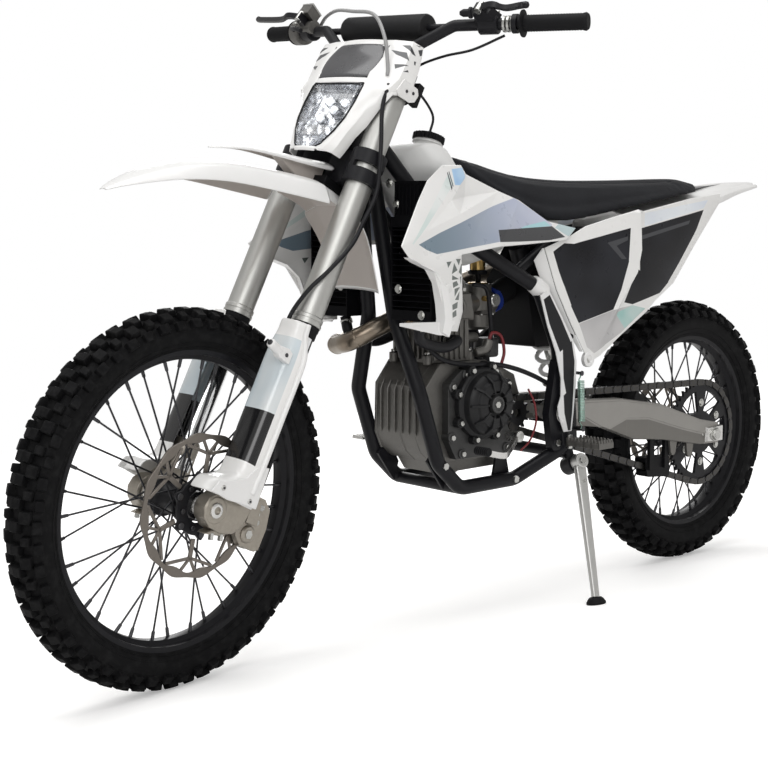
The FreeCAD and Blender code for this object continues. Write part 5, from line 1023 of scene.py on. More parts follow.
def mask():
    shape = Shape()
    halves = []
    for z, *corners in maskRows:
        line = [Vector((x, y, z)) for x, y in corners]
        halves.append([line[0], line[0].lerp(line[1], 0.5), line[1], line[1].lerp(line[2], 0.5), line[2],
                       line[2].lerp(line[3], 0.5), line[3]])
    for side in (1, -1):
        rings = [[(p.x, p.y * side, p.z) for p in (row if side > 0 else row[::-1])] for row in halves]
        shape.loft(rings, round=False)
    # the brow over the lamp, the lip under it and the top edge
    bowed(shape, [(0.0795, 0.0645, 0.8415), (0.0775, 0.063, 0.8535)], 4, 0.004)
    bowed(shape, [(0.0995, 0.027, 0.6935), (0.1005, 0.026, 0.690), (0.0985, 0.025, 0.6865)], 3, 0.002)
    bowed(shape, [(0.0600, 0.053, 0.936), (0.0575, 0.050, 0.948)], 4, 0.004)
    fit("headlight mask", shape, "steering", ["mask plastic"], ["headlight_mask"], thick=0.0028, weld=True,
        bevel=0.0009, sharp=24)
    rows = [(0.0786, 0.0625, 0.8525), (0.0753, 0.068, 0.872), (0.0683, 0.0715, 0.898), (0.0643, 0.069, 0.912),
            (0.0623, 0.060, 0.928), (0.0613, 0.052, 0.9365)]
    screen = bowed(Shape(), rows, 6, 0.004)
    fit("mask screen", screen, "steering", ["smoked screen"], thick=0.002, subdivide=1)
    arms = Shape()
    for side in (1, -1):
        arms.slab([(0.046, 0.869), (0.004, 0.872), (-0.004, 0.862), (0.000, 0.846), (0.012, 0.838), (0.044, 0.834),
                   (0.054, 0.842)],
                  side * 0.1235, side * 0.1265)
        for x, z in ((0.012, 0.858), (0.030, 0.852)):
            arms.boss(x, z, side * 0.1255, side * 0.1285, 0.0032, 12, 1, chamfer=0.0008)
    fit("mask arms", arms, "steering", ["mask plastic", "dark bolt steel"], bevel=0.001)
    bands = Shape()
    for side in (1, -1):
        for z in (0.846, 0.862, 0.880):
            ring = [(fork["x"] + 0.0285 * cos(fullTurn * k / 28), side * fork["y"] + 0.0285 * sin(fullTurn * k / 28), z)
                    for k in range(28)]
            bands.tube(ring, 0.0042, 8, closed=True)
        bands.block((-0.014, side * 0.118 - 0.006, 0.842), (0.002, side * 0.118 + 0.006, 0.886))
    fit("mask straps", bands, "steering", ["soft black rubber"], sharp=40)


# the lamp: a clear front that leans back over a dark cup with four lit spots
lampOutline = [(0.694, 0.0245), (0.702, 0.0335), (0.732, 0.050), (0.760, 0.0595), (0.798, 0.0645), (0.834, 0.0645),
               (0.8405, 0.061)]


# how far ahead the leaning lamp lies at a height
def lampFace(z):
    return 0.1005 - (z - 0.690) * 0.139


def lampRing(inset, back, bulge):
    half = [(z + (inset if i == 0 else -inset if i == len(lampOutline) - 1 else 0),
             y - inset) for i, (z, y) in enumerate(lampOutline)]
    line = [(y, z) for z, y in half] + [(-y, z) for z, y in half[::-1]]
    return [(lampFace(z) - back + bulge * (1 - (y / 0.066) ** 2), y, z) for y, z in line]


def lamp():
    cup = Shape()
    rings = [lampRing(0.0005, 0.002, 0.0), lampRing(0.004, 0.010, 0.0), lampRing(0.010, 0.022, 0.0),
             lampRing(0.020, 0.026, 0.0)]
    cup.loft(rings, capStart=False)
    for y, z in ((-0.010, 0.802), (0.030, 0.800), (0.010, 0.784), (-0.012, 0.764)):
        x = lampFace(z)
        cup.tube([(x - 0.022, y, z), (x - 0.012, y, z), (x - 0.0115, y, z)], [0.011, 0.0095, 0.0085], 24, 1)
        cup.tube([(x - 0.0114, y, z), (x - 0.0085, y, z), (x - 0.0072, y, z)], [0.0072, 0.0068, 0.003], 20, 2)
    for y in (-0.045, 0.050):
        cup.slab([(0.070, 0.745), (0.084, 0.745), (0.078, 0.830), (0.064, 0.830)], y - 0.002, y + 0.002)
    cup.slab([(0.082, 0.722), (0.094, 0.722), (0.0905, 0.744), (0.080, 0.744)], -0.030, 0.030)
    fit("headlight", cup, "steering", ["lamp cup", "lamp chrome", "lit spot"], ["headlight"], sharp=35)
    glass = Shape().loft([lampRing(0.0, 0.003, 0.0), lampRing(0.0005, -0.0005, 0.001), lampRing(0.004, -0.001, 0.004),
                          lampRing(0.024, -0.001, 0.006)], capStart=False)
    fit("lamp glass", glass, "steering", ["lamp glass"], sharp=25)
    frameRing = Shape().loft([lampRing(-0.0016, 0.004, 0.0), lampRing(-0.0016, -0.0012, 0.0),
                              lampRing(0.0012, -0.0012, 0.001),
                              lampRing(0.0012, 0.004, 0.0)], closed=True)
    fit("lamp frame", frameRing, "steering", ["black plastic"])


def lines():
    route = [(-0.022, -0.232, 1.034), (0.008, -0.190, 1.040), (0.048, -0.120, 1.026), (0.080, -0.040, 1.000),
             (0.088, 0.030, 0.984), (0.082, 0.074, 0.936), (0.0685, 0.094, 0.885), (0.064, 0.098, 0.866)]
    lower = [(0.060, 0.106, 0.850), (0.057, 0.110, 0.800), (0.042, 0.128, 0.727), (0.016, 0.132, 0.650),
             (0.014, 0.126, 0.590), (0.022, 0.127, 0.538), (0.046, 0.121, 0.476), (0.058, 0.102, 0.430),
             (0.059, 0.082, 0.378), (0.057, 0.080, 0.320), (0.052, 0.062, 0.275), (0.024, 0.060, 0.235),
             (-0.012, 0.062, 0.190), (-0.036, 0.070, 0.140), (-0.039, 0.070, 0.100), (-0.039, 0.070, 0.0583)]
    shape = Shape().tube(smooth(route, 8), 0.0036, 12, 0).tube(smooth(lower, 8), 0.004, 12, 1)
    cable = [(-0.0226, 0.2617, 1.0006), (-0.016, 0.205, 0.968), (-0.012, 0.150, 0.954), (-0.014, 0.105, 0.942),
             (-0.014, 0.076, 0.928), (-0.004, 0.060, 0.916), (-0.004, 0.060, 0.8982)]
    shape.tube(smooth(cable, 8), 0.0025, 10, 1)
    fit("control lines", shape, "steering", ["grey hose", "rubber hose"], ["control_lines"], sharp=40)


maskFinish()
lampFinishes()
plasticFinish("grey hose", (0.30, 0.30, 0.30), 0.4, 0.0)
mask()
lamp()
lines()
print("mask, lamp and lines are on")


# shroud: each point is x, y, z in metres, and the folds between them
shroudPoints = {
    "tip": (1.135, 0.230, 0.7857), "lead": (1.0537, 0.1882, 0.868), "leadHigh": (1.0083, 0.1647, 0.9059),
    "apexFront": (0.9497, 0.1423, 0.9358), "apexRear": (0.8863, 0.130, 0.938), "innerTop": (0.8805, 0.1382, 0.9202),
    "innerMid": (0.9485, 0.1678, 0.8693), "innerLow": (1.0525, 0.2076, 0.8114), "dip": (0.8858, 0.1382, 0.876),
    "notch": (0.7916, 0.1423, 0.8884), "armMid": (0.9427, 0.1841, 0.8426), "armTop": (0.7399, 0.1484, 0.8712),
    "rearHigh": (0.6545, 0.1504, 0.8289), "rearEnd": (0.554, 0.1402, 0.8143), "rearTip": (0.5947, 0.1504, 0.7898),
    "low4": (0.7329, 0.1719, 0.7835), "low3": (0.8387, 0.1902, 0.7800), "low2": (0.9613, 0.2076, 0.7663),
    "low1": (1.0508, 0.2198, 0.759), "chin": (1.1135, 0.228, 0.7637), "legFront": (1.0478, 0.2218, 0.7386),
    "legMid": (1.0002, 0.2045, 0.655), "footFront": (1.0031, 0.2004, 0.6251), "footRear": (0.9497, 0.1861, 0.620),
    "legRear": (0.938, 0.1882, 0.6572),
}
shroudFolds = [
    "tip innerLow lead", "lead innerLow innerMid", "lead innerMid leadHigh", "leadHigh innerMid apexFront",
    "apexFront innerMid innerTop", "apexFront innerTop apexRear", "innerLow armMid innerMid", "innerMid armMid dip",
    "innerMid dip innerTop", "innerTop dip notch", "dip armMid notch", "tip chin innerLow", "chin low1 innerLow",
    "innerLow low1 armMid", "low1 low2 armMid", "armMid low2 notch", "low2 low3 notch", "notch low3 armTop",
    "low3 low4 armTop", "armTop low4 rearHigh", "rearHigh low4 rearTip", "rearHigh rearTip rearEnd",
    "chin legFront low1",
    "low1 legFront low2", "legFront legMid low2", "legMid legRear low2", "legMid footFront legRear",
    "footFront footRear legRear",
]
# coloured fields as convex outlines of (x, z)
shroudFields = {
    "field": [[(1.082, 0.787), (1.014, 0.808), (0.821, 0.8595), (0.821, 0.7905), (1.033, 0.769), (1.061, 0.777)],
              [(0.822, 0.859), (0.754, 0.875), (0.642, 0.823), (0.644, 0.817), (0.822, 0.812)]],
    "wedge": [[(0.829, 0.812), (0.643, 0.8185), (0.600, 0.796), (0.66, 0.790), (0.767, 0.7885), (0.834, 0.7885)]],
    "cyan": [[(0.739, 0.819), (0.666, 0.829), (0.647, 0.819), (0.76, 0.813)]],
    "tail": [[(0.633, 0.8155), (0.612, 0.826), (0.545, 0.815), (0.588, 0.797)]],
    "strip": [[(1.106, 0.791), (0.978, 0.888), (0.934, 0.923), (0.928, 0.898), (1.036, 0.828), (1.097, 0.787)]],
    "blue": [[(0.923, 0.9285), (0.886, 0.9325), (0.886, 0.912), (0.910, 0.898), (0.926, 0.898)]],
    "stripes": [[(0.941, 0.921), (0.938, 0.9225), (0.9365, 0.893), (0.941, 0.887)],
                [(0.935, 0.923), (0.9325, 0.924), (0.9315, 0.896), (0.9345, 0.894)]],
    "web": [[(1.009, 0.754), (0.993, 0.755), (1.003, 0.743)], [(0.980, 0.759), (0.964, 0.759), (0.969, 0.747)],
            [(0.985, 0.752), (0.972, 0.738), (0.990, 0.731)],
            [(0.961, 0.749), (0.956, 0.751), (0.956, 0.728), (0.967, 0.734)],
            [(0.988, 0.729), (0.964, 0.721), (0.988, 0.720)],
            [(0.985, 0.715), (0.972, 0.718), (0.964, 0.710), (0.982, 0.705)],
            [(0.961, 0.725), (0.956, 0.726), (0.956, 0.709)], [(0.977, 0.703), (0.958, 0.706), (0.974, 0.688)],
            [(0.972, 0.682), (0.958, 0.698), (0.958, 0.681)],
            [(0.980, 0.673), (0.961, 0.678), (0.961, 0.666), (0.977, 0.663)],
            [(0.977, 0.658), (0.964, 0.663), (0.961, 0.651), (0.974, 0.648)]],
}


def pearl(made, first, second, scale=4.0):
    return made.mixed(first, second, made.noise(scale, 2, 0.5).step(0.35, 0.65))


# fields of colour laid one over the other on a white panel
def paintFields(made, layers, fields):
    colour = made.mixed(shadedWhite, paintWhite, made.noise(9, 3))
    for name, paint in layers:
        colour = made.mixed(colour, paint, made.within(made.x, made.z, fields[name]))
    made.set({"Base Color": colour, "Roughness": made.noise(40) * 0.1 + 0.24})


def shroudFinish():
    made = keep(Finish("shroud plastic", paintWhite, 0.3, coat=0.35, coatRoughness=0.12))
    run = made.x.step(0.62, 1.08)
    layers = [
        ("strip", pearl(made, (0.62, 0.70, 0.68), (0.78, 0.80, 0.79), 9)),
        ("field", made.mixed(pearl(made, (0.56, 0.58, 0.68), (0.47, 0.50, 0.64), 7), (0.16, 0.22, 0.27), run)),
        ("cyan", (0.38, 0.62, 0.66)), ("wedge", (0.035, 0.036, 0.04)), ("tail", (0.50, 0.62, 0.64)),
        ("blue", pearl(made, (0.32, 0.52, 0.78), (0.45, 0.64, 0.84), 20)), ("stripes", (0.03, 0.034, 0.05)),
        ("web", (0.10, 0.12, 0.11)),
    ]
    paintFields(made, layers, shroudFields)


def folded(points, folds):
    names = list(points)
    return Shape().add(list(points.values()), [[names.index(name) for name in fold.split()] for fold in folds])


def shrouds():
    shape = folded(shroudPoints, shroudFolds).both()
    fit("shrouds", shape, "chassis", ["shroud plastic"], ["shrouds"], thick=0.0034, bevel=0.0022, bevelSteps=3,
        sharp=40, bevelAngle=9)
    lips = Shape()
    rings = []
    for x, y, z, half in ((1.108, 0.2265, 0.763, 0.003), (1.086, 0.2255, 0.752, 0.005), (1.047, 0.223, 0.738, 0.007),
                          (1.018, 0.216, 0.710, 0.011), (1.004, 0.211, 0.670, 0.0115), (0.998, 0.208, 0.642, 0.0115),
                          (1.001, 0.204, 0.618, 0.0095)):
        rings.append([(x + half, y - 0.020, z + half * 0.5), (x + half * 0.7, y + 0.001, z + half * 0.5),
                      (x - half, y + 0.002, z - half * 0.5), (x - half * 1.1, y - 0.004, z - half * 0.6)])
    lips.loft(rings)
    lips.loft([[(1.010, 0.196, 0.642), (1.010, 0.196, 0.617), (0.995, 0.200, 0.616), (0.995, 0.200, 0.642)],
               [(1.046, 0.126, 0.638), (1.046, 0.126, 0.632), (0.986, 0.126, 0.630), (0.986, 0.126, 0.638)]])
    for x, y, z in ((1.005, 0.2125, 0.708), (0.984, 0.206, 0.640)):
        lips.boss(x, z, y - 0.004, y + 0.0025, 0.0055, 20, chamfer=0.001)
    fit("shroud lips", lips.both(), "chassis", ["white plastic"], bevel=0.0016, bevelSteps=3, sharp=40, bevelAngle=20)


# tank: x, then half width and height at the foot, the belly, the shoulder and the top
tankRings = [
    (0.690, (0.051, 0.769), (0.061, 0.807), (0.042, 0.836), (0.025, 0.8458)),
    (0.771, (0.051, 0.745), (0.088, 0.815), (0.054, 0.876), (0.033, 0.884)),
    (0.8196, (0.051, 0.757), (0.105, 0.841), (0.060, 0.915), (0.037, 0.925)),
    (0.8574, (0.051, 0.793), (0.110, 0.883), (0.067, 0.962), (0.041, 0.973)),
    (0.914, (0.0476, 0.875), (0.0986, 0.928), (0.0646, 0.974), (0.039, 0.9814)),
    (0.960, (0.0204, 0.908), (0.0313, 0.930), (0.0286, 0.944), (0.017, 0.9514)),
]


def tank():
    rows = []
    for x, *corners in tankRings:
        half = [Vector((x, y, z)) for y, z in corners]
        rows.append(half + [Vector((p.x, -p.y, p.z)) for p in half[::-1]])
    shape = Shape().loft([smooth(ring, 4, closed=True) for ring in between(rows, 4)])
    place = move(0.8507, 0, 0.9893) @ spin(-17, "Y") @ spin(90, "X")
    shape.lathe([(0.048, -0.034), (0.040, -0.026), (0.030, -0.018), (0.0285, -0.006), (0.0285, 0.0)], 48, 0, place)
    shape.lathe([(0.0312, -0.006), (0.0312, -0.003), (0.0285, -0.002)], 48, 0, place)
    fit("tank", shape, "chassis", ["milky tank plastic"], ["tank"], sharp=50)
    profile = [(0.0001, 0.0155), (0.010, 0.0155), (0.0105, 0.0145), (0.026, 0.0145), (0.028, 0.0125), (0.030, 0.0125)]
    cap = Shape().lathe(profile, 60, 0, place)
    grip = [(0.033 - (0.0018 if i % 4 < 2 else 0), fullTurn * i / 96) for i in range(96)]
    cap.loft([[polar(r, a, y) for r, a in grip] for y in (0.0, 0.0125)], place=place)
    cap.lathe([(0.0055, 0.014), (0.0055, 0.020), (0.0042, 0.0215), (0.0001, 0.0215)], 20, 0, place)
    fit("tank cap", cap, "chassis", ["black plastic"], ["tank_cap"], sharp=25, bevel=0.0006)


# seat: x, half width and height of the foot, half width of the shoulder, height of the top
seatRings = [
    (0.030, 0.052, 0.8985, 0.044, 0.9105), (0.038, 0.068, 0.8970, 0.058, 0.9165), (0.060, 0.082, 0.8950, 0.068, 0.9195),
    (0.120, 0.096, 0.8880, 0.074, 0.9225), (0.240, 0.103, 0.8710, 0.078, 0.9185), (0.360, 0.106, 0.8540, 0.082, 0.9150),
    (0.470, 0.110, 0.8380, 0.085, 0.9130), (0.560, 0.112, 0.8300, 0.086, 0.9145), (0.640, 0.108, 0.8400, 0.084, 0.9195),
    (0.700, 0.098, 0.8660, 0.078, 0.9285), (0.760, 0.084, 0.8960, 0.069, 0.9415), (0.800, 0.070, 0.9240, 0.056, 0.9530),
    (0.821, 0.050, 0.9420, 0.040, 0.9590),
]


# a closed form blown up like a filled cover; held says which points stay where they are
def blown(shape, voxel, pressure, reach, held):
    scene = bpy.context.scene
    mesh = bpy.data.meshes.new("blank")
    mesh.from_pydata([tuple(p) for p in shape.points], [], shape.faces)
    blank = bpy.data.objects.new("blank", mesh)
    scene.collection.objects.link(blank)
    even = blank.modifiers.new("even", "REMESH")
    even.mode, even.voxel_size = "VOXEL", voxel
    graph = bpy.context.evaluated_depsgraph_get()
    start = bpy.data.meshes.new_from_object(blank.evaluated_get(graph))
    blank.modifiers.clear()
    blank.data = start
    begin = [v.co.copy() for v in start.vertices]
    done = begin
    group = blank.vertex_groups.new(name="held")
    group.add([i for i, p in enumerate(begin) if held(p)], 1, "REPLACE")
    cloth = blank.modifiers.new("cloth", "CLOTH")
    cloth.settings.use_pressure = True
    cloth.settings.uniform_pressure_force = pressure
    cloth.settings.vertex_group_mass = "held"
    cloth.settings.effector_weights.gravity = 0
    cloth.point_cache.frame_start, cloth.point_cache.frame_end = 1, 20
    for step in range(1, 21):
        scene.frame_set(step)
    graph = bpy.context.evaluated_depsgraph_get()
    after = blank.evaluated_get(graph).data
    done = []
    for i, p in enumerate(begin):
        shift = after.vertices[i].co - p
        done.append(p + (shift if shift.length < reach else shift.normalized() * reach))
    scene.frame_set(1)
    out = Shape().add(done, [list(face.vertices) for face in start.polygons])
    bpy.data.objects.remove(blank)
    return out


def seat():
    cover = keep(Finish("seat cover", (0.013, 0.013, 0.015), 0.8, specular=0.14, sheen=0.05))
    cover.set({"Base Color": cover.mixed((0.008, 0.008, 0.010), (0.015, 0.016, 0.019), cover.noise(16, 4)),
               "Roughness": cover.noise(220, 3) * 0.16 + 0.66})
    cover.bump(cover.cells(900), 0.22, 0.0005)
    across = cover.y.sum("ABSOLUTE")
    # a seam along either side of the top, that ends before the nose and the tail
    seam, tail, nose = 0.066, 0.10, 0.74
    groove = (across - seam).sum("ABSOLUTE").step(0.0, 0.003).highest(cover.x.step(nose, nose + 0.002))
    cover.bump(groove.highest(1 - cover.x.step(tail - 0.002, tail)), 0.6, 0.003)
    rows = []
    for x, foot, low, shoulder, top in seatRings:
        high = top - low
        half = [(foot, low), (foot + 0.001, low + high * 0.12), ((foot + shoulder) / 2 + 0.004, low + high * 0.55),
                (shoulder + 0.003, low + high * 0.86), (shoulder * 0.78, low + high * 0.985), (shoulder * 0.35, top)]
        rows.append([Vector((x, y, z)) for y, z in half] + [Vector((x, -y, z)) for y, z in half[::-1]])
    shape = Shape().loft(between(rows, 6))
    feet = [(x, low) for x, foot, low, shoulder, top in seatRings]

    def held(p):
        for (a, low), (b, high) in zip(feet, feet[1:]):
            if p.x <= b:
                return p.z < low + (high - low) * (p.x - a) / (b - a) + 0.010
        return True

    pad = fit("seat pad", blown(shape, 0.0055, 4.0, 0.004, held), "chassis", ["seat cover"], ["seat_pad"], subdivide=1)


# left side panel: x, y, z; the right one stops above the silencer
panelPoints = {
    "a": (0.651, 0.137, 0.774), "b": (0.575, 0.136, 0.796), "c": (0.518, 0.134, 0.818), "d": (0.426, 0.132, 0.837),
    "e": (0.338, 0.131, 0.853), "e2": (0.310, 0.125, 0.850), "f": (0.119, 0.112, 0.880), "g": (-0.012, 0.102, 0.893),
    "h": (-0.006, 0.102, 0.868), "i": (0.098, 0.112, 0.775), "j": (0.186, 0.117, 0.687), "k": (0.256, 0.121, 0.651),
    "l": (0.294, 0.123, 0.625), "m": (0.384, 0.125, 0.579), "n": (0.455, 0.127, 0.540), "o": (0.491, 0.127, 0.526),
    "p": (0.513, 0.128, 0.55), "q": (0.562, 0.131, 0.616), "r": (0.609, 0.134, 0.686),
    "fin1": (0.352, 0.133, 0.846), "fin2": (0.372, 0.134, 0.739), "fin3": (0.398, 0.133, 0.679),
    "fin4": (0.423, 0.131, 0.632),
    "cr1": (0.336, 0.138, 0.846), "cr2": (0.333, 0.139, 0.765), "cr3": (0.345, 0.138, 0.717),
    "cr4": (0.393, 0.135, 0.657),
    "cr5": (0.470, 0.130, 0.556), "back1": (0.328, 0.127, 0.842), "back2": (0.325, 0.124, 0.765),
    "back3": (0.337, 0.125, 0.716),
    "back4": (0.386, 0.126, 0.655),
}
panelFolds = [
    "a b r", "b c r", "c fin2 r", "c d fin2", "d fin1 fin2", "r fin2 q", "fin2 fin3 q", "fin3 fin4 q", "fin4 cr5 q",
    "cr5 p q",
    "cr5 o p", "fin1 cr1 cr2 fin2", "fin2 cr2 cr3 fin3", "fin3 cr3 cr4 fin4", "fin4 cr4 cr5", "d e fin1", "e cr1 fin1",
    "cr1 back1 back2 cr2", "cr2 back2 back3 cr3", "cr3 back3 back4 cr4", "cr4 back4 n cr5", "cr5 n o", "cr1 e e2 back1",
    "back1 e2 f back2", "back2 f i", "f g h i", "back2 i j back3", "back3 j k", "back3 k l back4", "back4 l m n",
]
rightPoints = dict(panelPoints, h=(0.040, 0.106, 0.868), i=(0.120, 0.113, 0.848), j=(0.190, 0.118, 0.826),
                   k=(0.250, 0.122, 0.812),
                   l=(0.300, 0.124, 0.802), m=(0.370, 0.126, 0.792), n=(0.415, 0.128, 0.786), o=(0.440, 0.129, 0.782),
                   p=(0.475, 0.130, 0.776),
                   q=(0.540, 0.132, 0.762), r=(0.600, 0.134, 0.752), fin2=(0.366, 0.134, 0.822),
                   fin3=(0.376, 0.133, 0.812), fin4=(0.390, 0.132, 0.802),
                   cr2=(0.340, 0.138, 0.822), cr3=(0.352, 0.137, 0.812), cr4=(0.370, 0.135, 0.804),
                   cr5=(0.405, 0.132, 0.794), back1=(0.328, 0.129, 0.842),
                   back2=(0.330, 0.128, 0.820), back3=(0.342, 0.127, 0.809), back4=(0.360, 0.127, 0.800))
panelFields = {
    "black": [[(0.625, 0.766), (0.590, 0.783), (0.554, 0.781), (0.554, 0.640), (0.604, 0.723)],
              [(0.556, 0.7815), (0.366, 0.8135), (0.372, 0.739), (0.396, 0.679), (0.420, 0.637), (0.535, 0.613),
               (0.562, 0.650)],
              [(0.322, 0.812), (0.063, 0.854), (0.108, 0.789), (0.164, 0.734), (0.207, 0.688), (0.318, 0.672)],
              [(0.330, 0.722), (0.207, 0.690), (0.255, 0.657), (0.294, 0.636), (0.345, 0.645), (0.384, 0.637)]],
    "chevron": [[(0.446, 0.782), (0.376, 0.795), (0.376, 0.787), (0.415, 0.775)],
                [(0.446, 0.782), (0.415, 0.775), (0.380, 0.746), (0.397, 0.746)],
                [(0.322, 0.795), (0.121, 0.830), (0.128, 0.821), (0.322, 0.786)]],
    "teal": [[(0.407, 0.628), (0.345, 0.643), (0.298, 0.634), (0.372, 0.593)]],
    "low": [[(0.534, 0.612), (0.419, 0.636), (0.345, 0.643), (0.298, 0.633), (0.384, 0.585), (0.480, 0.545),
             (0.505, 0.560)]],
    "top": [[(0.307, 0.846), (0.044, 0.877), (0.063, 0.858), (0.306, 0.817)]],
}


def panelFinish():
    made = keep(Finish("panel plastic", paintWhite, 0.3, specular=0.18))
    layers = [
        ("top", pearl(made, (0.66, 0.71, 0.80), (0.76, 0.79, 0.82), 6)),
        ("low", pearl(made, (0.42, 0.415, 0.42), (0.56, 0.55, 0.55), 6)),
        ("teal", pearl(made, (0.34, 0.55, 0.52), (0.50, 0.62, 0.60), 14)),
        ("black", pearl(made, (0.010, 0.010, 0.012), (0.022, 0.023, 0.028), 5)), ("chevron", (0.065, 0.067, 0.072)),
    ]
    paintFields(made, layers, panelFields)


def sidePanels():
    shape = folded(panelPoints, panelFolds)
    shape.joined(folded(rightPoints, panelFolds).mirrored())
    fit("side panels", shape, "chassis", ["panel plastic"], ["side_panels"], thick=0.003, bevel=0.0016, bevelSteps=3,
        sharp=36, bevelAngle=12)
    extras = Shape()
    place = move(0.496, 0.127, 0.533)
    extras.lathe([(0.0075, -0.004), (0.0075, 0.004), (0.009, 0.0055), (0.0155, 0.0055), (0.017, 0.004),
                  (0.017, -0.004)], 36, 0, place, closed=True)
    extras.boss(0.496, 0.533, 0.120, 0.1295, 0.0072, 20, 1, chamfer=0.001)
    flange = [[(0.651, 0.137, 0.774), (0.663, 0.122, 0.748)], [(0.609, 0.134, 0.686), (0.628, 0.118, 0.690)],
              [(0.562, 0.131, 0.616), (0.574, 0.122, 0.618)], [(0.513, 0.128, 0.55), (0.518, 0.124, 0.551)]]
    extras.loft([[a, (a[0] + 0.002, a[1] - 0.003, a[2]), (b[0] + 0.001, b[1] - 0.002, b[2]), b] for a, b in flange])
    fit("panel eyelet", extras, "chassis", ["white plastic", "bolt steel"], bevel=0.0007, sharp=36)


# rear fender: x, half width, height of the crown, of the shoulder and of the edge
fenderTail = [
    (0.300, 0.086, 0.848, 0.840, 0.812), (0.200, 0.086, 0.864, 0.855, 0.822), (0.093, 0.086, 0.878, 0.870, 0.836),
    (0.010, 0.079, 0.893, 0.886, 0.856), (-0.066, 0.071, 0.906, 0.900, 0.873), (-0.140, 0.058, 0.9135, 0.909, 0.890),
    (-0.201, 0.048, 0.9165, 0.914, 0.901), (-0.262, 0.034, 0.9180, 0.9165, 0.910),
    (-0.288, 0.020, 0.9180, 0.917, 0.9135),
]


def tailFender():
    rings = []
    for x, half, crown, shoulder, edge in fenderTail:
        line = [(half, edge), (half * 0.985, (edge + shoulder) / 2), (half * 0.84, shoulder),
                (half * 0.45, crown - 0.001), (half * 0.34, crown + 0.0035), (0.0, crown + 0.0045)]
        rings.append([(x, y, z) for y, z in line] + [(x, -y, z) for y, z in line[:-1][::-1]])
    shape = Shape().loft(between(rings, 3), round=False)
    fit("rear fender", shape, "chassis", ["white plastic"], ["rear_fender"], thick=0.003, bevel=0.0009)
    strip = Shape().loft([[(x, -y, z), (x, -y, z + 0.002), (x, y, z + 0.002), (x, y, z)]
                          for x, y, z in ((0.030, 0.040, 0.8995), (-0.060, 0.030, 0.9105), (-0.150, 0.020, 0.9185),
                                          (-0.262, 0.008, 0.9225))])
    fit("fender strip", strip, "chassis", ["grey plastic"], bevel=0.0006)


def radiatorBits():
    shape = Shape()
    for y, z in ((0.061, 0.902), (0.080, 0.862), (0.086, 0.700), (0.150, 0.652), (0.150, 0.828)):
        shape.rod((1.009, y, z), (1.0155, y, z), 0.0065, 6)
        shape.rod((1.010, y, z), (1.0125, y, z), 0.009, chamfer=0.0006)
    for k in range(9):
        y = 0.080 + k * 0.0105
        shape.block((1.0105, y, 0.842), (1.0145, y + 0.003, 0.898), 1)
    fit("radiator bits", shape.both(), "chassis", ["bolt steel", "radiator black"])


shroudFinish()
panelFinish()
shrouds()
tank()
seat()
sidePanels()
tailFender()
radiatorBits()
print("tank, seat and panels are on")


# engine: outlines of (x, z) and its bolts, in metres
engineForm = {
    "half": 0.074,
    "case": [(0.690, 0.345), (0.890, 0.345), (0.915, 0.366), (0.930, 0.400), (0.927, 0.500), (0.890, 0.545),
             (0.760, 0.545), (0.690, 0.528), (0.640, 0.505), (0.623, 0.460), (0.625, 0.400), (0.650, 0.368)],
    "caseLeft": [(0.716, 0.345), (0.890, 0.345), (0.915, 0.366), (0.930, 0.400), (0.927, 0.500), (0.890, 0.545),
                 (0.760, 0.545), (0.706, 0.520), (0.704, 0.480), (0.718, 0.430), (0.706, 0.380)],
    "barrel": [(0.787, 0.545), (0.892, 0.545), (0.896, 0.632), (0.791, 0.632)],
    "head": [(0.782, 0.632), (0.904, 0.632), (0.908, 0.682), (0.792, 0.684)],
    "top": [(0.796, 0.682), (0.904, 0.680), (0.890, 0.722), (0.814, 0.722)],
    "cover": (0.794, 0.110, 0.462),
}


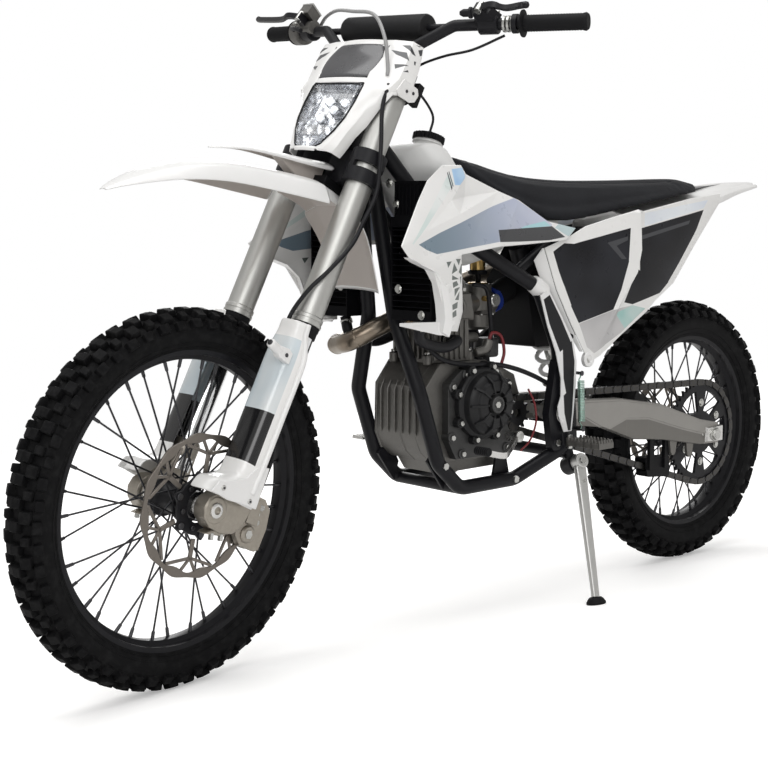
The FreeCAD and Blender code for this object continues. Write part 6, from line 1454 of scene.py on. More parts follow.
def engineBody():
    form = engineForm
    half = form["half"]
    shape = Shape().slab(form["case"], -half, 0.046).slab(form["caseLeft"], 0.046, half)
    shape.slab([(0.700, 0.318), (0.870, 0.318), (0.892, 0.350), (0.690, 0.350)], -0.052, 0.052)
    for y in (-half - 0.002, -0.003, half - 0.004):
        grown = [(0.797 + (x - 0.797) * 1.012,
                  0.445 + (z - 0.445) * 1.012) for x, z in (form["case"] if y < 0.05 else form["caseLeft"])]
        shape.slab(grown, y, y + 0.006)
    shape.slab(form["barrel"], -0.058, 0.058)
    shape.slab(form["head"], -0.066, 0.066)
    shape.slab(form["top"], -0.058, 0.058)
    for k in range(7):
        x = 0.800 + k * 0.0145
        for side in (1, -1):
            shape.block((x, side * 0.058 - 0.004, 0.550), (x + 0.0045, side * 0.058 + 0.004, 0.628))
    for k in range(8):
        y = -0.052 + k * 0.0143
        shape.block((0.893, y, 0.552), (0.900, y + 0.004, 0.628))
        shape.block((0.905, y, 0.640), (0.910, y + 0.004, 0.676))
    for k in range(6):
        y = -0.056 + k * 0.0205
        shape.slab([(0.914, 0.380), (0.930, 0.400), (0.935, 0.408), (0.934, 0.490), (0.922, 0.512)], y, y + 0.004)
    for x, z in ((0.780, 0.549), (0.900, 0.549), (0.780, 0.634), (0.902, 0.634)):
        for side in (1, -1):
            shape.rod((x, side * 0.050, z - 0.006), (x, side * 0.050, z + 0.014), 0.009, 16)
            shape.rod((x, side * 0.050, z + 0.014), (x, side * 0.050, z + 0.020), 0.0062, 6, 1)
    for x, z in ((0.822, 0.716), (0.882, 0.716), (0.812, 0.692), (0.895, 0.690)):
        for side in (1, -1):
            shape.boss(x, z, side * 0.056, side * 0.064, 0.0085, 20)
            shape.boss(x, z, side * 0.064, side * 0.068, 0.0058, 6, 1)
    for side in (1, -1):
        place = move(0.832, side * 0.060, 0.655) @ spin(0 if side > 0 else 180, "X")
        shape.lathe([(0.0245, 0.0), (0.0245, 0.009), (0.0215, 0.012), (0.016, 0.012), (0.0145, 0.006),
                     (0.0001, 0.004)], 36, 0, place)
    shape.tube([(0.752, 0.040, 0.590), (0.790, 0.040, 0.590)], [0.010, 0.012], 20)
    shape.tube(bent([(0.776, 0.062, 0.560), (0.752, 0.070, 0.566), (0.744, 0.070, 0.586)], 0.012), 0.010, 18)
    shape.tube([(0.900, 0, 0.650), (0.912, 0, 0.650)], [0.032, 0.026], 32)
    shape.rod((0.700, 0.020, 0.545), (0.700, 0.020, 0.585), 0.026, 28, 2, chamfer=0.003)
    shape.block((0.742, -0.040, 0.520), (0.780, 0.010, 0.560), 2)
    fit("engine", shape, "chassis", ["cast alloy", "bolt steel", "dark cast alloy"], ["engine"],
        bevel=0.0018, sharp=34)


def roundCover(shape, centre, side, radius, deep, ribs):
    place = move(*centre) @ spin(0 if side > 0 else 180, "X")
    shape.lathe([(radius + 0.004, -0.036), (radius + 0.004, -0.004), (radius + 0.001, 0.0), (radius - 0.004, 0.002),
                 (radius - 0.006, deep * 0.42), (radius - 0.012, deep * 0.62), (radius * 0.72, deep * 0.70),
                 (radius * 0.68, deep * 0.84), (radius * 0.40, deep * 0.90), (radius * 0.38, deep * 0.70),
                 (radius * 0.30, deep * 0.66), (0.0001, deep * 0.66)], 72, 0, place)
    for k in range(ribs):
        turn = place @ Matrix.Rotation(fullTurn * k / ribs, 4, "Y")
        shape.loft([[(radius * 0.34, deep * 0.60, -0.0022), (radius * 0.34, deep * 0.93, -0.0016),
                     (radius * 0.34, deep * 0.93, 0.0016), (radius * 0.34, deep * 0.60, 0.0022)],
                    [(radius * 0.70, deep * 0.5, -0.003), (radius * 0.70, deep * 0.97, -0.002),
                     (radius * 0.70, deep * 0.97, 0.002), (radius * 0.70, deep * 0.5, 0.003)],
                    [(radius - 0.007, deep * 0.2, -0.0034), (radius - 0.007, deep * 0.60, -0.0024),
                     (radius - 0.007, deep * 0.60, 0.0024), (radius - 0.007, deep * 0.2, 0.0034)]], 0, turn)
    shape.lathe([(0.0175, deep * 0.60), (0.0175, deep * 0.95), (0.0155, deep), (0.0120, deep), (0.0115, deep * 0.92),
                 (0.0001, deep * 0.92)], 32, 1, place)
    shape.lathe([(0.0075, deep * 0.90), (0.0075, deep * 0.97), (0.0001, deep * 0.97)], 6, 2, place)


def boltRing(shape, centre, side, radius, count, start, slot):
    for k in range(count):
        a = radians(start) + fullTurn * k / count
        x, z = centre[0] + radius * cos(a), centre[2] + radius * sin(a)
        y = centre[1]
        shape.boss(x, z, y - side * 0.034, y - side * 0.001, 0.0105, 20, chamfer=0.001)
        shape.boss(x, z, y - side * 0.001, y + side * 0.004, 0.0058, 6, slot)


def engineCovers():
    shape = Shape()
    centre = engineForm["cover"]
    roundCover(shape, centre, 1, 0.069, 0.038, 10)
    boltRing(shape, centre, 1, 0.0765, 8, 18, 2)
    shape.slab([(0.700, 0.350), (0.862, 0.352), (0.884, 0.392), (0.884, 0.505), (0.846, 0.532), (0.742, 0.530),
                (0.716, 0.500), (0.726, 0.432), (0.700, 0.388)], 0.074, 0.094, 1)
    for x, z in ((0.874, 0.500), (0.876, 0.398), (0.846, 0.362), (0.716, 0.362), (0.752, 0.523), (0.836, 0.522)):
        shape.boss(x, z, 0.074, 0.098, 0.0105, 20, 1, chamfer=0.0012)
        shape.boss(x, z, 0.098, 0.1025, 0.0062, 6, 2)
    right = (0.800, -0.106, 0.450)
    roundCover(shape, right, -1, 0.066, 0.040, 8)
    shape.slab([(0.705, 0.352), (0.868, 0.362), (0.884, 0.450), (0.866, 0.512), (0.800, 0.533), (0.735, 0.510),
                (0.690, 0.470), (0.678, 0.420), (0.690, 0.380)],
               -0.106, -0.074, 1)
    for k in range(10):
        a = fullTurn * k / 10 + 0.2
        x, z = 0.787 + 0.092 * cos(a), 0.443 + 0.079 * sin(a)
        shape.boss(x, z, -0.106, -0.111, 0.0062, 6, 2)
    place = move(0.725, -0.104, 0.420) @ spin(180, "X")
    shape.lathe([(0.047, 0.0), (0.045, 0.012), (0.038, 0.015), (0.022, 0.015), (0.020, 0.011), (0.0001, 0.011)], 48, 1,
                place)
    fit("engine covers", shape, "chassis", ["black cover", "dark cast alloy", "bolt steel"], ["engine_covers"],
        bevel=0.0012, sharp=34)


def carburettor():
    shape = Shape()
    shape.tube([(0.598, 0, 0.690), (0.625, 0, 0.682), (0.660, 0, 0.668)], [0.027, 0.026, 0.025], 28, 2)
    shape.tube([(0.655, 0, 0.6655), (0.668, 0, 0.6615)], 0.0277, 28, 3)
    shape.tube([(0.665, 0, 0.660), (0.745, 0, 0.657)], 0.0235, 28)
    shape.tube([(0.748, 0, 0.657), (0.790, 0, 0.655)], [0.025, 0.0265], 28, 2)
    shape.rod((0.752, 0, 0.657), (0.760, 0, 0.657), 0.0272, 28, 1)
    shape.rod((0.705, 0, 0.640), (0.705, 0, 0.698), 0.029, 28, chamfer=0.002)
    shape.rod((0.705, 0, 0.602), (0.705, 0, 0.640), 0.0265, 28, chamfer=0.006)
    shape.block((0.684, -0.032, 0.636), (0.726, 0.032, 0.642), 0)
    for x in (0.688, 0.722):
        for y in (-0.027, 0.027):
            shape.rod((x, y, 0.633), (x, y, 0.638), 0.0036, 12, 1)
    shape.boss(0.690, 0.664, 0.024, 0.040, 0.014, 24, 1, chamfer=0.002)
    shape.boss(0.714, 0.668, 0.020, 0.036, 0.006, 12, 4)
    shape.rod((0.705, 0, 0.696), (0.705, 0, 0.701), 0.022, 24, 4, chamfer=0.002)
    fit("carburettor", shape, "chassis", ["cast alloy", "bolt steel", "soft black rubber", "blue band",
                                         "brass"], ["carburettor"], bevel=0.0009, sharp=34)
    valve = Shape().rod((0.712, 0.006, 0.726), (0.712, 0.006, 0.752), 0.0165, 28, chamfer=0.002)
    valve.rod((0.712, 0.006, 0.718), (0.712, 0.006, 0.727), 0.020, 28, 1, chamfer=0.002)
    valve.tube(smooth([(0.712, 0.006, 0.720), (0.708, 0.004, 0.706), (0.705, 0, 0.698)], 4), 0.006, 12, 1)
    fit("fuel tap", valve, "chassis", ["brass", "black plastic"])


def engineHoses():
    coolant = [(0.975, 0.114, 0.6364), (0.970, 0.103, 0.600), (0.906, 0.102, 0.582), (0.860, 0.094, 0.592),
               (0.860, 0.0583, 0.592)]
    shape = Shape().tube(smooth(coolant, 8), 0.011, 18)
    for p, q in (((0.9745, 0.1125, 0.630), (0.9735, 0.110, 0.621)), ((0.860, 0.074, 0.592), (0.860, 0.066, 0.592))):
        shape.tube([p, q], 0.0123, 18, 1)
    both = shape.both()
    vent = [(0.8452, 0, 1.0068), (0.838, 0, 1.044), (0.884, 0, 1.092), (0.946, 0, 1.134), (0.984, 0, 1.130),
            (0.989, 0, 1.1175)]
    both.tube(smooth(vent, 8), 0.0026, 10)
    fit("hoses", both, "chassis", ["rubber hose", "bolt steel"], ["hoses"], sharp=45)
    loose = Shape()
    loose.tube(smooth([(0.942, 0.070, 0.612), (0.925, 0.082, 0.580), (0.895, 0.090, 0.556), (0.829, 0.092, 0.541),
                       (0.752, 0.094, 0.537), (0.690, 0.094, 0.524), (0.640, 0.100, 0.506), (0.598, 0.106, 0.486)], 6),
                       0.005, 12)
    loose.tube(smooth([(0.770, 0.050, 0.700), (0.735, 0.054, 0.690), (0.720, 0.050, 0.640), (0.718, 0.052, 0.590),
                       (0.730, 0.056, 0.560)], 6), 0.0045, 12)
    loose.tube(smooth([(0.845, 0.070, 0.700), (0.862, 0.078, 0.740), (0.850, 0.070, 0.790), (0.830, 0.050, 0.820)], 6),
               0.006, 12)
    loose.tube(smooth([(0.744, 0.070, 0.584), (0.735, 0.072, 0.600), (0.712, 0.074, 0.592), (0.706, 0.078, 0.560),
                       (0.716, 0.080, 0.535)], 6), 0.0034, 10, 1)
    loose.tube(smooth([(0.664, 0.108, 0.480), (0.648, 0.111, 0.450), (0.642, 0.111, 0.410), (0.658, 0.109, 0.372),
                       (0.684, 0.106, 0.352)], 6), 0.0022, 10, 1)
    fit("loose hoses", loose, "chassis", ["rubber hose", "red hose"], sharp=45)


def exhaust():
    line = [(0.908, 0, 0.648), (0.985, 0, 0.622), (1.036, -0.030, 0.592), (1.006, -0.112, 0.579),
            (0.960, -0.138, 0.585), (0.740, -0.158, 0.620), (0.5785, -0.176, 0.6955), (0.4735, -0.1768, 0.7122)]
    path = bent(line, 0.055, 8)
    shape = Shape().tube(path, 0.019, 28)
    for k in (12, 20, 26, 44, 52):
        if k + 1 < len(path):
            run = (path[k + 1] - path[k]).normalized()
            shape.tube([path[k] - run * 0.0016, path[k], path[k] + run * 0.0016], [0.0191, 0.0199, 0.0191], 28)
    shape.tube([(0.908, 0, 0.648), (0.916, 0, 0.6455)], 0.029, 6, 1)
    shape.tube([(0.914, 0, 0.6462), (0.922, 0, 0.6437)], 0.0235, 28, 1)
    fit("header pipe", shape, "chassis", ["heated steel", "flange steel"], ["header_pipe"], sharp=40)
    start, end = Vector((0.450, -0.176, 0.716)), Vector((0.060, -0.164, 0.778))
    run = (end - start).normalized()
    side = run.cross(Vector((0, 1, 0))).normalized()
    across = side.cross(run)

    def oval(at, width, height):
        return [start + run * at + across * (width * cos(fullTurn * k / 48)) + side * (height * sin(fullTurn * k / 48))
                for k in range(48)]
    length = (end - start).length
    can = Shape().loft([oval(-0.040, 0.022, 0.022), oval(-0.020, 0.036, 0.038), oval(0.0, 0.049, 0.051),
                        oval(0.010, 0.0505, 0.052)], 1)
    can.loft([oval(0.008, 0.0515, 0.0520), oval(0.020, 0.0518, 0.0520), oval(length * 0.5, 0.0515, 0.0520),
              oval(length - 0.016, 0.0515, 0.0520), oval(length - 0.004, 0.0515, 0.0520)], 0)
    can.loft([oval(length - 0.010, 0.0520, 0.0525), oval(length, 0.0515, 0.0520), oval(length + 0.018, 0.042, 0.043),
              oval(length + 0.034, 0.032, 0.033), oval(length + 0.034, 0.026, 0.026),
              oval(length + 0.006, 0.0208, 0.0208), oval(length - 0.020, 0.0208, 0.0208)], 2)
    for at in (0.014, length - 0.020):
        can.loft([oval(at - 0.004, 0.0524, 0.0528), oval(at + 0.004, 0.0524, 0.0528)], 1)
        for k in range(10):
            a = fullTurn * k / 10
            p = start + run * at + across * (0.052 * cos(a)) + side * (0.0525 * sin(a))
            out = (across * cos(a) + side * sin(a)).normalized()
            can.rod(p, p + out * 0.0022, 0.0032, 10, 1)
    fit("silencer", can, "chassis", ["silencer skin", "bolt steel", "dark cast alloy"], ["silencer"], bevel=0.0006,
        sharp=34)


metalFinish("black cover", (0.010, 0.010, 0.011), 0.42, 0.0, 0.25, (1, 1, 1), 700, 0.25, specular=0.3)
metalFinish("flange steel", (0.30, 0.22, 0.13), 0.38, 1.0)
engineBody()
engineCovers()
carburettor()
engineHoses()
exhaust()
print("engine and exhaust are on")


# outline of the guard over each side of the frame
guardOutline = [(0.664, 0.676), (0.640, 0.690), (0.599, 0.634), (0.560, 0.579), (0.548, 0.534), (0.550, 0.481),
                (0.556, 0.425), (0.562, 0.385), (0.586, 0.385), (0.603, 0.420), (0.606, 0.440), (0.597, 0.462),
                (0.597, 0.500), (0.614, 0.556), (0.642, 0.615)]


def frameGuards():
    made = keep(Finish("guard plastic", (0.010, 0.010, 0.012), 0.45, specular=0.25))
    inner = [[(0.655, 0.668), (0.636, 0.677), (0.601, 0.628), (0.567, 0.574), (0.602, 0.556), (0.636, 0.617)],
             [(0.565, 0.577), (0.555, 0.534), (0.557, 0.481), (0.588, 0.462), (0.590, 0.500), (0.605, 0.556)],
             [(0.557, 0.482), (0.561, 0.425), (0.566, 0.387), (0.574, 0.387), (0.586, 0.425), (0.589, 0.463)]]
    dark = made.within(made.x, made.z, inner, 0.0006)
    made.set({"Base Color": made.mixed((0.74, 0.74, 0.74), (0.010, 0.010, 0.012), dark),
              "Roughness": made.noise(200) * 0.15 + 0.36})
    shape = Shape().slab(guardOutline, 0.1376, 0.1405)
    shape.boss(0.589, 0.408, 0.1395, 0.1425, 0.0055, 20, chamfer=0.0008)
    fit("frame guards", shape.both(), "chassis", ["guard plastic"], ["frame_guards"], bevel=0.0011)
    collar = Shape()
    line = [Vector((0.664, 0.1205, 0.700)), Vector((0.640, 0.1215, 0.684))]
    run = (line[1] - line[0]).normalized()
    path = [line[0] - run * 0.006, line[0], line[1], line[1] + run * 0.006]
    collar.tube(path, [0.0162, 0.0182, 0.0196, 0.0172], 28)
    fit("frame collars", collar.both(), "chassis", ["white plastic"], bevel=0.001, sharp=34)


def frameBits():
    shape = Shape()
    shape.boss(0.577, 0.425, 0.131, 0.137, 0.019, 6, chamfer=0.001)
    shape.boss(0.577, 0.425, 0.131, 0.133, 0.024, 28, chamfer=0.0008)
    for x, z in ((0.556, 0.510), (0.548, 0.362), (0.596, 0.362)):
        shape.boss(x, z, 0.131, 0.135, 0.0075, 6)
    for x, y, z in ((0.905, 0.0925, 0.345), (0.700, 0.093, 0.294)):
        shape.boss(x, z, y - 0.006, y + 0.0185, 0.0075, 6)
    shape.slab([(0.880, 0.290), (0.925, 0.352), (0.895, 0.385), (0.868, 0.330)], 0.070, 0.076, 1)
    shape.slab([(0.690, 0.300), (0.740, 0.300), (0.728, 0.350), (0.702, 0.350)], 0.074, 0.080, 1)
    fit("frame bolts", shape.both(), "chassis", ["bolt steel", "frame paint"], bevel=0.0008)
    # solids that are shown as they are get soft edges
    for name in ("frame", "airbox", "fork_clamps", "handlebar"):
        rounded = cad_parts[name].modifiers.new("edges", "BEVEL")
        rounded.width, rounded.segments, rounded.limit_method, rounded.angle_limit = 0.0012, 2, "ANGLE", radians(35)


frameGuards()
frameBits()
print("frame guards are on")


# rear end: the swingarm's outline on its outer face, from the pivot to the axle and back
armOutline = [(0.601, 0.411), (0.601, 0.439), (0.517, 0.4400), (0.470, 0.4405), (0.350, 0.4335), (0.203, 0.4085),
              (0.046, 0.357), (-0.026, 0.343), (-0.028, 0.293), (0.044, 0.2955), (0.200, 0.3235), (0.300, 0.3345),
              (0.410, 0.3735), (0.500, 0.386)]
armCrease = [(0.560, 0.412), (0.470, 0.398), (0.425, 0.376), (0.395, 0.366), (0.330, 0.384), (0.250, 0.377),
             (0.120, 0.340), (0.030, 0.318)]


def swingarm():
    shape = Shape()
    rings = []
    for y, grow in ((0.082, 0.985), (0.0835, 1.0), (0.0985, 1.0), (0.1035, 0.955)):
        rings.append([(0.286 + (x - 0.286) * (1 if grow == 1 else 0.995), y,
                       0.375 + (x - 0.286) * 0.13 + (z - 0.375 - (x - 0.286) * 0.13) * grow)
                      for x, z in armOutline])
    shape.loft(rings)
    upper = [(x, z + 0.003) for x, z in armCrease[::-1]] + [(0.560, 0.432), (0.470, 0.434), (0.350, 0.4275),
                                                            (0.203, 0.4035), (0.046, 0.352), (-0.010, 0.338)]
    shape.slab(upper, 0.100, 0.1052)
    for x in (0.140, 0.075):
        z = 0.312 if x > 0.1 else 0.300
        shape.slab([(x - 0.016, z + 0.012), (x + 0.016, z + 0.016), (x + 0.009, z - 0.026), (x + 0.004, z - 0.032),
                    (x - 0.004, z - 0.032), (x - 0.009, z - 0.026)], 0.086, 0.094)
    both = shape.both()
    both.block((0.405, -0.084, 0.386), (0.495, 0.084, 0.433))
    both.boss(0.577, 0.425, -0.104, -0.060, 0.021, 28).boss(0.577, 0.425, 0.060, 0.104, 0.021, 28)
    fit("swingarm", both, "chassis", ["swingarm alloy"], ["swingarm"], bevel=0.002, bevelSteps=3)
    guard = Shape()
    guard.slab([(0.598, 0.446), (0.520, 0.4455), (0.440, 0.4435), (0.440, 0.4405), (0.520, 0.4410), (0.598, 0.440)],
               0.054, 0.078)
    guard.slab([(0.600, 0.408), (0.560, 0.402), (0.470, 0.388), (0.470, 0.384), (0.562, 0.397), (0.604, 0.404)], 0.054,
               0.078)
    fit("chain slider", guard, "chassis", ["black plastic"], bevel=0.001)


def axleBits():
    shape = Shape()
    for side in (1, -1):
        y = side * 0.1035
        shape.loft([[(-0.032, y, 0.298), (0.030, y, 0.300), (0.030, y, 0.336), (-0.032, y, 0.338)],
                    [(-0.032, y + side * 0.008, 0.300), (0.027, y + side * 0.008, 0.302),
                     (0.027, y + side * 0.008, 0.334), (-0.032, y + side * 0.008, 0.336)]])
        shape.tube([(0.026, y - side * 0.006, 0.318), (0.050, y - side * 0.006, 0.320)], 0.004, 12, 1)
        shape.rod((0.034, y - side * 0.006, 0.3187), (0.040, y - side * 0.006, 0.3193), 0.0075, 6, 1)
        shape.boss(0.0, 0.318, y + side * 0.0075, y + side * 0.0105, 0.0175, 28, 1, chamfer=0.0006)
        shape.boss(0.0, 0.318, y + side * 0.010, y + side * 0.016, 0.0150, 6, 1, chamfer=0.0008)
    shape.boss(0.0, 0.318, -0.1205, 0.1205, 0.0098, 24, 1)
    for low, high in ((0.0715, 0.0815), (-0.0815, -0.060)):
        shape.boss(0.0, 0.318, low, high, 0.0178, 24, 2)
    fit("rear axle", shape, "chassis", ["machined alloy", "bolt steel", "black anodised"], ["rear_axle"],
        bevel=0.0007)


# the chain's own run: round both chain wheels and straight between them
chainRun = {
    "front": (0.655, 0.425, 0.03317), "rear": (0.0, 0.318, 0.12137), "line": 0.066, "pitch": 0.015875,
    "pin": (0.0028, 0.0077), "roller": (0.0049, 0.0040), "plateEnd": 0.0071, "plate": 0.0017,
}


def chainPoints():
    (ax, az, small), (bx, bz, large) = chainRun["front"], chainRun["rear"]
    length = hypot(ax - bx, az - bz)
    tilt, spread = atan2(az - bz, ax - bx), acos((large - small) / length)

    def at(x, z, r, a):
        return Vector((x + r * cos(a), chainRun["line"], z + r * sin(a)))
    fine = [at(ax, az, small, tilt + spread - 2 * spread * k / 60) for k in range(61)]
    fine += [at(bx, bz, large, tilt - spread - (fullTurn - 2 * spread) * k / 240) for k in range(241)]
    fine.append(fine[0])
    spans = [(b - a).length for a, b in zip(fine, fine[1:])]
    total = sum(spans)
    count = round(total / chainRun["pitch"] / 2) * 2
    points, i, walked = [], 0, 0.0
    for k in range(count):
        goal = total * k / count
        while walked + spans[i] < goal:
            walked += spans[i]
            i += 1
        points.append(fine[i].lerp(fine[i + 1], (goal - walked) / spans[i]))
    return points


def chain():
    shape = Shape()
    points, line = chainPoints(), chainRun["line"]
    for i, p in enumerate(points):
        q = points[(i + 1) % len(points)]
        run = (q - p).normalized()
        up = Vector((-run.z, 0, run.x))
        outer = i % 2
        for (radius, half), sides in ((chainRun["pin"], 10), (chainRun["roller"], 12)):
            shape.boss(p.x, p.z, line - half, line + half, radius, sides, 1)
        outline = []
        for k in range(12):
            a = pi / 2 + pi * k / 5 if k < 6 else -pi / 2 + pi * (k - 6) / 5
            centre = p if k < 6 else q
            spot = centre + (run * cos(a) + up * sin(a)) * chainRun["plateEnd"]
            outline.append((spot.x, spot.z))
        near = 0.0058 if outer else 0.0040
        for side in (1, -1):
            shape.slab(outline, line + side * near, line + side * (near + chainRun["plate"]), 0 if outer else 1)
    fit("chain", shape, "chassis", ["chain steel", "dark bolt steel"], ["chain"])


def sprocketBits():
    shape = Shape()
    for k in range(6):
        x, _, z = polar(0.072, radians(60 * k + 30))
        shape.boss(x, z, 0.0695, 0.0735, 0.0068, 6)
        shape.boss(x, z, 0.0695, 0.0708, 0.0095, 20)
    fit("sprocket bolts", shape, "rear_wheel", ["bolt steel"])


def rearBrake():
    shape = Shape()
    turn = move(0.0918, -0.060, 0.3874) @ spin(-37, "Y")
    shape.slab([(-0.030, -0.026), (0.028, -0.026), (0.034, -0.012), (0.034, 0.016), (0.020, 0.028), (-0.026, 0.028),
                (-0.034, 0.012), (-0.034, -0.012)],
               -0.020, -0.0035, 0, turn)
    shape.slab([(-0.026, -0.022), (0.024, -0.022), (0.028, 0.016), (-0.024, 0.024)], 0.0035, 0.016, 0, turn)
    for x, z in ((-0.024, 0.022), (0.022, 0.021)):
        shape.boss(x, z, -0.024, 0.016, 0.0065, 16, 1, turn)
    shape.boss(0.0, 0.0, -0.026, -0.020, 0.013, 24, 0, turn, chamfer=0.001)
    fit("rear caliper", shape, "chassis", ["dark cast alloy", "bolt steel"], ["rear_caliper"], bevel=0.0015)


def shockUnit():
    low, top = Vector((0.440, 0, 0.438)), Vector((0.580, 0, 0.775))
    run = (top - low).normalized()
    side = Vector((-run.z, 0, run.x))
    shape = Shape()

    def at(share):
        return low.lerp(top, share)
    shape.tube([at(0.0), at(0.10), at(0.102), at(0.125), at(0.128), at(0.60)],
               [0.017, 0.017, 0.030, 0.030, 0.0075, 0.0075], 28, 1)
    shape.tube([at(0.52), at(0.90), at(0.902), at(1.0)], [0.0195, 0.0195, 0.024, 0.022], 32)
    shape.tube([at(0.835), at(0.836), at(0.868), at(0.869)], [0.020, 0.031, 0.031, 0.020], 32, 2)
    turns, steps = 7.5, 20
    coil = []
    for i in range(int(turns * steps) + 1):
        a = fullTurn * i / steps
        share = 0.135 + 0.69 * i / (turns * steps)
        coil.append(at(share) + (side * cos(a) + Vector((0, sin(a), 0))) * 0.0262)
    shape.tube(coil, 0.0052, 10, 2)
    fit("shock", shape, "chassis", ["black anodised", "bolt steel", "white plastic"], ["shock"], sharp=35)


swingarm()
axleBits()
chain()
sprocketBits()
rearBrake()
shockUnit()
print("swingarm, chain and rear axle are on")


# footpegs, pedals, side stand and its spring
def pegs():
    shape = Shape()
    for x in (0.543, 0.584):
        shape.block((x, 0.150, 0.358), (x + 0.005, 0.238, 0.370))
    for y in (0.234, 0.150, 0.172, 0.194, 0.214):
        shape.block((0.543, y, 0.358), (0.589, y + 0.005, 0.370))
    shape.loft([[(0.556, 0.138, 0.352), (0.578, 0.138, 0.352), (0.578, 0.138, 0.372), (0.556, 0.138, 0.372)],
                [(0.543, 0.156, 0.356), (0.589, 0.156, 0.356), (0.589, 0.156, 0.370), (0.543, 0.156, 0.370)]])
    teeth = [(x, 0.152 + 0.0092 * k, 0.0024, 0.0036) for x in (0.5455, 0.5865) for k in range(10)]
    teeth += [(0.5535 + 0.0085 * k, y, 0.0036, 0.0024) for y in (0.2365, 0.1965) for k in range(4)]
    for x, y, a, b in teeth:
        shape.loft([[(x - a, y - b, 0.369), (x + a, y - b, 0.369), (x + a, y + b, 0.369), (x - a, y + b, 0.369)],
                    [(x - a * 0.6, y - b * 0.5, 0.3765), (x + a * 0.6, y - b * 0.5, 0.3765),
                     (x + a * 0.6, y + b * 0.5, 0.3765), (x - a * 0.6, y + b * 0.5, 0.3765)]])
    shape.rod((0.567, 0.140, 0.348), (0.567, 0.140, 0.378), 0.0055, 16, 1)
    fit("footpegs", shape.both(), "chassis", ["cast alloy", "bolt steel"], ["footpegs"], bevel=0.0007)


# a bar of square section along points, with its half width and half height
def flatBar(shape, path, half, high):
    shape.loft([[(p.x, p.y - half, p.z - high), (p.x, p.y + half, p.z - high), (p.x, p.y + half, p.z + high),
                 (p.x, p.y - half, p.z + high)] for p in path])


def footControls():
    lever = Shape()
    path = smooth([(0.706, 0.118, 0.386), (0.752, 0.140, 0.368), (0.800, 0.164, 0.362), (0.872, 0.164, 0.380)], 6)
    flatBar(lever, path, 0.0045, 0.0065)
    lever.boss(0.706, 0.386, 0.074, 0.126, 0.0118, chamfer=0.001)
    lever.boss(0.706, 0.386, 0.118, 0.1265, 0.0062, 6, 1)
    ribs = [(0.872, 0.160 + 0.0026 * k, 0.380) for k in range(15)]
    lever.tube(ribs, [0.0090 if k % 2 else 0.0076 for k in range(15)], 20, 2)
    pedal = [(0.602, -0.146, 0.372), (0.660, -0.156, 0.348), (0.760, -0.160, 0.335), (0.830, -0.154, 0.350),
             (0.880, -0.148, 0.372)]
    flatBar(lever, smooth(pedal, 6), 0.0045, 0.0068)
    lever.boss(0.602, 0.372, -0.1313, -0.156, 0.0108, chamfer=0.001)
    lever.block((0.868, -0.168, 0.372), (0.912, -0.134, 0.376))
    for k in range(5):
        x = 0.870 + k * 0.0095
        lever.slab([(x, 0.376), (x + 0.004, 0.376), (x + 0.003, 0.380), (x + 0.001, 0.380)], -0.167, -0.135)
    fit("foot controls", lever, "chassis", ["machined alloy", "bolt steel", "soft black rubber"], ["foot_controls"],
        bevel=0.0009, sharp=34)


def standPlace():
    # the leg runs down from its pin; the foot lies flat on the floor
    pin = Vector((0.543, 0.146, 0.318))
    foot = chassisPlace.inverted() @ Vector((0, 0, 0))
    up = (chassisPlace.inverted().to_3x3() @ Vector((0, 0, 1))).normalized()
    low = Vector((0.604, 0.248, 0))
    low.z = ((foot - low).dot(up)) / up.z
    return pin, low, up


def sideStand():
    pin, foot, up = standPlace()
    ankle = foot + up * 0.014
    run = (ankle - pin).normalized()
    folded = Vector((-1.0, 0.1, 0.24)).normalized()
    axis = run.cross(folded).normalized()
    wide = axis.cross(run).normalized()
    shape = Shape()
    length = (ankle - pin).length
    rings = []
    for share, a, b in ((0.02, 0.0125, 0.006), (0.06, 0.0135, 0.0075), (0.30, 0.0118, 0.0078), (0.70, 0.0095, 0.0068),
                        (0.96, 0.0082, 0.006), (1.0, 0.008, 0.006)):
        p = pin + run * length * share
        ring = []
        for k in range(20):
            t = fullTurn * k / 20
            c, s = cos(t), sin(t)
            ring.append(p + wide * a * copysign(abs(c) ** 0.55, c) + axis * b * copysign(abs(s) ** 0.55, s))
        rings.append(ring)
    shape.loft(rings)
    # the pin with its head, the spring's peg and the foot
    shape.tube([pin - axis * 0.013, pin - axis * 0.011, pin + axis * 0.011, pin + axis * 0.013],
               [0.0145, 0.0160, 0.0160, 0.0145], 32)
    shape.rod(pin + axis * 0.0135, pin + axis * 0.0165, 0.0080, 6, 1)
    shape.tube([pin + run * 0.045 + axis * 0.006, pin + run * 0.045 + axis * 0.016], 0.0035, 12, 1)
    ahead, out = (wide - up * wide.dot(up)).normalized(), up.cross(wide).normalized()
    rings = []
    for r, h in ((0.0215, 0.0), (0.0220, 0.004), (0.0175, 0.011), (0.0130, 0.0145)):
        turns = [fullTurn * k / 24 for k in range(24)]
        rings.append([foot + up * h + ahead * r * 0.98 * cos(t) + out * r * 0.86 * sin(t) for t in turns])
    shape.loft(rings, 2)
    fit("side stand", shape, "side_stand", ["stand alloy", "bolt steel", "soft black rubber"], ["side_stand"],
        bevel=0.0008, sharp=40)


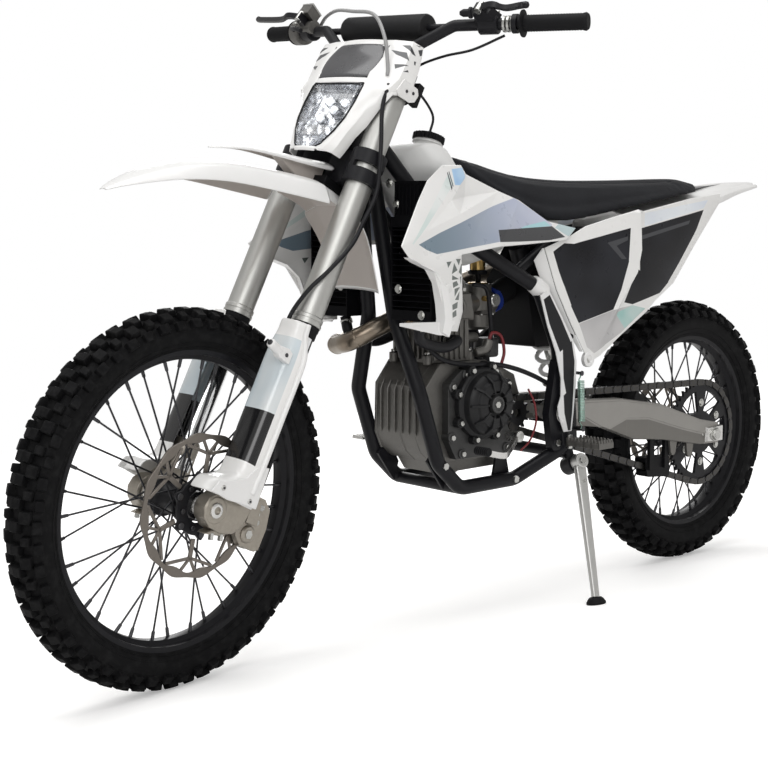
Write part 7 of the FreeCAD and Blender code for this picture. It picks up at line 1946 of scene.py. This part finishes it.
def standSpring():
    top, low = Vector((0.546, 0.150, 0.508)), Vector((0.540, 0.150, 0.388))
    run = low - top
    shape = Shape()
    points = []
    turns = 26
    for k in range(turns * 12 + 1):
        t = k / (turns * 12)
        a = fullTurn * turns * t
        p = top + run * (0.13 + 0.74 * t)
        points.append(p + Vector((0.0066 * cos(a), 0.0066 * sin(a), 0)))
    shape.tube(points, 0.0014, 6)
    for a, b in ((top, points[0]), (low, points[-1])):
        shape.tube(smooth([a + Vector((0.003, 0, 0)), a.lerp(b, 0.4) + Vector((-0.002, 0, 0)), a.lerp(b, 0.75), b], 5),
                   0.0014, 8)
        shape.boss(a.x, a.z, 0.1315, 0.153, 0.0034, 12, 1)
        shape.boss(a.x, a.z, 0.1525, 0.1545, 0.0055, 12, 1)
    fit("stand spring", shape, "chassis", ["zinc spring", "dark bolt steel"], ["stand_spring"], sharp=60)


metalFinish("stand alloy", (0.60, 0.60, 0.585), 0.38, 0.85, 0.1, (3, 3, 0.3), 300, 0.1)
pegs()
footControls()
sideStand()
standSpring()
print("pegs, pedals and stand are on")


# handlebar controls, drawn with x ahead of the steering axis
barForm = {"end": (-0.057, 0.407, 1.047), "knee": (0.0126, 0.165, 1.003), "bend": (0.030, 0.062, 0.925), "grip": 0.122}


def barFrame():
    end, knee = Vector(barForm["end"]), Vector(barForm["knee"])
    run = (end - knee).normalized()
    return end, run


def along(distance, ahead=0.0, over=0.0):
    end, run = barFrame()
    return end - run * distance + Vector((1, 0, 0.25)).normalized() * ahead + Vector((-0.25, 0, 1)).normalized() * over


def grips():
    shape = Shape()
    shape.tube([along(barForm["grip"] - 0.004 - k * 0.0026) for k in range(45)], [0.0147, 0.0158] * 22 + [0.0147], 28)
    shape.tube([along(-0.003), along(0.001), along(0.005)], [0.014, 0.0168, 0.0160], 28)
    shape.tube([along(barForm["grip"]), along(barForm["grip"] - 0.003), along(barForm["grip"] - 0.005)],
               [0.0250, 0.0255, 0.0165], 32)
    fit("grips", shape.both(), "steering", ["soft black rubber"], ["grips"], sharp=50)


def lever(shape, start, slot, kind):
    def at(inward, ahead=0.0, over=0.0):
        return along(start + inward, ahead, over)

    run = barFrame()[1]
    shape.tube([at(0.042), at(0.040), at(0.006), at(0.004)], [0.0165, 0.0185, 0.0185, 0.0165], 28, slot)
    shape.rod(at(0.012, 0.010, 0.010), at(0.012, 0.010, 0.024), 0.0042, 6, 2)
    shape.rod(at(0.034, 0.010, 0.010), at(0.034, 0.010, 0.024), 0.0042, 6, 2)
    shape.loft([[at(0.036, 0.014, -0.008), at(0.036, 0.014, 0.008), at(0.010, 0.014, 0.008), at(0.010, 0.014, -0.008)],
                [at(0.030, 0.048, -0.008), at(0.030, 0.048, 0.008), at(0.016, 0.048, 0.008),
                 at(0.016, 0.048, -0.008)]], slot)
    shape.rod(at(0.023, 0.042, -0.011), at(0.023, 0.042, 0.011), 0.0075, 20, 2, chamfer=0.0008)
    tipAt = 0.088 if kind == "clutch" else 0.010
    path = [at(0.023, 0.042), at(-0.010, 0.054, -0.008), at(-0.038, 0.052, -0.015),
            along(tipAt + 0.010, 0.056, -0.015), along(tipAt, 0.055, -0.012)]
    rings = []
    for i, p in enumerate(smooth(path, 5)):
        high = 0.0056 if i < 8 else 0.0046
        rings.append([p + Vector((0.0035, 0, -high)), p + Vector((0.0045, 0, high)), p + Vector((-0.0035, 0, high)),
                      p + Vector((-0.0045, 0, -high))])
    shape.loft(rings, 3)
    tip = along(tipAt - 0.001, 0.055, -0.012)
    shape.tube([tip - run * 0.007, tip - run * 0.0045, tip, tip + run * 0.0045, tip + run * 0.0065],
               [0.002, 0.0056, 0.0068, 0.0056, 0.002], 16, 3)


def handControls():
    left = Shape()
    lever(left, 0.163, 0, "clutch")
    left.tube([along(0.204, 0.030), along(0.223, 0.030), along(0.230, 0.030)], [0.0075, 0.0075, 0.004], 16)
    left.rod(along(0.206, 0.030), along(0.212, 0.030), 0.0110, 12, chamfer=0.001)
    for k in range(3):
        left.tube([along(0.1585 - 0.008 * k), along(0.1575 - 0.008 * k), along(0.1535 - 0.008 * k),
                   along(0.1525 - 0.008 * k)],
                  [0.0135, 0.0155, 0.0155, 0.0135], 24, 2)
    left.loft([[along(d, 0.010, h) for d, h in ((0.163, -0.012), (0.205, -0.010), (0.205, 0.010), (0.163, 0.014))],
               [along(d, 0.034, h) for d, h in ((0.170, -0.008), (0.200, -0.006), (0.200, 0.008), (0.170, 0.010))]], 0)
    left.tube([along(0.140), along(0.130)], [0.0180, 0.0180], 24)
    right = Shape()
    lever(right, 0.156, 0, "brake")
    cup = [along(0.204, 0.012, 0.010), along(0.204, 0.044, 0.010), along(0.160, 0.044, 0.010),
           along(0.160, 0.012, 0.010)]
    up = Vector((-0.25, 0, 1)).normalized()
    top = [p + up * 0.022 for p in cup]
    right.loft([cup, top], 1)
    lid = [p + up * 0.004 for p in top]
    right.loft([[p + (p - sum(top, Vector()) / 4) * 0.05 for p in ring] for ring in (top, lid)], 2)
    right.tube([along(0.212, 0.012), along(0.150, 0.012)], 0.0135, 24, 1)
    controls = left.joined(right.mirrored())
    fit("hand controls", controls, "steering", ["black anodised", "cast alloy", "bolt steel", "gloss black"],
        ["hand_controls"], bevel=0.0008, sharp=36)


def barPad():
    shape = Shape()
    r, height = 0.0268, 1.0
    bend, knee = Vector(barForm["bend"]), Vector(barForm["knee"])
    centre = bend.lerp(knee, (height - 0.925) / (1.003 - 0.925))
    line, radii = [], []
    for y, k in ((-0.1045, 0.80), (-0.103, 0.93), (-0.099, 1.0), (-0.06, 1.0), (0.06, 1.0), (0.099, 1.0),
                 (0.103, 0.93), (0.1045, 0.80)):
        line.append((centre.x, y, centre.z))
        radii.append(r * k)
    shape.tube(line, radii, 40)
    made = keep(Finish("pad cover", (0.011, 0.011, 0.012), 0.7, specular=0.25))
    made.set({"Roughness": made.noise(160, 3) * 0.2 + 0.55})
    made.bump(made.cells(700), 0.2, 0.0004)
    fit("bar pad", shape, "steering", ["pad cover"], ["bar_pad"], sharp=40)
    bits = Shape()
    for y in (0.046, -0.046):
        for x in (0.012, 0.048):
            bits.rod((x, y - 0.006, 0.946), (x, y - 0.006, 0.9495), 0.0045, 6)
            bits.rod((x, y + 0.006, 0.946), (x, y + 0.006, 0.9495), 0.0045, 6)
        bits.boss(0.030, 0.925, y - 0.0132, y + 0.0132, 0.0228, 32, 1)
    bits.rod((0, 0, 0.898), (0, 0, 0.9085), 0.0165, 6, chamfer=0.001)
    bits.rod((0, 0, 0.9085), (0, 0, 0.911), 0.008, 20)
    for y in (0.091, -0.091):
        for z in (0.668, 0.706, 0.884):
            bits.rod((-0.004, y * 0.72, z), (-0.0005, y * 0.72, z), 0.005, 6)
        bits.rod((0.024, y, 0.913), (0.024, y, 0.9165), 0.0175, 6, chamfer=0.001)
    fit("clamp bolts", bits, "steering", ["bolt steel", "black anodised"])


def throttle():
    shape = Shape()
    shape.tube([along(0.155), along(0.153), along(0.128), along(0.1245)], [0.022, 0.0255, 0.0258, 0.022], 36)
    shape.tube(smooth([along(0.140, 0.018, -0.012), along(0.150, 0.030, -0.020), along(0.178, 0.034, -0.026),
                       along(0.200, 0.030, -0.028)], 4), 0.0048, 12, 1)
    for k in range(2):
        shape.rod(along(0.135 + k * 0.012, 0.0255), along(0.135 + k * 0.012, 0.028), 0.0036, 12, 2)
    fit("throttle housing", shape.mirrored(), "steering", ["cast alloy", "rubber hose", "bolt steel"], sharp=34,
        bevel=0.0007)


grips()
handControls()
barPad()
throttle()
print("bar, grips and controls are on")


print("all pieces are on")
